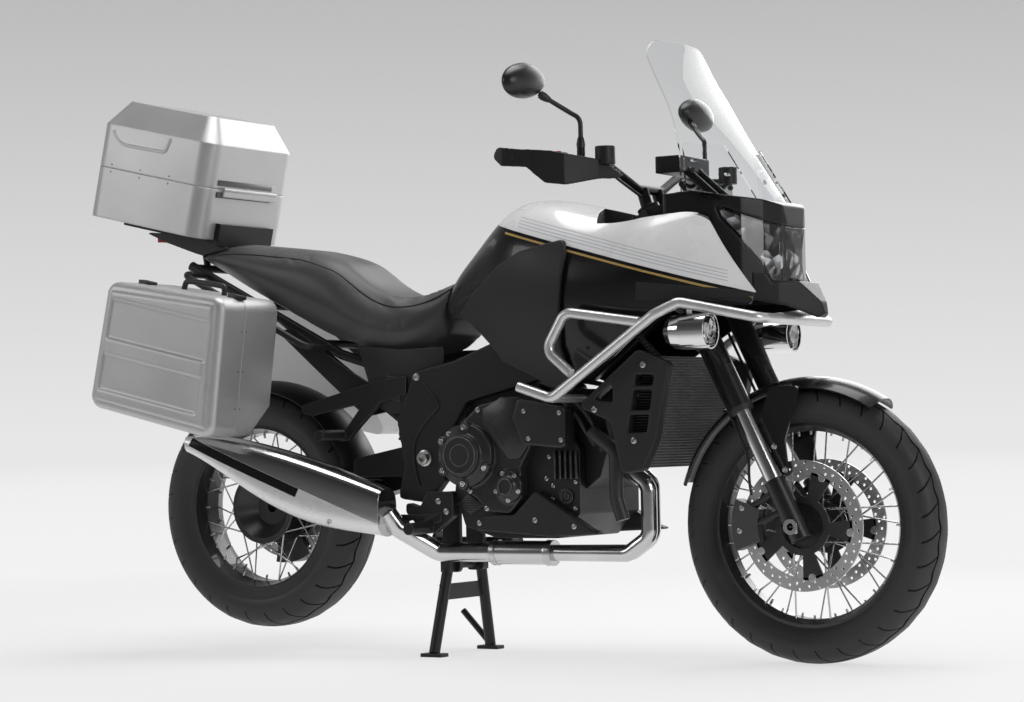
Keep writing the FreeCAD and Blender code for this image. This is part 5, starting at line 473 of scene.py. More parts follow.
for end, facts in TYRES.items():
    rubber = finish_material(f"{end}_tyre_rubber", RUBBER_BLACK, RUBBER_WORN_AND_HIGHLIGHTED, drift=0.12, grain_scale=700,
                             grain_depth=0.25, smoothest=0.42, roughest=0.62, edge_radius=0.001, edge_wear=0.35)
    tree = rubber.node_tree
    reach = axle_reach(tree, facts["centre"])
    ribs = sum_node(tree, "SINE", sum_node(tree, "MULTIPLY", reach, WALL_RINGS))
    band = span_node(tree, reach, *[facts["bead"] + edge for edge in WALL_BAND], 1.0, 0.0)
    raise_up(tree, sum_node(tree, "MULTIPLY", ribs, band), strength=0.5, distance=0.0006)
    tyre = cut_tyre(f"{end}_tyre_tread", **facts)
    take_on(tyre, rubber, f"{end}_wheel", stands_for=[f"{end}_tyre"])


# Rims, hubs and spokes
# Black aluminium rims, laced to black hubs with bright steel spokes and nickel nipples at the rim bed.
# The hub solids carry the spokes, so their finish turns to steel outside the flanges.
# The edge colours below are part rubbed wear and part painted highlight on the rounded edges.
RIM_BLACK = grey(0.018, 0.001)
RIM_EDGE = grey(0.28, 0.01)
HUB_BLACK = grey(0.022, 0.001)
HUB_EDGE = grey(0.25, 0.01)
SPOKE_STEEL = grey(0.62, 0.01)
RUBBED_AND_HIGHLIGHTED_STEEL = grey(0.8)
SPOKE_SMOOTHER = 0.08
NIPPLE_R = 0.0036
NIPPLE_L = 0.014
NIPPLE_COUNT = 32
LACING = {
    "front": {"flange": 0.0575, "bed": 0.2275, "nipple_y": 0.012},
    "rear": {"flange": 0.0985, "bed": 0.2010, "nipple_y": 0.026},
}


def copies_of(master, name, places):
    """One piece of as many copies of the master as there are places, each with its own mesh."""
    clear_choice()
    for place in places:
        copy = master.copy()
        copy.data = master.data.copy()
        copy.data.transform(place)
        bpy.context.collection.objects.link(copy)
        copy.select_set(True)
        bpy.context.view_layer.objects.active = copy
    bpy.ops.object.join()
    joined = bpy.context.object
    joined.name = name
    bpy.data.objects.remove(master)
    return joined


def turned_pin(name, sections, sides=12):
    """A pin along Z from its lengthwise places and radii, closed at both ends, from a cylinder that is extruded."""
    clear_choice()
    (start, radius), *rest = sections
    bpy.ops.mesh.primitive_circle_add(vertices=sides, radius=radius, location=(0, 0, start), fill_type="NGON")
    pin = bpy.context.object
    pin.name = name
    bpy.ops.object.transform_apply(location=True, rotation=True, scale=True)
    bpy.ops.object.mode_set(mode="EDIT")
    bpy.ops.mesh.select_all(action="SELECT")
    last_z, last_r = start, radius
    for z, radius in rest:
        bpy.ops.mesh.extrude_region_move(TRANSFORM_OT_translate={"value": (0, 0, z - last_z)})
        bpy.ops.transform.resize(value=(radius / last_r, radius / last_r, 1), center_override=(0, 0, z))
        last_z, last_r = z, radius
    bpy.ops.mesh.select_all(action="SELECT")
    bpy.ops.mesh.remove_doubles(threshold=0.00001)
    bpy.ops.mesh.normals_make_consistent(inside=False)
    bpy.ops.object.mode_set(mode="OBJECT")
    return pin


def about_y(centre, turn, *offset):
    """Turns a place beside an axle about it."""
    return Matrix.Translation(Vector(centre)) @ Matrix.Rotation(turn, 4, "Y") @ Matrix.Translation(Vector(offset))


rim_black = finish_material("rim_black_paint", RIM_BLACK, RIM_EDGE, coat=0.4, drift=0.06, smoothest=0.24,
                            roughest=0.34, grain_depth=0.03, edge_radius=0.0015, edge_wear=0.55)
dress(rim_black, "front_rim", "rear_rim")
nipple_steel = finish_material("nipple_steel", SPOKE_STEEL, RUBBED_AND_HIGHLIGHTED_STEEL, metal=1.0, smoothest=0.2,
                               roughest=0.32)
for end, facts in LACING.items():
    centre = TYRES[end]["centre"]
    laced = finish_material(f"{end}_hub_and_spokes", HUB_BLACK, HUB_EDGE, drift=0.06, smoothest=0.25,
                            roughest=0.38, grain_depth=0.05, edge_radius=0.0015, edge_wear=0.5)
    tree = laced.node_tree
    spoke = span_node(tree, axle_reach(tree, centre), facts["flange"], facts["flange"] + 0.001)
    surface = tree.nodes["surface"].outputs
    feed(tree, "Base Color", blend_node(tree, spoke, surface["Colour"], SPOKE_STEEL))
    feed(tree, "Metallic", spoke)
    smoother = sum_node(tree, "MULTIPLY", spoke, SPOKE_SMOOTHER)
    feed(tree, "Roughness", sum_node(tree, "SUBTRACT", surface["Roughness"], smoother))
    dress(laced, f"{end}_hub")
    nipple = turned_pin("nipple", [(0, NIPPLE_R * 0.6), (0.001, NIPPLE_R * 0.8), (NIPPLE_L, NIPPLE_R)], sides=8)
    places = []
    for index in range(NIPPLE_COUNT):
        turn = math.tau * index / NIPPLE_COUNT
        side = facts["nipple_y"] * (1 if index % 2 else -1)
        places.append(about_y(centre, turn, 0, side, facts["bed"] - NIPPLE_L))
    take_on(copies_of(nipple, f"{end}_spoke_nipples", places), nipple_steel, f"{end}_wheel")


# Brake discs
# Ground steel rings drilled right through, on black carriers that hold them by five round bobbins.
# The ring is spun, its holes are cut with a boolean, and the arms are extruded from the carrier.
FRONT_DISC = {"axle": FRONT_AXLE, "ring": (0.122, 0.1548), "collar": 0.070, "body": "front_wheel"}
DISCS = {
    "front_right": {**FRONT_DISC, "y": (-0.0709, -0.0661)},
    "front_left": {**FRONT_DISC, "y": (0.0661, 0.0709)},
    "rear": {"axle": REAR_AXLE, "ring": (0.100, 0.1378), "collar": 0.068, "body": "rear_wheel", "y": (0.0661, 0.0709)},
}
RING_STEPS = 96
DISC_HOLE_R = 0.0034
DISC_HOLES = 18
# Rows of holes as shares of the ring's width, each turned a little from the last
HOLE_ROWS = [(0.20, 0.0), (0.42, 0.36), (0.64, 0.72), (0.84, 0.20)]
COLLAR_W = 0.016
COLLAR_STEPS = 60
ARM_HALF_W = 0.013
ARM_OVERLAP = 0.006
ARM_SHIFT = 0.35
BOBBIN_R = 0.0095
BOBBIN_PROUD = 0.0007
BOBBIN_BEVEL = 0.0006
BOBBINS = 5
# A lighter edge colour for dark parts: part rubbed wear, part painted highlight.
DARK_EDGE = grey(0.3)
disc_steel = finish_material("ground_disc_steel", grey(0.58, 0.005), RUBBED_AND_HIGHLIGHTED_STEEL, metal=1.0, drift=0.12,
                             grain_scale=260, grain_depth=0.12, smoothest=0.26, roughest=0.38, edge_radius=0.0006,
                             edge_wear=0.5)
carrier_black = finish_material("carrier_black", HUB_BLACK, DARK_EDGE, smoothest=0.3, roughest=0.42,
                                edge_radius=0.0008, edge_wear=0.6)


def joined(name, *pieces):
    """Joins pieces into the first of them."""
    clear_choice()
    for piece in pieces:
        piece.select_set(True)
    bpy.context.view_layer.objects.active = pieces[0]
    bpy.ops.object.join()
    pieces[0].name = name
    return pieces[0]


def cut_with(piece, tool):
    """Cuts the tool away from the piece."""
    clear_choice()
    bpy.context.view_layer.objects.active = piece
    piece.select_set(True)
    cutter = piece.modifiers.new("cut", "BOOLEAN")
    cutter.object = tool
    cutter.solver = "EXACT"
    bpy.ops.object.modifier_apply(modifier="cut")
    bpy.data.objects.remove(tool)


for name, facts in DISCS.items():
    low_y, high_y = facts["y"]
    middle_y = (low_y + high_y) / 2
    inner, outer = facts["ring"]
    axle = facts["axle"]
    section = [(low_y, inner), (high_y, inner), (high_y, outer), (low_y, outer)]
    ring = spun_ring(f"{name}_disc_ring", axle, section, RING_STEPS)
    drill = turned_pin("drill", [(-0.02, DISC_HOLE_R), (0.02, DISC_HOLE_R)], sides=10)
    drill.data.transform(Matrix.Rotation(math.pi / 2, 4, "X"))
    places = []
    for share, shift in HOLE_ROWS:
        for index in range(DISC_HOLES):
            turn = math.tau * (index + shift) / DISC_HOLES
            places.append(about_y(axle, turn, 0, middle_y, inner + (outer - inner) * share))
    cut_with(ring, copies_of(drill, "drills", places))
    smooth_piece(ring)
    take_on(ring, disc_steel, facts["body"])

    collar = facts["collar"]
    section = [(low_y, collar - COLLAR_W), (high_y, collar - COLLAR_W), (high_y, collar), (low_y, collar)]
    wheel = spun_ring(f"{name}_disc_carrier", axle, section, COLLAR_STEPS)
    turns = [math.tau * (index + ARM_SHIFT) / BOBBINS for index in range(BOBBINS)]

    def arm_root(face):
        """Faces of the collar's outer wall that stand under an arm."""
        outwards = face.center - Vector((axle[0], face.center.y, axle[2]))
        if abs(face.normal.y) > 0.5 or face.normal.dot(outwards) < 0:
            return False
        around = math.atan2(outwards.x, outwards.z)
        return any(abs((around - turn + math.pi) % math.tau - math.pi) * collar < ARM_HALF_W for turn in turns)

    choose(wheel, "polygons", arm_root)
    bpy.ops.mesh.extrude_region_move()
    grow = (inner + ARM_OVERLAP) / collar
    bpy.ops.transform.resize(value=(grow, 1, grow), center_override=(axle[0], middle_y, axle[2]))
    bpy.ops.object.mode_set(mode="OBJECT")
    smooth_piece(wheel)
    take_on(wheel, carrier_black, facts["body"])

    half = (high_y - low_y) / 2 + BOBBIN_PROUD
    flank = half - BOBBIN_BEVEL
    bobbin = turned_pin("bobbin", [(-half, BOBBIN_R * 0.55), (-half, BOBBIN_R * 0.9), (-flank, BOBBIN_R),
                                   (flank, BOBBIN_R), (half, BOBBIN_R * 0.9), (half, BOBBIN_R * 0.55)], 20)
    bobbin.data.transform(Matrix.Rotation(math.pi / 2, 4, "X"))
    places = [about_y(axle, turn, 0, middle_y, inner + 0.001) for turn in turns]
    bobbins = copies_of(bobbin, f"{name}_disc_bobbins", places)
    smooth_piece(bobbins)
    take_on(bobbins, nipple_steel, facts["body"])

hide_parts("front_brake_discs")
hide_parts("rear_brake_disc")


# Bolts
# Zinc-plated bolts with a flange and a socket hold the covers, guards and brackets. One of each size is turned
# and copied, and each copy sits on the face that it meets when it is pushed in from the side.
BOLT_SIDES = 14
# A bolt's section, as shares of its radius: how far out of the face, and how wide
BOLT_SECTION = [(-0.6, 1.25), (0.18, 1.25), (0.28, 0.95), (0.9, 0.92), (1.008, 0.78), (1.008, 0.50), (0.495, 0.46)]
STEEP_FACE = 0.6
FAR_ASIDE = 0.8
HANDS = ((-1, "right"), (1, "left"))
bolt_zinc = finish_material("bolt_zinc", grey(0.55, -0.01), RUBBED_AND_HIGHLIGHTED_STEEL, metal=1.0, smoothest=0.22, roughest=0.38,
                            grain_depth=0.05, edge_radius=0.0004)
bolt_black = finish_material("bolt_black", grey(0.03), DARK_EDGE, metal=0.5, smoothest=0.3, roughest=0.45,
                             grain_depth=0.05, edge_radius=0.0004, edge_wear=0.6)


def side_hit(node, x, z, side=-1):
    """Whether, where and at what slope a node's face is met from one side."""
    hit, where, normal, _ = nodes[node].ray_cast(Vector((x, side * FAR_ASIDE, z)), Vector((0, -side, 0)))
    return hit, where, normal


def facing(way):
    """The turn that points Z along a way."""
    return way.to_track_quat("Z", "Y").to_matrix().to_4x4()


def bolts_on(name, node, places, radius, material=bolt_zinc, body="chassis", side=-1):
    """Bolts pushed against a node's face along Y at lengthwise and upward places."""
    bolt = turned_pin("bolt", [(radius * out, radius * wide) for out, wide in BOLT_SECTION], BOLT_SIDES)
    targets = []
    for x, z in places:
        hit, where, normal = side_hit(node, x, z, side)
        if not hit:
            continue
        if normal.y * side < 0:
            normal = -normal
        if abs(normal.y) < STEEP_FACE:
            normal = Vector((0, side, 0))
        targets.append(Matrix.Translation(where) @ facing(normal))
    row = copies_of(bolt, name, targets)
    smooth_piece(row)
    take_on(row, material, body)
    return row


def bolts_on_both(name, node, places, radius, material=bolt_zinc, body="chassis"):
    """The same bolts on the right and on the left."""
    for side, hand in HANDS:
        bolts_on(f"{name}_{hand}", node, places, radius, material, body, side)


# Fork, clamps and brakes
# A telescopic fork: black outer tubes in two cast clamps, chromed inner tubes above black cast feet, and dark
# four-piston calipers. The leg solid holds both the tube and the foot, so its finish changes along the fork.
RAKE = math.radians(26)
FORK_WAY = Vector((-math.sin(RAKE), 0, math.cos(RAKE)))
FOOT_TOP = 0.122
FORK_BLACK = grey(0.011, 0.001)
CHROME = grey(0.78, 0.01)
SEAL_HALF_L = 0.007
SEAL_SECTION = [(-SEAL_HALF_L, 0.0225), (-SEAL_HALF_L, 0.0275), (0.0, 0.0296), (SEAL_HALF_L, 0.0296),
                (SEAL_HALF_L, 0.0285)]
SEAL_UP = 0.307
LEG_HALF_GAP = 0.105
CALIPER_BOLTS = [(0.712, 0.372), (0.705, 0.318), (0.748, 0.395)]
AXLE_PINCH = [(0.866, 0.318), (0.876, 0.297)]


def bare_where(tree, share, colour, roughness):
    """Turns the finish to bare metal of that colour and roughness where the share is 1."""
    surface = tree.nodes["surface"].outputs
    feed(tree, "Base Color", blend_node(tree, share, surface["Colour"], colour))
    feed(tree, "Metallic", share)
    feed(tree, "Roughness", span_node(tree, share, 0.0, 1.0, surface["Roughness"], roughness))


fork_black = finish_material("fork_black_coat", FORK_BLACK, grey(0.3, 0.01), coat=0.3, specular=0.32, smoothest=0.22,
                             roughest=0.34, grain_depth=0.03, edge_radius=0.0015, edge_wear=0.5)
dress(fork_black, "fork_outer_tubes", "triple_clamps")
leg_finish = finish_material("fork_leg_finish", FORK_BLACK, grey(0.3, 0.01), smoothest=0.28, roughest=0.4,
                             edge_radius=0.0015, edge_wear=0.5)
tree = leg_finish.node_tree
along = add_node(tree, "ShaderNodeVectorMath", operation="DOT_PRODUCT")
tree.links.new(object_place(tree), along.inputs[0])
along.inputs[1].default_value = FORK_WAY
foot = Vector(FRONT_AXLE).dot(FORK_WAY) + FOOT_TOP
bare_where(tree, span_node(tree, along.outputs["Value"], foot, foot + 0.001), CHROME, 0.10)
dress(leg_finish, "fork_legs")
caliper_grey = finish_material("caliper_grey_paint", grey(0.050, 0.001), DARK_EDGE, smoothest=0.35, roughest=0.5,
                               grain_scale=500, grain_depth=0.3, edge_radius=0.003, edge_wear=0.4)
dress(caliper_grey, "front_calipers", "rear_caliper")
axle_steel = finish_material("axle_steel", grey(0.60, 0.01), grey(0.85), metal=1.0, smoothest=0.16, roughest=0.28,
                             edge_radius=0.001)
dress(axle_steel, "front_axle")
rubber_trim = finish_material("rubber_trim", grey(0.02), grey(0.06), smoothest=0.5, roughest=0.65, edge_radius=0.0008)
seal = turned_pin("seal", SEAL_SECTION, sides=40)
leg_places = [about_y(FRONT_AXLE, -RAKE, 0, y, SEAL_UP) for y in (-LEG_HALF_GAP, LEG_HALF_GAP)]
seals = copies_of(seal, "fork_dust_seals", leg_places)
smooth_piece(seals)
take_on(seals, rubber_trim, "steering")
bolts_on("caliper_bolts", "front_calipers", CALIPER_BOLTS, radius=0.0055, body="steering")
bolts_on("caliper_bolts_left", "front_calipers", CALIPER_BOLTS, radius=0.0055, body="steering", side=1)
bolts_on("axle_pinch_bolts", "fork_legs", AXLE_PINCH, radius=0.0045, body="steering")


# Front mudguard
# One crowned blade of gloss black plastic over the tyre, with a long bracket down each side that is bolted
# to the fork leg.
MUDGUARD_BOLTS = [(0.793, 0.516), (0.820, 0.461)]
gloss_black = finish_material("gloss_black_paint", grey(0.0075, 0.0005), grey(0.05), coat=0.25, specular=0.32,
                              drift=0.05, smoothest=0.22, roughest=0.30, grain_depth=0.0, edge_radius=0.002,
                              edge_wear=0.3)
dress(gloss_black, "front_mudguard")
bolts_on_both("mudguard_bolts", "front_mudguard", MUDGUARD_BOLTS, radius=0.0058, body="steering")


# Handlebar and hand guards
# A tapered tubular bar, coated black, with ribbed rubber grips at its ends. The guards before the grips are
# moulded in grained plastic, with soft edges and a fine texture.
GRIP_RIBS = 900.0
GRIP_FROM = 0.352
PLASTIC_BLACK = grey(0.013, 0.0005)


def node_copy(node, name, merge=0.0001):
    """A copy of a node's own mesh, with its loose triangles merged."""
    clear_choice()
    piece = nodes[node].copy()
    piece.data = nodes[node].data.copy()
    piece.name = name
    bpy.context.collection.objects.link(piece)
    piece.select_set(True)
    bpy.context.view_layer.objects.active = piece
    bpy.ops.object.mode_set(mode="EDIT")
    bpy.ops.mesh.select_all(action="SELECT")
    bpy.ops.mesh.remove_doubles(threshold=merge)
    bpy.ops.object.mode_set(mode="OBJECT")
    return piece


def relax(piece, voxel, rounds):
    """Remeshes a closed form and rounds its edges, as moulding, casting or padding does."""
    remesh = piece.modifiers.new("remesh", "REMESH")
    remesh.mode = "VOXEL"
    remesh.voxel_size = voxel
    bpy.ops.object.modifier_apply(modifier="remesh")
    soften = piece.modifiers.new("soften", "SMOOTH")
    soften.iterations = rounds
    bpy.ops.object.modifier_apply(modifier="soften")


def moulded_copy(node, material, body, voxel, rounds):
    """Stands for a node with its form relaxed."""
    piece = node_copy(node, f"{node}_moulding")
    relax(piece, voxel, rounds)
    smooth_piece(piece, degrees=60)
    take_on(piece, material, body, stands_for=[node])


matt_plastic = finish_material("moulded_plastic", PLASTIC_BLACK, grey(0.12), specular=0.32, drift=0.06,
                               grain_scale=1400, grain_depth=0.35, smoothest=0.36, roughest=0.5, edge_radius=0.002,
                               edge_wear=0.35)
dress(matt_plastic, "handguards", "handlebar_controls")
moulded_copy("handguards", matt_plastic, "steering", voxel=0.0022, rounds=4)
bar_black = finish_material("bar_black_coat", FORK_BLACK, grey(0.2), specular=0.32, smoothest=0.34, roughest=0.46,
                            grain_depth=0.1, edge_radius=0.001)
tree = bar_black.node_tree
parts = split(tree, object_place(tree))
ribs = sum_node(tree, "SINE", sum_node(tree, "MULTIPLY", parts["Y"], GRIP_RIBS))
gripped = sum_node(tree, "GREATER_THAN", sum_node(tree, "ABSOLUTE", parts["Y"]), GRIP_FROM)
raise_up(tree, sum_node(tree, "MULTIPLY", ribs, gripped), strength=0.8, distance=0.0015)
dress(bar_black, "handlebar")


# Switches, cables and brake hoses
# Moulded switch housings sit inside the grips, and the right one has a red stop switch on top. One rubber-sleeved
# cable a side runs in to the clamps, and one brake hose a side runs down behind the fork leg to its caliper.
STOP_PLACE = (0.362, -0.330)
STOP_SIZE = (0.016, 0.014, 0.008)
STOP_PROUD = 0.002
CABLE_R = 0.0036
CABLE_ROUTE = [(0.485, 0.322, 1.188), (0.480, 0.304, 1.176), (0.458, 0.230, 1.166), (0.446, 0.150, 1.150),
               (0.450, 0.085, 1.128)]
HOSE_START = [(0.742, 0.106, 0.402), (0.735, 0.106, 0.440)]
HOSE_ALONG = (0.20, 0.30, 0.40, 0.48, 0.54)
HOSE_BEHIND = 0.0365
HOSE_ASIDE = 0.098
WELL_ABOVE = 1.5


def piping(name, points, radius):
    """A round bead through those points, as a mesh."""
    clear_choice()
    line = bpy.data.curves.new(name, "CURVE")
    line.dimensions = "3D"
    spline = line.splines.new("NURBS")
    spline.points.add(len(points) - 1)
    for point, place in zip(spline.points, points):
        point.co = (*place, 1)
    spline.order_u = 3
    spline.use_endpoint_u = True
    line.bevel_depth = radius
    line.bevel_resolution = 2
    line.use_fill_caps = True
    bead = bpy.data.objects.new(name, line)
    bpy.context.collection.objects.link(bead)
    bead.select_set(True)
    bpy.context.view_layer.objects.active = bead
    bpy.ops.object.convert(target="MESH")
    return bpy.context.object


def piping_set(name, beads, material, body):
    """Beads joined into one smooth piece."""
    piece = joined(name, *beads)
    smooth_piece(piece, degrees=60)
    take_on(piece, material, body)


def on_side(points, side):
    """A route's points, on the right or on the left."""
    return [Vector((x, side * y, z)) for x, y, z in points]


def worked_block(name, size, bevel, inset=0.0025):
    """A block with bevelled edges and a shallow inset in its top face, about its middle."""
    clear_choice()
    bpy.ops.mesh.primitive_cube_add(size=1)
    block = bpy.context.object
    block.name = name
    block.data.transform(Matrix.Diagonal((*size, 1)))
    choose(block, "polygons", lambda face: face.normal.z > 0.9)
    bpy.ops.mesh.inset(thickness=inset * 1.4)
    bpy.ops.transform.translate(value=(0, 0, -inset * 0.5))
    bpy.ops.mesh.select_all(action="SELECT")
    bpy.ops.mesh.bevel(offset=bevel, segments=2, affect="EDGES", clamp_overlap=True)
    bpy.ops.object.mode_set(mode="OBJECT")
    smooth_piece(block, degrees=40)
    return block


switch_red = finish_material("switch_red", (0.45, 0.012, 0.010), (0.6, 0.1, 0.1), drift=0.04, smoothest=0.3,
                             roughest=0.4, edge_radius=0.0008)
_, housing_top, _, _ = nodes["handlebar_controls"].ray_cast(Vector((*STOP_PLACE, WELL_ABOVE)), Vector((0, 0, -1)))
switch = worked_block("stop_switch", STOP_SIZE, bevel=0.0012, inset=0.001)
switch.data.transform(Matrix.Translation(housing_top + Vector((0, 0, STOP_PROUD))))
take_on(switch, switch_red, "steering")
behind = Vector((-math.cos(RAKE), 0, -math.sin(RAKE))) * HOSE_BEHIND
runs = [Vector(FRONT_AXLE) + FORK_WAY * far + behind + Vector((0, HOSE_ASIDE, 0)) for far in HOSE_ALONG]
cables = []
for side, _ in HANDS:
    cables.append(piping("cable", on_side(CABLE_ROUTE, side), CABLE_R))
    cables.append(piping("hose", on_side(HOSE_START + runs, side), CABLE_R))
piping_set("bar_cables_and_brake_hoses", cables, rubber_trim, "steering")
moulded_copy("handlebar_controls", matt_plastic, "steering", voxel=0.0020, rounds=3)


# Mirrors
# Oval housings of moulded plastic on bent steel stems, with a rubber boot at each end of the stem. A flat
# silvered glass is set into the back of each housing, inside a narrow lip.
MIRROR_MIDDLE = (0.334, 0.440, 1.384)
MIRROR_HALF = (0.034, 0.084, 0.042)
MIRROR_CUT = -0.010
MIRROR_LIP = 0.0035
GLASS_DEPTH = 0.0015
GLASS_ABOVE = 1.335
GLASS_SILVER = (0.75, 0.77, 0.79)
MIRROR_LEAN = math.radians(7)
# How much lower and flatter a housing is towards the rider
INNER_FALL = 0.006
INNER_FLAT = 0.22
STEM_ROUTE = [(0.420, 0.322, 1.226), (0.420, 0.322, 1.262), (0.420, 0.322, 1.300), (0.398, 0.337, 1.314),
              (0.346, 0.388, 1.358)]
STEM_R = 0.0062
BOOT = [(-0.012, 0.0062), (-0.012, 0.0098), (-0.002, 0.0108), (0.010, 0.0086), (0.016, 0.0064)]
BOOT_UP = 0.014
NECK_SHARE = 0.18
mirror_finish = finish_material("mirror_housing", PLASTIC_BLACK, grey(0.1), smoothest=0.3, roughest=0.42,
                                grain_scale=1400, grain_depth=0.2, edge_radius=0.002, edge_wear=0.25)
tree = mirror_finish.node_tree
normal = add_node(tree, "ShaderNodeNewGeometry").outputs["Normal"]
behind = sum_node(tree, "LESS_THAN", split(tree, normal)["X"], -0.985)
high = sum_node(tree, "GREATER_THAN", split(tree, object_place(tree))["Z"], GLASS_ABOVE)
bare_where(tree, sum_node(tree, "MULTIPLY", behind, high), GLASS_SILVER, 0.03)
dress(mirror_finish, "mirrors")
for side, hand in HANDS:
    clear_choice()
    bpy.ops.mesh.primitive_uv_sphere_add(segments=44, ring_count=26, radius=1)
    head = bpy.context.object
    half_x, half_y, half_z = MIRROR_HALF
    for corner in head.data.vertices:
        x, y, z = corner.co
        inner = max(0.0, -side * y) ** 2
        corner.co = (x * half_x, y * half_y, z * half_z * (1 - INNER_FLAT * inner) - INNER_FALL * inner)
    bpy.ops.object.mode_set(mode="EDIT")
    bpy.ops.mesh.select_all(action="SELECT")
    bpy.ops.mesh.bisect(plane_co=(MIRROR_CUT, 0, 0), plane_no=(1, 0, 0), use_fill=True, clear_inner=True)
    bpy.ops.object.mode_set(mode="OBJECT")
    choose(head, "polygons", lambda face: face.normal.x < -0.98 and abs(face.center.x - MIRROR_CUT) < 0.0005)
    bpy.ops.mesh.inset(thickness=MIRROR_LIP)
    bpy.ops.transform.translate(value=(GLASS_DEPTH, 0, 0))
    bpy.ops.object.mode_set(mode="OBJECT")
    middle, *route = on_side([MIRROR_MIDDLE] + STEM_ROUTE, side)
    head.data.transform(Matrix.Translation(middle) @ Matrix.Rotation(-side * MIRROR_LEAN, 4, "X"))
    stem = piping("stem", route, STEM_R)
    foot = turned_pin("foot", BOOT, sides=24)
    foot.data.transform(Matrix.Translation(route[0] + Vector((0, 0, BOOT_UP))))
    neck = turned_pin("neck", BOOT, sides=24)
    down = route[-2] - route[-1]
    neck.data.transform(Matrix.Translation(route[-1] + down * NECK_SHARE) @ facing(down))
    mirror = joined(f"{hand}_mirror", head, stem, foot, neck)
    smooth_piece(mirror, degrees=50)
    take_on(mirror, mirror_finish, "steering", stands_for=["mirrors"])


# Frame, swinging arm and stands
# Cast and welded aluminium painted dark grey, its edges painted lighter as part rubbed paint and part painted
# highlight, with a thin rib cast along each main spar. The subframe rails are steel tube under the same paint, and
# the stands are coated black.
FRAME_BOLTS = [(-0.246, 0.593), (-0.171, 0.705), (-0.058, 0.560), (0.262, 0.762)]
PIVOT_PLACE = (-0.149, 0.500)
HANGER_BOLTS = [(-0.098, 0.392), (-0.075, 0.366)]
FRAME_RIB = [(-0.159, 0.697), (-0.112, 0.652), (-0.100, 0.628), (-0.140, 0.598), (-0.172, 0.560), (-0.184, 0.520),
             (-0.178, 0.470), (-0.165, 0.430)]
RIB_R = 0.0032
# The lighter edge colour is part rubbed paint and part painted highlight.
frame_paint = finish_material("frame_paint", grey(0.020, 0.001), grey(0.32, 0.01), metal=0.25, specular=0.32,
                              drift=0.07, grain_scale=800, grain_depth=0.18, smoothest=0.34, roughest=0.46,
                              edge_radius=0.0025, edge_wear=0.5)
dress(frame_paint, "main_frame", "cowl_stay", "stand_brackets", "swingarm", "rear_subframe", "footpegs",
      "pillion_brackets", "luggage_rack")
stand_black = finish_material("stand_black_coat", grey(0.02, 0.001), grey(0.22), specular=0.32, drift=0.08,
                              smoothest=0.34, roughest=0.5, edge_radius=0.002, edge_wear=0.45)
dress(stand_black, "centre_stand", "side_stand")
bolts_on_both("frame_bolts", "main_frame", FRAME_BOLTS, radius=0.0075)
bolts_on_both("pivot_nut", "main_frame", [PIVOT_PLACE], radius=0.017)
bolts_on_both("hanger_bolts", "footpegs", HANGER_BOLTS, radius=0.006)
ribs = []
for side, _ in HANDS:
    hits = [side_hit("main_frame", x, z, side) for x, z in FRAME_RIB]
    ribs.append(piping("rib", [where + normal * RIB_R * 0.2 for hit, where, normal in hits if hit], RIB_R))
piping_set("frame_ribs", ribs, frame_paint, "chassis")
moulded_copy("main_frame", frame_paint, "chassis", voxel=0.0036, rounds=4)


# Engine
# A four-cylinder vee engine as one dark cast block, with its painted covers bolted to both sides. The round
# covers have a raised ring and lobes for their bolts, and the actuator box has a lid with a recessed panel.
ENGINE_GREY = grey(0.018, 0.0005)
# Edge colour of the casting and covers: part rubbed paint, part painted highlight on the rounded edges.
CASTING_EDGE_WEAR_AND_HIGHLIGHT = grey(0.34, 0.01)
RING_SINK = 0.002
RING_DRAFT = 0.0006
CLUTCH_PLACE = (0.0, 0.506)
CLUTCH_BOLT_R = 0.070
CLUTCH_BOLT_TURNS = (85, 150, 212, 270, 334)
LOBE_R = 0.013
LOBE_PROUD = 0.006
LOBE_SECTION = [(-0.012, LOBE_R * 1.15), (LOBE_PROUD * 0.6, LOBE_R), (LOBE_PROUD, LOBE_R * 0.85)]
PUMP_PLACE = (0.118, 0.428)
PUMP_BOLT_R = 0.034
PUMP_BOLT_TURNS = (50, 110, 200, 275, 340)
LEFT_COVER_PLACE = (0.04, 0.47)
LEFT_COVER_BOLT_R = 0.083
LEFT_COVER_BOLTS = 8
RIM_BOLTS = [(0.004, 0.418), (0.052, 0.374), (0.148, 0.378), (0.176, 0.410), (0.182, 0.520), (0.205, 0.470),
             (-0.042, 0.560), (0.030, 0.618), (0.098, 0.632)]
BOX_BOLTS = [(0.176, 0.612), (0.276, 0.606), (0.280, 0.540), (0.188, 0.545)]
LID_CORNERS = [(0.046, 0.620), (0.102, 0.649), (0.153, 0.647), (0.213, 0.573), (0.150, 0.494), (0.119, 0.496),
               (0.050, 0.572)]
LID_T = 0.010
PANEL_CORNERS = [(0.068, 0.576), (0.114, 0.622), (0.160, 0.580), (0.106, 0.528)]
PANEL_T = 0.0035
PANEL_OUT = 0.008
PLUG_PLACE = (0.262, 0.402)
BLOCK_BOLTS = [(0.206, 0.446), (0.222, 0.395), (0.286, 0.372), (0.240, 0.372), (0.288, 0.438), (0.224, 0.428),
               (0.214, 0.500), (0.190, 0.372)]
FIN_ROW = (0.236, 0.296, 5)
FIN_SIZE = (0.004, 0.016, 0.070)
FIN_HEIGHT = 0.480
casting = finish_material("engine_casting", ENGINE_GREY, CASTING_EDGE_WEAR_AND_HIGHLIGHT, metal=0.3, drift=0.15, grain_scale=420,
                          grain_depth=0.5, smoothest=0.36, roughest=0.55, edge_radius=0.002, edge_wear=0.45)
dress(casting, "engine_block", "cylinder_heads")
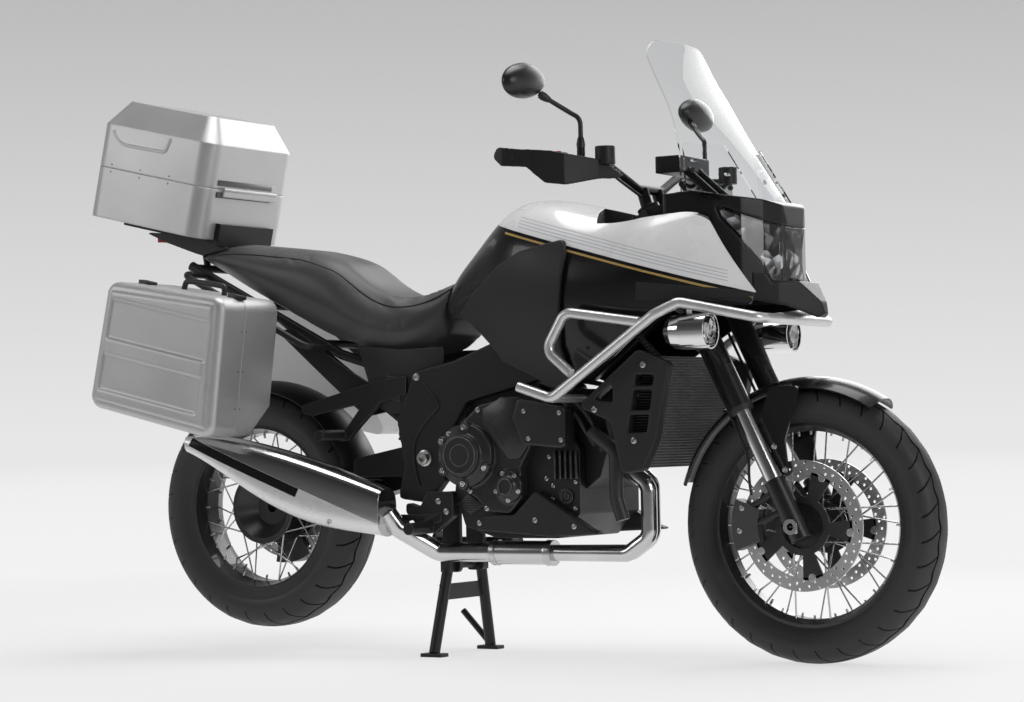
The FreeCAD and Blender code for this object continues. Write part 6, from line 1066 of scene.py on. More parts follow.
cover_paint = finish_material("engine_cover_paint", grey(0.030, 0.001), CASTING_EDGE_WEAR_AND_HIGHLIGHT, metal=0.3, drift=0.08,
                              grain_scale=900, grain_depth=0.2, smoothest=0.24, roughest=0.34, edge_radius=0.0030,
                              edge_wear=0.7)
dress(cover_paint, "engine_covers")


def side_depth(node, x, z, side=-1):
    """Where a node's face lies at a lengthwise and upward place, seen from one side."""
    return side_hit(node, x, z, side)[1].y


def flat_plate(name, corners, node, thick, rise=0.35, side=-1, touch=None):
    """A plate with bevelled edges, laid flat on a node's face by its corners seen from the side. It sits at the
    depth of its middle, or of the place where it touches."""
    clear_choice()
    bpy.ops.mesh.primitive_circle_add(vertices=len(corners), fill_type="NGON")
    plate = bpy.context.object
    plate.name = name
    middle = touch or [sum(values) / len(corners) for values in zip(*corners)]
    depth = side_depth(node, *middle, side) - side * thick * rise
    for corner, (x, z) in zip(plate.data.vertices, corners):
        corner.co = (x, depth, z)
    bpy.ops.object.mode_set(mode="EDIT")
    bpy.ops.mesh.select_all(action="SELECT")
    bpy.ops.mesh.extrude_region_move(TRANSFORM_OT_translate={"value": (0, side * thick, 0)})
    bpy.ops.mesh.select_all(action="SELECT")
    bpy.ops.mesh.normals_make_consistent(inside=False)
    bpy.ops.mesh.bevel(offset=thick * 0.4, segments=2, affect="EDGES", clamp_overlap=True)
    bpy.ops.object.mode_set(mode="OBJECT")
    smooth_piece(plate, degrees=40)
    return plate


def face_ring(name, place, radii, node, proud):
    """A raised ring on the right-hand face of a node, about a place seen from the side."""
    x, z = place
    depth = side_depth(node, x, z)
    near, far = depth - proud, depth + RING_SINK
    inner, outer = radii
    section = [(near, inner), (far, inner + RING_DRAFT), (far, outer - RING_DRAFT), (near, outer)]
    ring = spun_ring(name, (x, 0, z), section, steps=56)
    smooth_piece(ring, degrees=40)
    return ring


def circle_of(place, radius, turns):
    """Places round a centre, seen from the side, at turns in degrees."""
    x, z = place
    return [(x + radius * math.cos(math.radians(turn)), z + radius * math.sin(math.radians(turn))) for turn in turns]


rings = [face_ring("clutch_ring", CLUTCH_PLACE, (0.044, 0.047), "engine_covers", proud=0.0016),
         face_ring("clutch_step", CLUTCH_PLACE, (0.026, 0.028), "engine_covers", proud=0.001),
         face_ring("pump_ring", PUMP_PLACE, (0.017, 0.021), "engine_covers", proud=0.0025)]
take_on(joined("cover_rings", *rings), cover_paint, "chassis")
around = circle_of(CLUTCH_PLACE, CLUTCH_BOLT_R, CLUTCH_BOLT_TURNS)
facing_out = Matrix.Rotation(math.pi / 2, 4, "X")
targets = [Matrix.Translation((x, side_depth("engine_covers", x, z), z)) @ facing_out for x, z in around]
lobes = copies_of(turned_pin("lobe", LOBE_SECTION, sides=20), "cover_lobes", targets)
smooth_piece(lobes, degrees=40)
take_on(lobes, cover_paint, "chassis")
clutch_bolts = bolts_on("clutch_bolts", "engine_covers", around, radius=0.0062)
clutch_bolts.data.transform(Matrix.Translation((0, -LOBE_PROUD, 0)))
bolts_on("pump_bolts", "engine_covers", circle_of(PUMP_PLACE, PUMP_BOLT_R, PUMP_BOLT_TURNS), radius=0.0046)
bolts_on("cover_bolts_right", "engine_covers", RIM_BOLTS, radius=0.0052)
around = circle_of(LEFT_COVER_PLACE, LEFT_COVER_BOLT_R, [360 / LEFT_COVER_BOLTS * t for t in range(LEFT_COVER_BOLTS)])
bolts_on("cover_bolts_left", "engine_covers", around, radius=0.0052, side=1)
bolts_on("box_bolts", "engine_covers", BOX_BOLTS, radius=0.0045)
lid = flat_plate("actuator_lid", LID_CORNERS, "engine_covers", LID_T, rise=0.2)
take_on(lid, cover_paint, "chassis")
panel = flat_plate("actuator_panel", PANEL_CORNERS, "engine_covers", PANEL_T)
panel.data.transform(Matrix.Translation((0, -PANEL_OUT, 0)))
take_on(panel, casting, "chassis")
plug = joined("side_plug", face_ring("plug_rim", PLUG_PLACE, (0.013, 0.019), "engine_block", proud=0.005),
              face_ring("plug_boss", PLUG_PLACE, (0.003, 0.009), "engine_block", proud=0.004))
take_on(plug, cover_paint, "chassis")
bolts_on("block_bolts", "engine_block", BLOCK_BOLTS, radius=0.0045)
bolts_on("block_bolts_left", "engine_block", BLOCK_BOLTS, radius=0.0045, side=1)
fin = worked_block("fin", FIN_SIZE, bevel=0.0012, inset=0.0006)
first, last, count = FIN_ROW
places = []
for index in range(count):
    x = first + (last - first) * index / (count - 1)
    for side, _ in HANDS:
        y = side_depth("engine_block", x, FIN_HEIGHT, side) + side * FIN_SIZE[1] * 0.3
        places.append(Matrix.Translation((x, y, FIN_HEIGHT)))
take_on(copies_of(fin, "cylinder_fins", places), cover_paint, "chassis")
moulded_copy("engine_covers", cover_paint, "chassis", voxel=0.0026, rounds=3)


# Exhaust
# Polished steel header pipes join under the engine and run to a large silencer of satin steel, which has a
# bright heat shield with a long dark recess. Steel bands clamp the pipes together.
RECESS_LINE = ((-0.726, 0.552), (-0.430, 0.418))
RECESS_HALF = 0.0115
RECESS_BLACK = grey(0.012)
SATIN_STEEL = grey(0.60)
SHIELD_STEEL = grey(0.80)
SHIELD_ROUGH = 0.15
SHIELD_METAL = 0.55
SHIELD_FALL = -0.052
SHIELD_EDGE_HALF = 0.0012
SHIELD_BOLTS = [(-0.349, 0.345), (-0.220, 0.342), (-0.470, 0.545)]
CLAMP_R = 0.0305
CLAMPS = {"header_clamp": (0.188, 0.010), "collector_clamp": (0.030, 0.008)}
CLAMP_LINE = (-0.100, 0.262)
# A clamp's section: shares of its half width, and of the pipe's radius
CLAMP_SECTION = [(-1, 0.97), (-1, 1.05), (-0.6, 1.07), (-0.5, 1.04), (0.5, 1.04), (0.6, 1.07), (1, 1.05), (1, 0.97)]
pipe_steel = finish_material("polished_steel", grey(0.66, -0.005), grey(0.85), metal=1.0, drift=0.10, grain_scale=500,
                             grain_depth=0.05, smoothest=0.14, roughest=0.24, edge_radius=0.001)
dress(pipe_steel, "exhaust_headers")
silencer_steel = finish_material("silencer_steel", SATIN_STEEL, RUBBED_AND_HIGHLIGHTED_STEEL, metal=1.0, drift=0.08, grain_scale=700,
                                 grain_depth=0.08, smoothest=0.24, roughest=0.34, edge_radius=0.003)


def line_distance(tree, parts, ends):
    """How far a point seen from the side lies above a line, and how far along it as a share."""
    (x0, z0), (x1, z1) = ends
    length = math.dist(*ends)
    way_x, way_z = (x1 - x0) / length, (z1 - z0) / length
    from_x = sum_node(tree, "SUBTRACT", parts["X"], x0)
    from_z = sum_node(tree, "SUBTRACT", parts["Z"], z0)
    up = sum_node(tree, "SUBTRACT", sum_node(tree, "MULTIPLY", from_z, way_x),
                  sum_node(tree, "MULTIPLY", from_x, way_z))
    along = sum_node(tree, "ADD", sum_node(tree, "MULTIPLY", from_x, way_x),
                     sum_node(tree, "MULTIPLY", from_z, way_z))
    return up, sum_node(tree, "DIVIDE", along, length)


def between(tree, value, low, high):
    """A mask that is 1 where the value lies between two numbers."""
    return sum_node(tree, "MULTIPLY", sum_node(tree, "GREATER_THAN", value, low),
                    sum_node(tree, "LESS_THAN", value, high))


tree = silencer_steel.node_tree
up, along = line_distance(tree, split(tree, object_place(tree)), RECESS_LINE)
recess = sum_node(tree, "MULTIPLY", between(tree, up, -RECESS_HALF, RECESS_HALF), between(tree, along, 0.0, 1.0))
surface = tree.nodes["surface"].outputs
body = span_node(tree, up, RECESS_HALF, RECESS_HALF * 1.1)
shield = blend_node(tree, body, SHIELD_STEEL, surface["Colour"])
feed(tree, "Base Color", blend_node(tree, recess, shield, RECESS_BLACK))
feed(tree, "Roughness", span_node(tree, body, 0.0, 1.0, surface["Roughness"], SHIELD_ROUGH))
feed(tree, "Metallic", span_node(tree, body, 0.0, 1.0, SHIELD_METAL, 1.0))
shield_edge = between(tree, up, SHIELD_FALL - SHIELD_EDGE_HALF, SHIELD_FALL + SHIELD_EDGE_HALF)
sunk = sum_node(tree, "MAXIMUM", recess, shield_edge)
raise_up(tree, sum_node(tree, "SUBTRACT", 1.0, sunk), strength=0.8, distance=0.003)
dress(silencer_steel, "silencer")
bolts_on("shield_bolts", "silencer", SHIELD_BOLTS, radius=0.0058)
band_steel = finish_material("clamp_steel", SATIN_STEEL, RUBBED_AND_HIGHLIGHTED_STEEL, metal=1.0, drift=0.08, smoothest=0.22,
                             roughest=0.34, edge_radius=0.001)
for name, (x, half) in CLAMPS.items():
    band = turned_pin(name, [(half * share, CLAMP_R * wide) for share, wide in CLAMP_SECTION], sides=40)
    band.data.transform(Matrix.Translation((x, *CLAMP_LINE)) @ facing(Vector((1, 0, 0))))
    smooth_piece(band, degrees=40)
    take_on(band, band_steel, "chassis")


# Radiator and its guards
# A black finned core leans behind the front wheel between two bolted guards of grained grey plastic. A pan of
# the same plastic closes the engine from below, and a moulded rubber pipe runs down to the pump.
CORE_BLACK = grey(0.013, 0.001)
# Colour of the fin crests, a painted highlight.
CORE_RIDGE_HIGHLIGHT = grey(0.075, 0.001)
FIN_PITCH = 0.0068
TUBE_PITCH = 0.0021
TUBE_SHARE = 0.25
PLASTIC_GREY = grey(0.020, 0.0005)
SHROUD_BOLTS = [(0.526, 0.715), (0.498, 0.536), (0.392, 0.612)]
PAN_BOLTS = [(0.300, 0.330), (0.190, 0.345), (0.362, 0.318), (0.030, 0.338)]
core = finish_material("radiator_core", CORE_BLACK, grey(0.08), metal=0.4, smoothest=0.35, roughest=0.5,
                       grain_depth=0.05, edge_radius=0.001)
tree = core.node_tree
parts = split(tree, object_place(tree))
fins = sum_node(tree, "SINE", sum_node(tree, "MULTIPLY", parts["Z"], math.tau / FIN_PITCH))
columns = sum_node(tree, "SINE", sum_node(tree, "MULTIPLY", parts["Y"], math.tau / TUBE_PITCH))
relief = sum_node(tree, "ADD", fins, sum_node(tree, "MULTIPLY", columns, TUBE_SHARE))
raise_up(tree, relief, strength=0.9, distance=0.002)
# The crests of the fin relief are painted lighter, a painted highlight on the black core.
ridge_highlight = span_node(tree, fins, 0.4, 1.0)
feed(tree, "Base Color", blend_node(tree, ridge_highlight, tree.nodes["surface"].outputs["Colour"], CORE_RIDGE_HIGHLIGHT))
dress(core, "radiator")
grey_plastic = finish_material("grained_grey_plastic", PLASTIC_GREY, grey(0.15), specular=0.32, drift=0.05,
                               grain_scale=1500, grain_depth=0.4, smoothest=0.40, roughest=0.54, edge_radius=0.0025,
                               edge_wear=0.35)
dress(grey_plastic, "radiator_shrouds", "belly_pan", "knee_panels")
dress(matt_plastic, "rear_hugger")
hose_rubber = finish_material("hose_rubber", grey(0.028, 0.001), grey(0.1), drift=0.08, grain_scale=900,
                              grain_depth=0.2, smoothest=0.42, roughest=0.55, edge_radius=0.001)
dress(hose_rubber, "coolant_pipe")
bolts_on_both("shroud_bolts", "radiator_shrouds", SHROUD_BOLTS, radius=0.0062)
bolts_on_both("pan_bolts", "belly_pan", PAN_BOLTS, radius=0.0052)
moulded_copy("belly_pan", grey_plastic, "chassis", voxel=0.0030, rounds=4)
moulded_copy("radiator_shrouds", grey_plastic, "chassis", voxel=0.0028, rounds=2)


# Engine hoses
# Two rubber hoses a side leave the cylinder heads, loop down over the casting and go back into it. They are
# smooth moulded tube, held by their own stiffness.
HOSE_ROUTES = [[(0.200, 0.105, 0.660), (0.235, 0.146, 0.650), (0.290, 0.154, 0.610), (0.318, 0.146, 0.560),
                (0.322, 0.105, 0.520)],
               [(0.150, 0.105, 0.690), (0.190, 0.142, 0.684), (0.262, 0.150, 0.660), (0.318, 0.150, 0.610),
                (0.345, 0.136, 0.560), (0.342, 0.105, 0.500)]]
HOSE_R = 0.0065
loops = [piping("loop", on_side(route, side), HOSE_R) for side, _ in HANDS for route in HOSE_ROUTES]
piping_set("engine_hoses", loops, hose_rubber, "chassis")


# Grilles and heel plates
# Small plates low on each side: a black grille with a honeycomb pattern on the engine, and a painted aluminium
# heel plate with one slot that is fixed to the footpeg's hanger.
GRILLE_CORNERS = [(-0.052, 0.384), (-0.020, 0.411), (0.026, 0.378), (-0.014, 0.358)]
CELL_WIDTH = 0.0085
CELL_HEIGHT = 0.0060
CELL_WALL = 0.0010
HEEL_CORNERS = [(-0.227, 0.359), (-0.191, 0.311), (-0.090, 0.341), (-0.086, 0.365), (-0.140, 0.359)]
HEEL_SLOT = [(-0.188, 0.342), (-0.183, 0.333), (-0.138, 0.345), (-0.140, 0.352)]
SLOT_INWARDS = 0.012
grille_black = finish_material("honeycomb_grille", CORE_BLACK, grey(0.08), smoothest=0.4, roughest=0.5,
                               grain_depth=0.05, edge_radius=0.001)
tree = grille_black.node_tree
parts = split(tree, object_place(tree))
flat_place = add_node(tree, "ShaderNodeCombineXYZ", X=parts["X"], Y=parts["Z"]).outputs[0]
walls = add_node(tree, "ShaderNodeTexBrick", Vector=flat_place, Scale=1.0, Mortar_Size=CELL_WALL, Mortar_Smooth=0.2,
                 Brick_Width=CELL_WIDTH, Row_Height=CELL_HEIGHT).outputs["Fac"]
# Painted shade and highlight: the cells are painted near black for the shade inside the holes, the walls lighter.
feed(tree, "Base Color", blend_node(tree, walls, grey(0.003), grey(0.06)))
raise_up(tree, walls, strength=1.0, distance=0.003)
for side, hand in HANDS:
    grille = flat_plate(f"lower_grille_{hand}", GRILLE_CORNERS, "engine_block", thick=0.004, rise=0.1, side=side)
    take_on(grille, grille_black, "chassis")
    heel = flat_plate(f"heel_plate_{hand}", HEEL_CORNERS, "footpegs", thick=0.0045, rise=0.3, side=side)
    slot = flat_plate("slot", HEEL_SLOT, "footpegs", thick=0.030, rise=0.0, side=side)
    slot.data.transform(Matrix.Translation((0, -side * SLOT_INWARDS, 0)))
    cut_with(heel, slot)
    take_on(heel, frame_paint, "chassis")


# Tank and fairings
# Painted plastic over the frame: gloss black panels with a matt grey inset, and a pearl white cover on top whose
# lower edge runs forward in one straight line. A gold line follows that edge below, fine silver lines above.
EDGE_START = (0.317, 1.009)
EDGE_SLOPE = math.tan(math.radians(15.5))
GOLD_LINE = (-0.0140, -0.0085)
GOLD_FROM = 0.12
SILVER_LINES = [(0.012, 0.0145), (0.020, 0.0225), (0.028, 0.0305), (0.036, 0.0385)]
SILVER_SPAN = (0.16, 0.74)
INSET_TOP = ((0.524, 0.911), (0.815, 0.878))
INSET_LOW = 0.867
INSET_ROUGH = 0.5
PANEL_COAT = 0.25
SILVER_INK = (0.50, 0.51, 0.53)
GOLD_INK = (0.40, 0.27, 0.09)
INSIDE_BLACK = grey(0.02)
# Where the white cover is black inside: its opening for the bar, and all that faces down
OPENING_SPAN = (0.295, 0.705)
OPENING_HALF = 0.196
OPENING_STEEP = 0.60
FACES_DOWN = -0.3
PANEL_SCREWS = [(0.705, 0.905), (0.360, 0.760), (0.462, 0.812)]


def edge_distance(tree, parts):
    """Height of a point above the straight lower edge of the white cover."""
    fall = sum_node(tree, "MULTIPLY", sum_node(tree, "SUBTRACT", parts["X"], EDGE_START[0]), EDGE_SLOPE)
    return sum_node(tree, "ADD", sum_node(tree, "SUBTRACT", parts["Z"], EDGE_START[1]), fall)


panel_black = finish_material("panel_black_paint", grey(0.0045, 0.0005), grey(0.04), coat=PANEL_COAT, specular=0.28,
                              drift=0.05, smoothest=0.2, roughest=0.28, grain_depth=0.0, edge_radius=0.002,
                              edge_wear=0.3)
tree = panel_black.node_tree
parts = split(tree, object_place(tree))
gold = sum_node(tree, "MULTIPLY", between(tree, edge_distance(tree, parts), *GOLD_LINE),
                sum_node(tree, "GREATER_THAN", parts["X"], GOLD_FROM))
over_top, along = line_distance(tree, parts, INSET_TOP)
deep = sum_node(tree, "MULTIPLY", sum_node(tree, "LESS_THAN", over_top, 0.0),
                sum_node(tree, "GREATER_THAN", parts["Z"], INSET_LOW))
inset = sum_node(tree, "MULTIPLY", between(tree, along, 0.0, 1.0), deep)
surface = tree.nodes["surface"].outputs
painted = blend_node(tree, gold, surface["Colour"], GOLD_INK)
feed(tree, "Base Color", blend_node(tree, inset, painted, PLASTIC_GREY))
feed(tree, "Roughness", span_node(tree, inset, 0.0, 1.0, surface["Roughness"], INSET_ROUGH))
feed(tree, "Coat Weight", span_node(tree, inset, 0.0, 1.0, PANEL_COAT, 0.0))
dress(panel_black, "fuel_tank", "side_fairings")
bolts_on_both("panel_screws", "side_fairings", PANEL_SCREWS, radius=0.0042, material=bolt_black)

pearl = finish_material("pearl_white_paint", grey(0.78, 0.01), grey(0.9), coat=1.0, drift=0.02, smoothest=0.25,
                        roughest=0.33, grain_depth=0.0, edge_radius=0.003, edge_wear=0.3)
tree = pearl.node_tree
parts = split(tree, object_place(tree))
above = edge_distance(tree, parts)
lines = between(tree, above, *SILVER_LINES[0])
for span in SILVER_LINES[1:]:
    lines = sum_node(tree, "MAXIMUM", lines, between(tree, above, *span))
lines = sum_node(tree, "MULTIPLY", lines, between(tree, parts["X"], *SILVER_SPAN))
upwards = split(tree, add_node(tree, "ShaderNodeNewGeometry").outputs["Normal"])["Z"]
steep = between(tree, upwards, -OPENING_STEEP, OPENING_STEEP)
opening = sum_node(tree, "MULTIPLY", between(tree, parts["X"], *OPENING_SPAN),
                   sum_node(tree, "MULTIPLY", steep, between(tree, parts["Y"], -OPENING_HALF, OPENING_HALF)))
inside = sum_node(tree, "MAXIMUM", opening, sum_node(tree, "LESS_THAN", upwards, FACES_DOWN))
inked = blend_node(tree, lines, tree.nodes["surface"].outputs["Colour"], SILVER_INK)
feed(tree, "Base Color", blend_node(tree, inside, inked, INSIDE_BLACK))
feed(tree, "Coat Weight", sum_node(tree, "SUBTRACT", 1.0, inside))
dress(pearl, "upper_cover")
moulded_copy("knee_panels", grey_plastic, "chassis", voxel=0.0032, rounds=4)


# Headlamp
# A clear polycarbonate lens wraps the nose over a chromed, faceted reflector with three round bowls a side. The
# reflector is drawn in from the lens, and the bowls are turned and set into it.
LENS_TINT = (0.96, 0.97, 0.98)
REFLECTOR_INSET = 0.007
FACETS = 34.0
# Colour of the facets that are painted dark as painted reflections.
FACET_DARK_REFLECTION = grey(0.03)
# Each bowl's place on the right, its heading and its radius
BOWLS = [((0.716, -0.118, 1.052), (0.86, -0.5, 0.05), 0.030), ((0.772, -0.090, 1.008), (0.9, -0.42, 0.02), 0.036),
         ((0.798, -0.062, 0.948), (0.94, -0.32, 0.0), 0.026)]
# A bowl's section as shares of its radius, from its back round the rim and down to the bulb, and the rim's depth
BOWL_BACK = [(-0.9, 0.35), (-0.75, 0.62), (-0.35, 0.9), (0.0, 1.0)]
BOWL_FRONT = [(-0.4, 0.7), (-0.6, 0.3), (-0.1, 0.16), (0.0, 0.05)]
BOWL_RIM = 0.003


def clear_plastic(name, tint, ior, coat, ripple_scale, ripple):
    """Clear polycarbonate with the faint ripple of a moulding."""
    material = bpy.data.materials.new(name)
    tree = node_tree(material)
    shader = add_node(tree, "ShaderNodeBsdfPrincipled", Base_Color=(*tint, 1), Roughness=0.0, IOR=ior,
                      Transmission_Weight=1.0, Coat_Weight=coat, Coat_Roughness=0.0)
    noise = add_node(tree, "ShaderNodeTexNoise", Vector=object_place(tree), Scale=ripple_scale)
    wave = add_node(tree, "ShaderNodeBump", Strength=ripple, Distance=0.002, Height=noise.outputs["Fac"])
    tree.links.new(wave.outputs[0], shader.inputs["Normal"])
    add_node(tree, "ShaderNodeOutputMaterial", Surface=shader.outputs[0])
    return material


dress(clear_plastic("clear_lens", LENS_TINT, ior=1.08, coat=1.0, ripple_scale=9.0, ripple=0.03), "headlamp")
reflector_finish = finish_material("faceted_reflector", grey(0.42, 0.01), grey(0.9), metal=1.0, drift=0.3,
                                   smoothest=0.06, roughest=0.16, grain_depth=0.0, edge_radius=0.001)
tree = reflector_finish.node_tree
cells = add_node(tree, "ShaderNodeTexVoronoi", Vector=object_place(tree), Scale=FACETS).outputs
raise_up(tree, cells["Distance"], strength=1.0, distance=0.012)
# Painted reflections: random facets of the chrome reflector are painted near black, the rest keep the bright chrome
# colour.
bright = span_node(tree, split(tree, cells["Color"])["X"], 0.35, 0.6)
feed(tree, "Base Color", blend_node(tree, bright, FACET_DARK_REFLECTION, tree.nodes["surface"].outputs["Colour"]))

reflector = node_copy("headlamp", "lamp_reflector", 0.0002)
bpy.ops.object.mode_set(mode="EDIT")
bpy.ops.mesh.select_all(action="SELECT")
bpy.ops.mesh.dissolve_limited(angle_limit=math.radians(2))
bpy.ops.mesh.normals_make_consistent(inside=False)
bpy.ops.transform.shrink_fatten(value=-REFLECTOR_INSET)
bpy.ops.object.mode_set(mode="OBJECT")
take_on(reflector, reflector_finish, "chassis")
chrome = finish_material("lamp_chrome", CHROME, grey(0.9), metal=1.0, drift=0.04, smoothest=0.05, roughest=0.1,
                         grain_depth=0.0, edge_radius=0.001)
bowls = []
for place, way, radius in BOWLS:
    rim = [(BOWL_RIM, radius * 1.06), (BOWL_RIM, radius * 0.92)]
    back, front = [[(radius * out, radius * wide) for out, wide in part] for part in (BOWL_BACK, BOWL_FRONT)]
    for side in (1, -1):
        bowl = turned_pin("bowl", back + rim + front, sides=28)
        middle, heading = on_side([place, way], side)
        bowl.data.transform(Matrix.Translation(middle) @ facing(heading))
        bowls.append(bowl)
bowls = joined("lamp_bowls", *bowls)
smooth_piece(bowls, degrees=40)
take_on(bowls, chrome, "chassis")


# Nose, instruments and tail
# The brow over the headlamp, the beak below it, the instrument housing and the tail are moulded in one smoother
# black plastic, with rounded edges, and are screwed to their stays from behind.
cowl_plastic = finish_material("cowl_plastic", grey(0.011, 0.0005), grey(0.1), specular=0.28, drift=0.05,
                               grain_scale=1400, grain_depth=0.2, smoothest=0.28, roughest=0.4, edge_radius=0.003,
                               edge_wear=0.3)
dress(cowl_plastic, "front_cowl", "beak", "instruments", "top_case_plate", "tail_unit")
for node, voxel in (("front_cowl", 0.0028), ("beak", 0.0025), ("instruments", 0.0025)):
    moulded_copy(node, cowl_plastic, "chassis", voxel=voxel, rounds=4)


# Screen
# A tall clear screen, rolled back at its edges, with two clear side deflectors that are held by black bolts
# with rubber washers.
SCREEN_TINT = (0.97, 0.98, 0.99)
SCREEN_BOLTS = [(0.651, 1.172), (0.722, 1.128)]
screen_clear = clear_plastic("screen_clear", SCREEN_TINT, ior=1.12, coat=0.0, ripple_scale=4.0, ripple=0.02)
dress(screen_clear, "windscreen", "wind_deflectors")
bolts_on_both("screen_bolts", "wind_deflectors", SCREEN_BOLTS, radius=0.0052, material=bolt_black)


# Crash bars and fog lamps
# Satin silver tube with turned end caps, and two chromed lamp cans with a clear ribbed lens each, clamped
# under the bars.
FOG_PLACE = (0.701, 0.226, 0.790)
FOG_LENS = [(0.0, 0.034), (0.0022, 0.031), (0.0030, 0.026), (0.0022, 0.021), (0.0034, 0.016), (0.0024, 0.010),
            (0.0036, 0.005)]
bar_silver = finish_material("bar_silver", grey(0.68, 0.005), RUBBED_AND_HIGHLIGHTED_STEEL, metal=0.7, drift=0.05, grain_scale=900,
                             grain_depth=0.1, smoothest=0.28, roughest=0.36, edge_radius=0.001)
dress(bar_silver, "crash_bars")
dress(chrome, "fog_lamps")
forwards = Matrix.Rotation(math.pi / 2, 4, "Y")
places = [Matrix.Translation(on_side([FOG_PLACE], side)[0]) @ forwards for side, _ in HANDS]
fog_glass = copies_of(turned_pin("fog_glass", FOG_LENS, sides=40), "fog_lamp_lenses", places)
smooth_piece(fog_glass, degrees=20)
# The lenses take the reflector's finish, with its facets painted dark and bright as painted reflections.
take_on(fog_glass, reflector_finish, "chassis")


# Saddle
# One long foam saddle under a grained vinyl cover with a piped seam along each side. It is remeshed, and
# puffed out a few millimetres with cloth under slight pressure while its underside is held.
SADDLE_VOXEL = 0.0065
SADDLE_SHRINK = 0.003
SADDLE_PRESSURE = 3.0
SADDLE_FRAMES = 16
SADDLE_CAP = 0.007
UNDERSIDE = -0.35
PIPING_R = 0.0017
PIPING_DROP = 0.026
PIPING_STATIONS = 22
saddle = node_copy("seat", "saddle")
relax(saddle, SADDLE_VOXEL, 4)
bpy.ops.object.mode_set(mode="EDIT")
bpy.ops.mesh.select_all(action="SELECT")
bpy.ops.transform.shrink_fatten(value=-SADDLE_SHRINK)
bpy.ops.object.mode_set(mode="OBJECT")
start_places = [corner.co.copy() for corner in saddle.data.vertices]
held = saddle.vertex_groups.new(name="held")
held.add([corner.index for corner in saddle.data.vertices if corner.normal.z < UNDERSIDE], 1.0, "REPLACE")
cloth = saddle.modifiers.new("cloth", "CLOTH")
cloth.settings.use_pressure = True
cloth.settings.uniform_pressure_force = SADDLE_PRESSURE
cloth.settings.effector_weights.gravity = 0
cloth.settings.vertex_group_mass = "held"
cloth.point_cache.frame_end = SADDLE_FRAMES
for frame_number in range(1, SADDLE_FRAMES + 1):
    bpy.context.scene.frame_set(frame_number)
bpy.ops.object.modifier_apply(modifier="cloth")
for corner, first in zip(saddle.data.vertices, start_places):
    move = corner.co - first
    if move.length > SADDLE_CAP:
        corner.co = first + move.normalized() * SADDLE_CAP
bpy.context.scene.frame_set(1)
smooth_piece(saddle, degrees=60)
vinyl = finish_material("grained_vinyl", grey(0.040, 0.001), grey(0.07), drift=0.08, grain_scale=850,
                        grain_depth=0.55, smoothest=0.38, roughest=0.50, edge_radius=0.003, edge_wear=0.2, sheen=0.15)
take_on(saddle, vinyl, "chassis", stands_for=["seat"])

saddle_low, saddle_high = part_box("seat")
seams = []
for side, _ in HANDS:
    places = []
    for index in range(PIPING_STATIONS):
        share = (index + 0.6) / PIPING_STATIONS
        x = saddle_low[0] + (saddle_high[0] - saddle_low[0]) * share
        hit, top, _, _ = saddle.ray_cast(Vector((x, 0, WELL_ABOVE)), Vector((0, 0, -1)))
        if not hit:
            continue
        hit, where, normal, _ = saddle.ray_cast(Vector((x, side * 0.5, top.z - PIPING_DROP)), Vector((0, -side, 0)))
        if hit:
            places.append(where + normal * PIPING_R * 0.3)
    seams.append(piping("seam", places, PIPING_R))
piping_set("saddle_piping", seams, rubber_trim, "chassis")


# Tail lamp
# A shallow bar of red acrylic with softened edges and a sunk face. It is moulded in one piece and clipped to the
# back of the tail.
TAIL_PLACE = (-1.061, 0, 1.105)
TAIL_SIZE = (0.110, 0.016, 0.020)
lamp_red = finish_material("lamp_red", (0.30, 0.006, 0.006), (0.5, 0.05, 0.05), coat=0.6, drift=0.04, smoothest=0.16,
                           roughest=0.22, grain_depth=0.0, edge_radius=0.001)
tail_lamp = worked_block("tail_lamp", TAIL_SIZE, bevel=0.003, inset=0.0012)
tail_turn = Matrix.Rotation(-math.pi / 2, 4, "Y") @ Matrix.Rotation(math.pi / 2, 4, "Z")
tail_lamp.data.transform(Matrix.Translation(TAIL_PLACE) @ tail_turn)
take_on(tail_lamp, lamp_red, "chassis")


# Side covers
# Matt plastic covers close the space between the saddle and the frame, each with a small grille, and a cast
# rail runs back from them under the saddle to the tail. All are bolted to the rear subframe.
RAIL_CORNERS = [(-0.620, 0.838), (-0.560, 0.842), (-0.398, 0.734), (-0.322, 0.690), (-0.300, 0.640), (-0.358, 0.620),
                (-0.456, 0.700)]
COVER_CORNERS = [(-0.360, 0.792), (-0.231, 0.778), (-0.100, 0.778), (-0.100, 0.735), (-0.190, 0.660),
                 (-0.225, 0.612), (-0.271, 0.616), (-0.322, 0.680)]
VENT_CORNERS = [(-0.272, 0.715), (-0.238, 0.709), (-0.224, 0.642), (-0.256, 0.650)]
SUBFRAME_TOUCH = (-0.200, 0.700)
SIDE_PLATES = [("tail_rail", RAIL_CORNERS, 0.010, 0.9, frame_paint, "frame_grey"),
               ("side_cover", COVER_CORNERS, 0.007, 0.3, grey_plastic, "plastic_dark"),
               ("side_vent", VENT_CORNERS, 0.003, -1.5, grille_black, "plastic_black")]
for side, hand in HANDS:
    for name, corners, thick, rise, material, slot in SIDE_PLATES:
        plate = flat_plate(f"{name}_{hand}", corners, "rear_subframe", thick, rise, side, SUBFRAME_TOUCH)
        take_on(plate, material, "chassis")


# Boxes
# Side and top boxes of pressed aluminium with a satin finish. The outer face of each side box is pressed with a
# raised rim, a sunk field and one broad band across it, which stiffen the sheet.
TILT = math.radians(13)
SIDE_BOX = {"centre": (-0.739, 0.774), "half": (0.206, 0.177), "face": 0.470, "inset": 0.020}
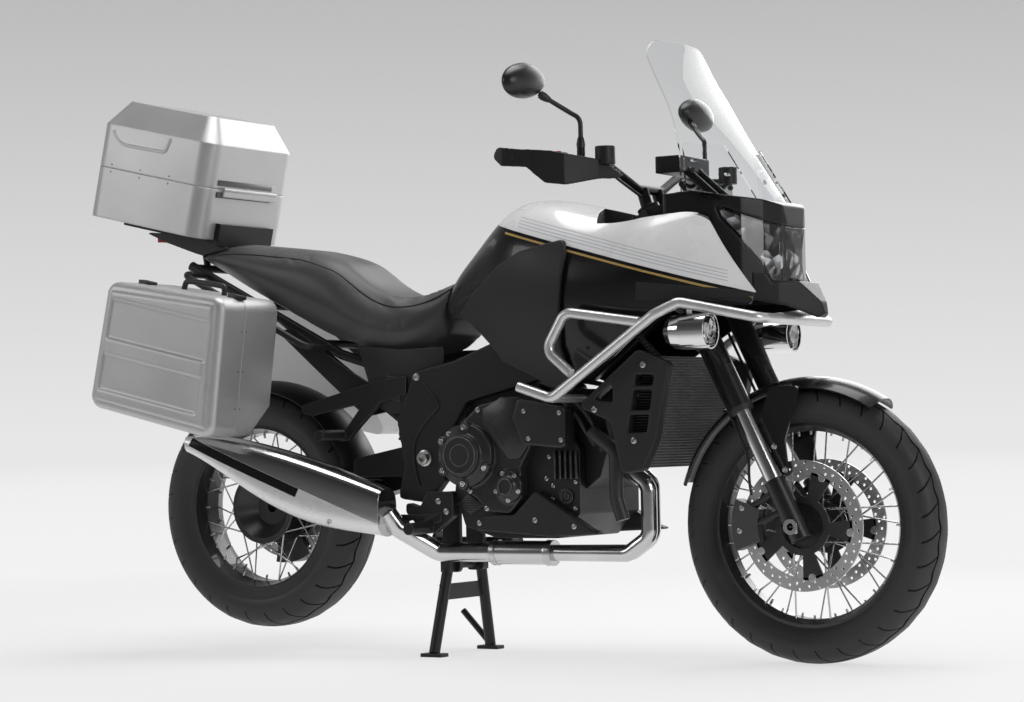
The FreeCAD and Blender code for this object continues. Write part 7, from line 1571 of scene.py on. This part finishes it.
# The side box's four corners seen from the side, as shares of its length and height
SIDE_BOX_SHARES = [(0.005, 0.0085), (1.0, 0.0), (0.913, 1.0), (0.0, 0.935)]
TOP_BOX_START = (-1.022, 1.132)
FIELD = {"u": (-0.180, 0.150), "v": (-0.128, 0.117), "drop": 0.0045, "slope": 0.009}
BAND = {"u": (-0.186, 0.163), "v": (-0.034, 0.014), "rise": 0.0055, "slope": 0.007}
SKIN_RIM = 0.010
SKIN_STEPS = (120, 104)
SKIN_OUT = 0.0004
SKIN_TUCK = -0.002
case_silver = finish_material("satin_aluminium", grey(0.54, 0.005), grey(0.72), metal=0.6, drift=0.05,
                              grain_scale=1300, grain_depth=0.10, smoothest=0.38, roughest=0.48, edge_radius=0.006,
                              edge_wear=0.35)
dress(case_silver, *[f"{box}_case_{part}" for box in ("right", "left", "top") for part in ("base", "lid")])


def ramp(value, low, high):
    """0 below a span and 1 above it, with soft ends."""
    share = min(max((value - low) / (high - low), 0), 1)
    return share * share * (3 - 2 * share)


def inside_span(value, span, slope):
    """1 well inside a span, 0 outside it, with a soft slope."""
    return ramp(value, span[0], span[0] + slope) * ramp(span[1] - value, 0, slope)


def box_place(start, u, v, y):
    """From a tilted box's own lengthwise and upward axes to the frame."""
    x, z = start
    return Vector((x + u * math.cos(TILT) + v * math.sin(TILT), y, z - u * math.sin(TILT) + v * math.cos(TILT)))


def pressed_skin(name, side):
    """The pressed outer face of a side box."""
    clear_choice()
    bpy.ops.mesh.primitive_grid_add(x_subdivisions=SKIN_STEPS[0], y_subdivisions=SKIN_STEPS[1], size=1)
    skin = bpy.context.object
    skin.name = name
    half_l, half_h = SIDE_BOX["half"]
    corners = [Vector(((a * 2 - 1) * half_l, (b * 2 - 1) * half_h)) for a, b in SIDE_BOX_SHARES]
    middle = sum(corners, Vector((0, 0))) / 4
    inset = SIDE_BOX["inset"]
    corners = [corner - Vector([math.copysign(inset, value) for value in corner - middle]) for corner in corners]
    length, height = (corners[1] - corners[0]).length, (corners[3] - corners[0]).length
    for corner in skin.data.vertices:
        s, t = corner.co.x + 0.5, corner.co.y + 0.5
        u, v = corners[0].lerp(corners[1], s).lerp(corners[3].lerp(corners[2], s), t)
        rim = min(s * length, (1 - s) * length, t * height, (1 - t) * height)
        field = inside_span(u, FIELD["u"], FIELD["slope"]) * inside_span(v, FIELD["v"], FIELD["slope"])
        band = inside_span(u, BAND["u"], BAND["slope"] * 3) * inside_span(v, BAND["v"], BAND["slope"])
        proud = FIELD["drop"] * (1 - field) * ramp(rim, 0, SKIN_RIM) + BAND["rise"] * band * field
        if rim < 0.0001:
            proud = SKIN_TUCK
        corner.co = box_place(SIDE_BOX["centre"], u, v, side * (SIDE_BOX["face"] + SKIN_OUT + proud))
    bpy.ops.object.mode_set(mode="EDIT")
    bpy.ops.mesh.select_all(action="SELECT")
    if side > 0:
        bpy.ops.mesh.flip_normals()
    bpy.ops.object.mode_set(mode="OBJECT")
    smooth_piece(skin, degrees=60)
    return skin


for side, hand in HANDS:
    take_on(pressed_skin(f"{hand}_case_pressing", side), case_silver, f"{hand}_case_lid")


# Rivets
# Small grey rivets hold the frames along both sides of each seam, in pairs across it. One is turned and copied,
# and each copy sits on the wall that a ray meets, with one row riding on the lid and one on the base.
RIVET_R = 0.0021
RIVET = [(0.0, RIVET_R * 1.1), (RIVET_R * 0.3, RIVET_R), (RIVET_R * 0.55, RIVET_R * 0.55)]
RIVET_SPREAD = 0.010
SIDE_RIVETS_V = (-0.100, -0.005, 0.095)
SIDE_RIVETS_FROM = 0.30
SEAM_Y = 0.371
TOP_RIVETS_U = (-0.132, -0.032, 0.068)
TOP_SEAM_V = 0.137
rivet_grey = finish_material("rivet_grey", grey(0.12), grey(0.4), metal=0.9, smoothest=0.3, roughest=0.4,
                             edge_radius=0.0003)


def rivet_row(box, part, ending, rays):
    """A row of rivets on a box's lid or base, where rays from outside meet it."""
    targets = []
    for start, way in rays:
        hit, where, normal, _ = nodes[f"{box}_{part}"].ray_cast(start, way)
        if hit:
            targets.append(Matrix.Translation(where) @ facing(normal))
    row = copies_of(turned_pin("rivet", RIVET, sides=10), f"{box}_rivets_{ending}", targets)
    smooth_piece(row, degrees=60)
    take_on(row, rivet_grey, f"{box}_lid" if part == "lid" else "chassis")


backwards = Vector((-math.cos(TILT), 0, math.sin(TILT)))
for part, side_ending, top_ending, shift in (("lid", "outer", "upper", RIVET_SPREAD),
                                             ("base", "inner", "lower", -RIVET_SPREAD)):
    for side, hand in HANDS:
        y = side * (SEAM_Y + shift)
        rays = [(box_place(SIDE_BOX["centre"], SIDE_RIVETS_FROM, v, y), backwards) for v in SIDE_RIVETS_V]
        rivet_row(f"{hand}_case", part, side_ending, rays)
    rays = [(box_place(TOP_BOX_START, u, TOP_SEAM_V + shift, side * FAR_ASIDE), Vector((0, -side, 0)))
            for u in TOP_RIVETS_U for side, _ in HANDS]
    rivet_row("top_case", part, top_ending, rays)


# Handles and latches
# Each side box has a bent carry handle of black-coated tube on its base, and two black moulded latches over the
# seam that ride on the lid.
HANDLE_U = (-0.055, 0.075)
HANDLE_RISE = 0.024
HANDLE_SINK = 0.004
HANDLE_CORNER = 0.012
HANDLE_INWARDS = 0.030
HANDLE_R = 0.0075
LATCH_U = {"rear": -0.150, "front": 0.140}
LATCH_SIZE = (0.040, 0.030, 0.011)
LATCH_UP = 0.004
LATCH_OUT = 0.002
box_black = finish_material("latch_black", grey(0.02), grey(0.15), drift=0.06, grain_scale=1200, grain_depth=0.2,
                            smoothest=0.34, roughest=0.48, edge_radius=0.0015, edge_wear=0.4)


def box_top(u):
    """How high the sloping top edge of a side box lies at a lengthwise place."""
    half_l, half_h = SIDE_BOX["half"]
    rear = (SIDE_BOX_SHARES[3][1] * 2 - 1) * half_h
    share = (u + half_l) / (half_l * 2 * SIDE_BOX_SHARES[2][0])
    return rear + (half_h - rear) * share


def handle_leg(u, inwards, y):
    """Half of a handle's route, from inside the box up to its bend."""
    top = box_top(u)
    steps = ((u, top - HANDLE_SINK), (u, top + HANDLE_RISE * 0.8), (u + inwards, top + HANDLE_RISE))
    return [box_place(SIDE_BOX["centre"], *step, y) for step in steps]


tilt_turn = Matrix.Rotation(TILT, 4, "Y")
for side, hand in HANDS:
    y = side * (SEAM_Y - HANDLE_INWARDS)
    points = handle_leg(HANDLE_U[0], HANDLE_CORNER, y) + handle_leg(HANDLE_U[1], -HANDLE_CORNER, y)[::-1]
    piping_set(f"{hand}_case_handle", [piping("handle", points, HANDLE_R)], box_black, "chassis")
    for end, u in LATCH_U.items():
        latch = worked_block(f"{hand}_case_latch_{end}", LATCH_SIZE, bevel=0.0022)
        place = box_place(SIDE_BOX["centre"], u, box_top(u) + LATCH_UP, side * (SEAM_Y + LATCH_OUT))
        latch.data.transform(Matrix.Translation(place) @ tilt_turn)
        take_on(latch, box_black, f"{hand}_case_lid")


# Grip frames and hinge of the top box
# A bead of satin aluminium frames the grip on each side of the lid, and two long grey leaves of one hinge are
# riveted across the front, one on the lid and one on the base.
GRIP_FRAME = [(-1.108, 1.396), (-1.101, 1.380), (-1.078, 1.356), (-1.060, 1.351), (-0.950, 1.327), (-0.935, 1.325),
              (-0.921, 1.345), (-0.915, 1.360)]
GRIP_FRAME_R = 0.0055
HINGE_LEAF = (0.003, 0.236, 0.015)
HINGE_U = 0.1965
HINGE_Y = -0.02
frames = []
for side, _ in HANDS:
    hits = [side_hit("top_case_lid", x, z, side) for x, z in GRIP_FRAME]
    points = [where - normal * GRIP_FRAME_R * 0.35 for hit, where, normal in hits if hit]
    frames.append(piping("grip_frame", points, GRIP_FRAME_R))
piping_set("top_case_grip_frames", frames, case_silver, "top_case_lid")
for name, v, body in (("upper", 0.1535, "top_case_lid"), ("lower", 0.1215, "chassis")):
    leaf = worked_block(f"top_case_hinge_{name}", HINGE_LEAF, bevel=0.0008, inset=0.0004)
    leaf.data.transform(Matrix.Translation(box_place(TOP_BOX_START, HINGE_U, v, HINGE_Y)) @ tilt_turn)
    take_on(leaf, rivet_grey, body)
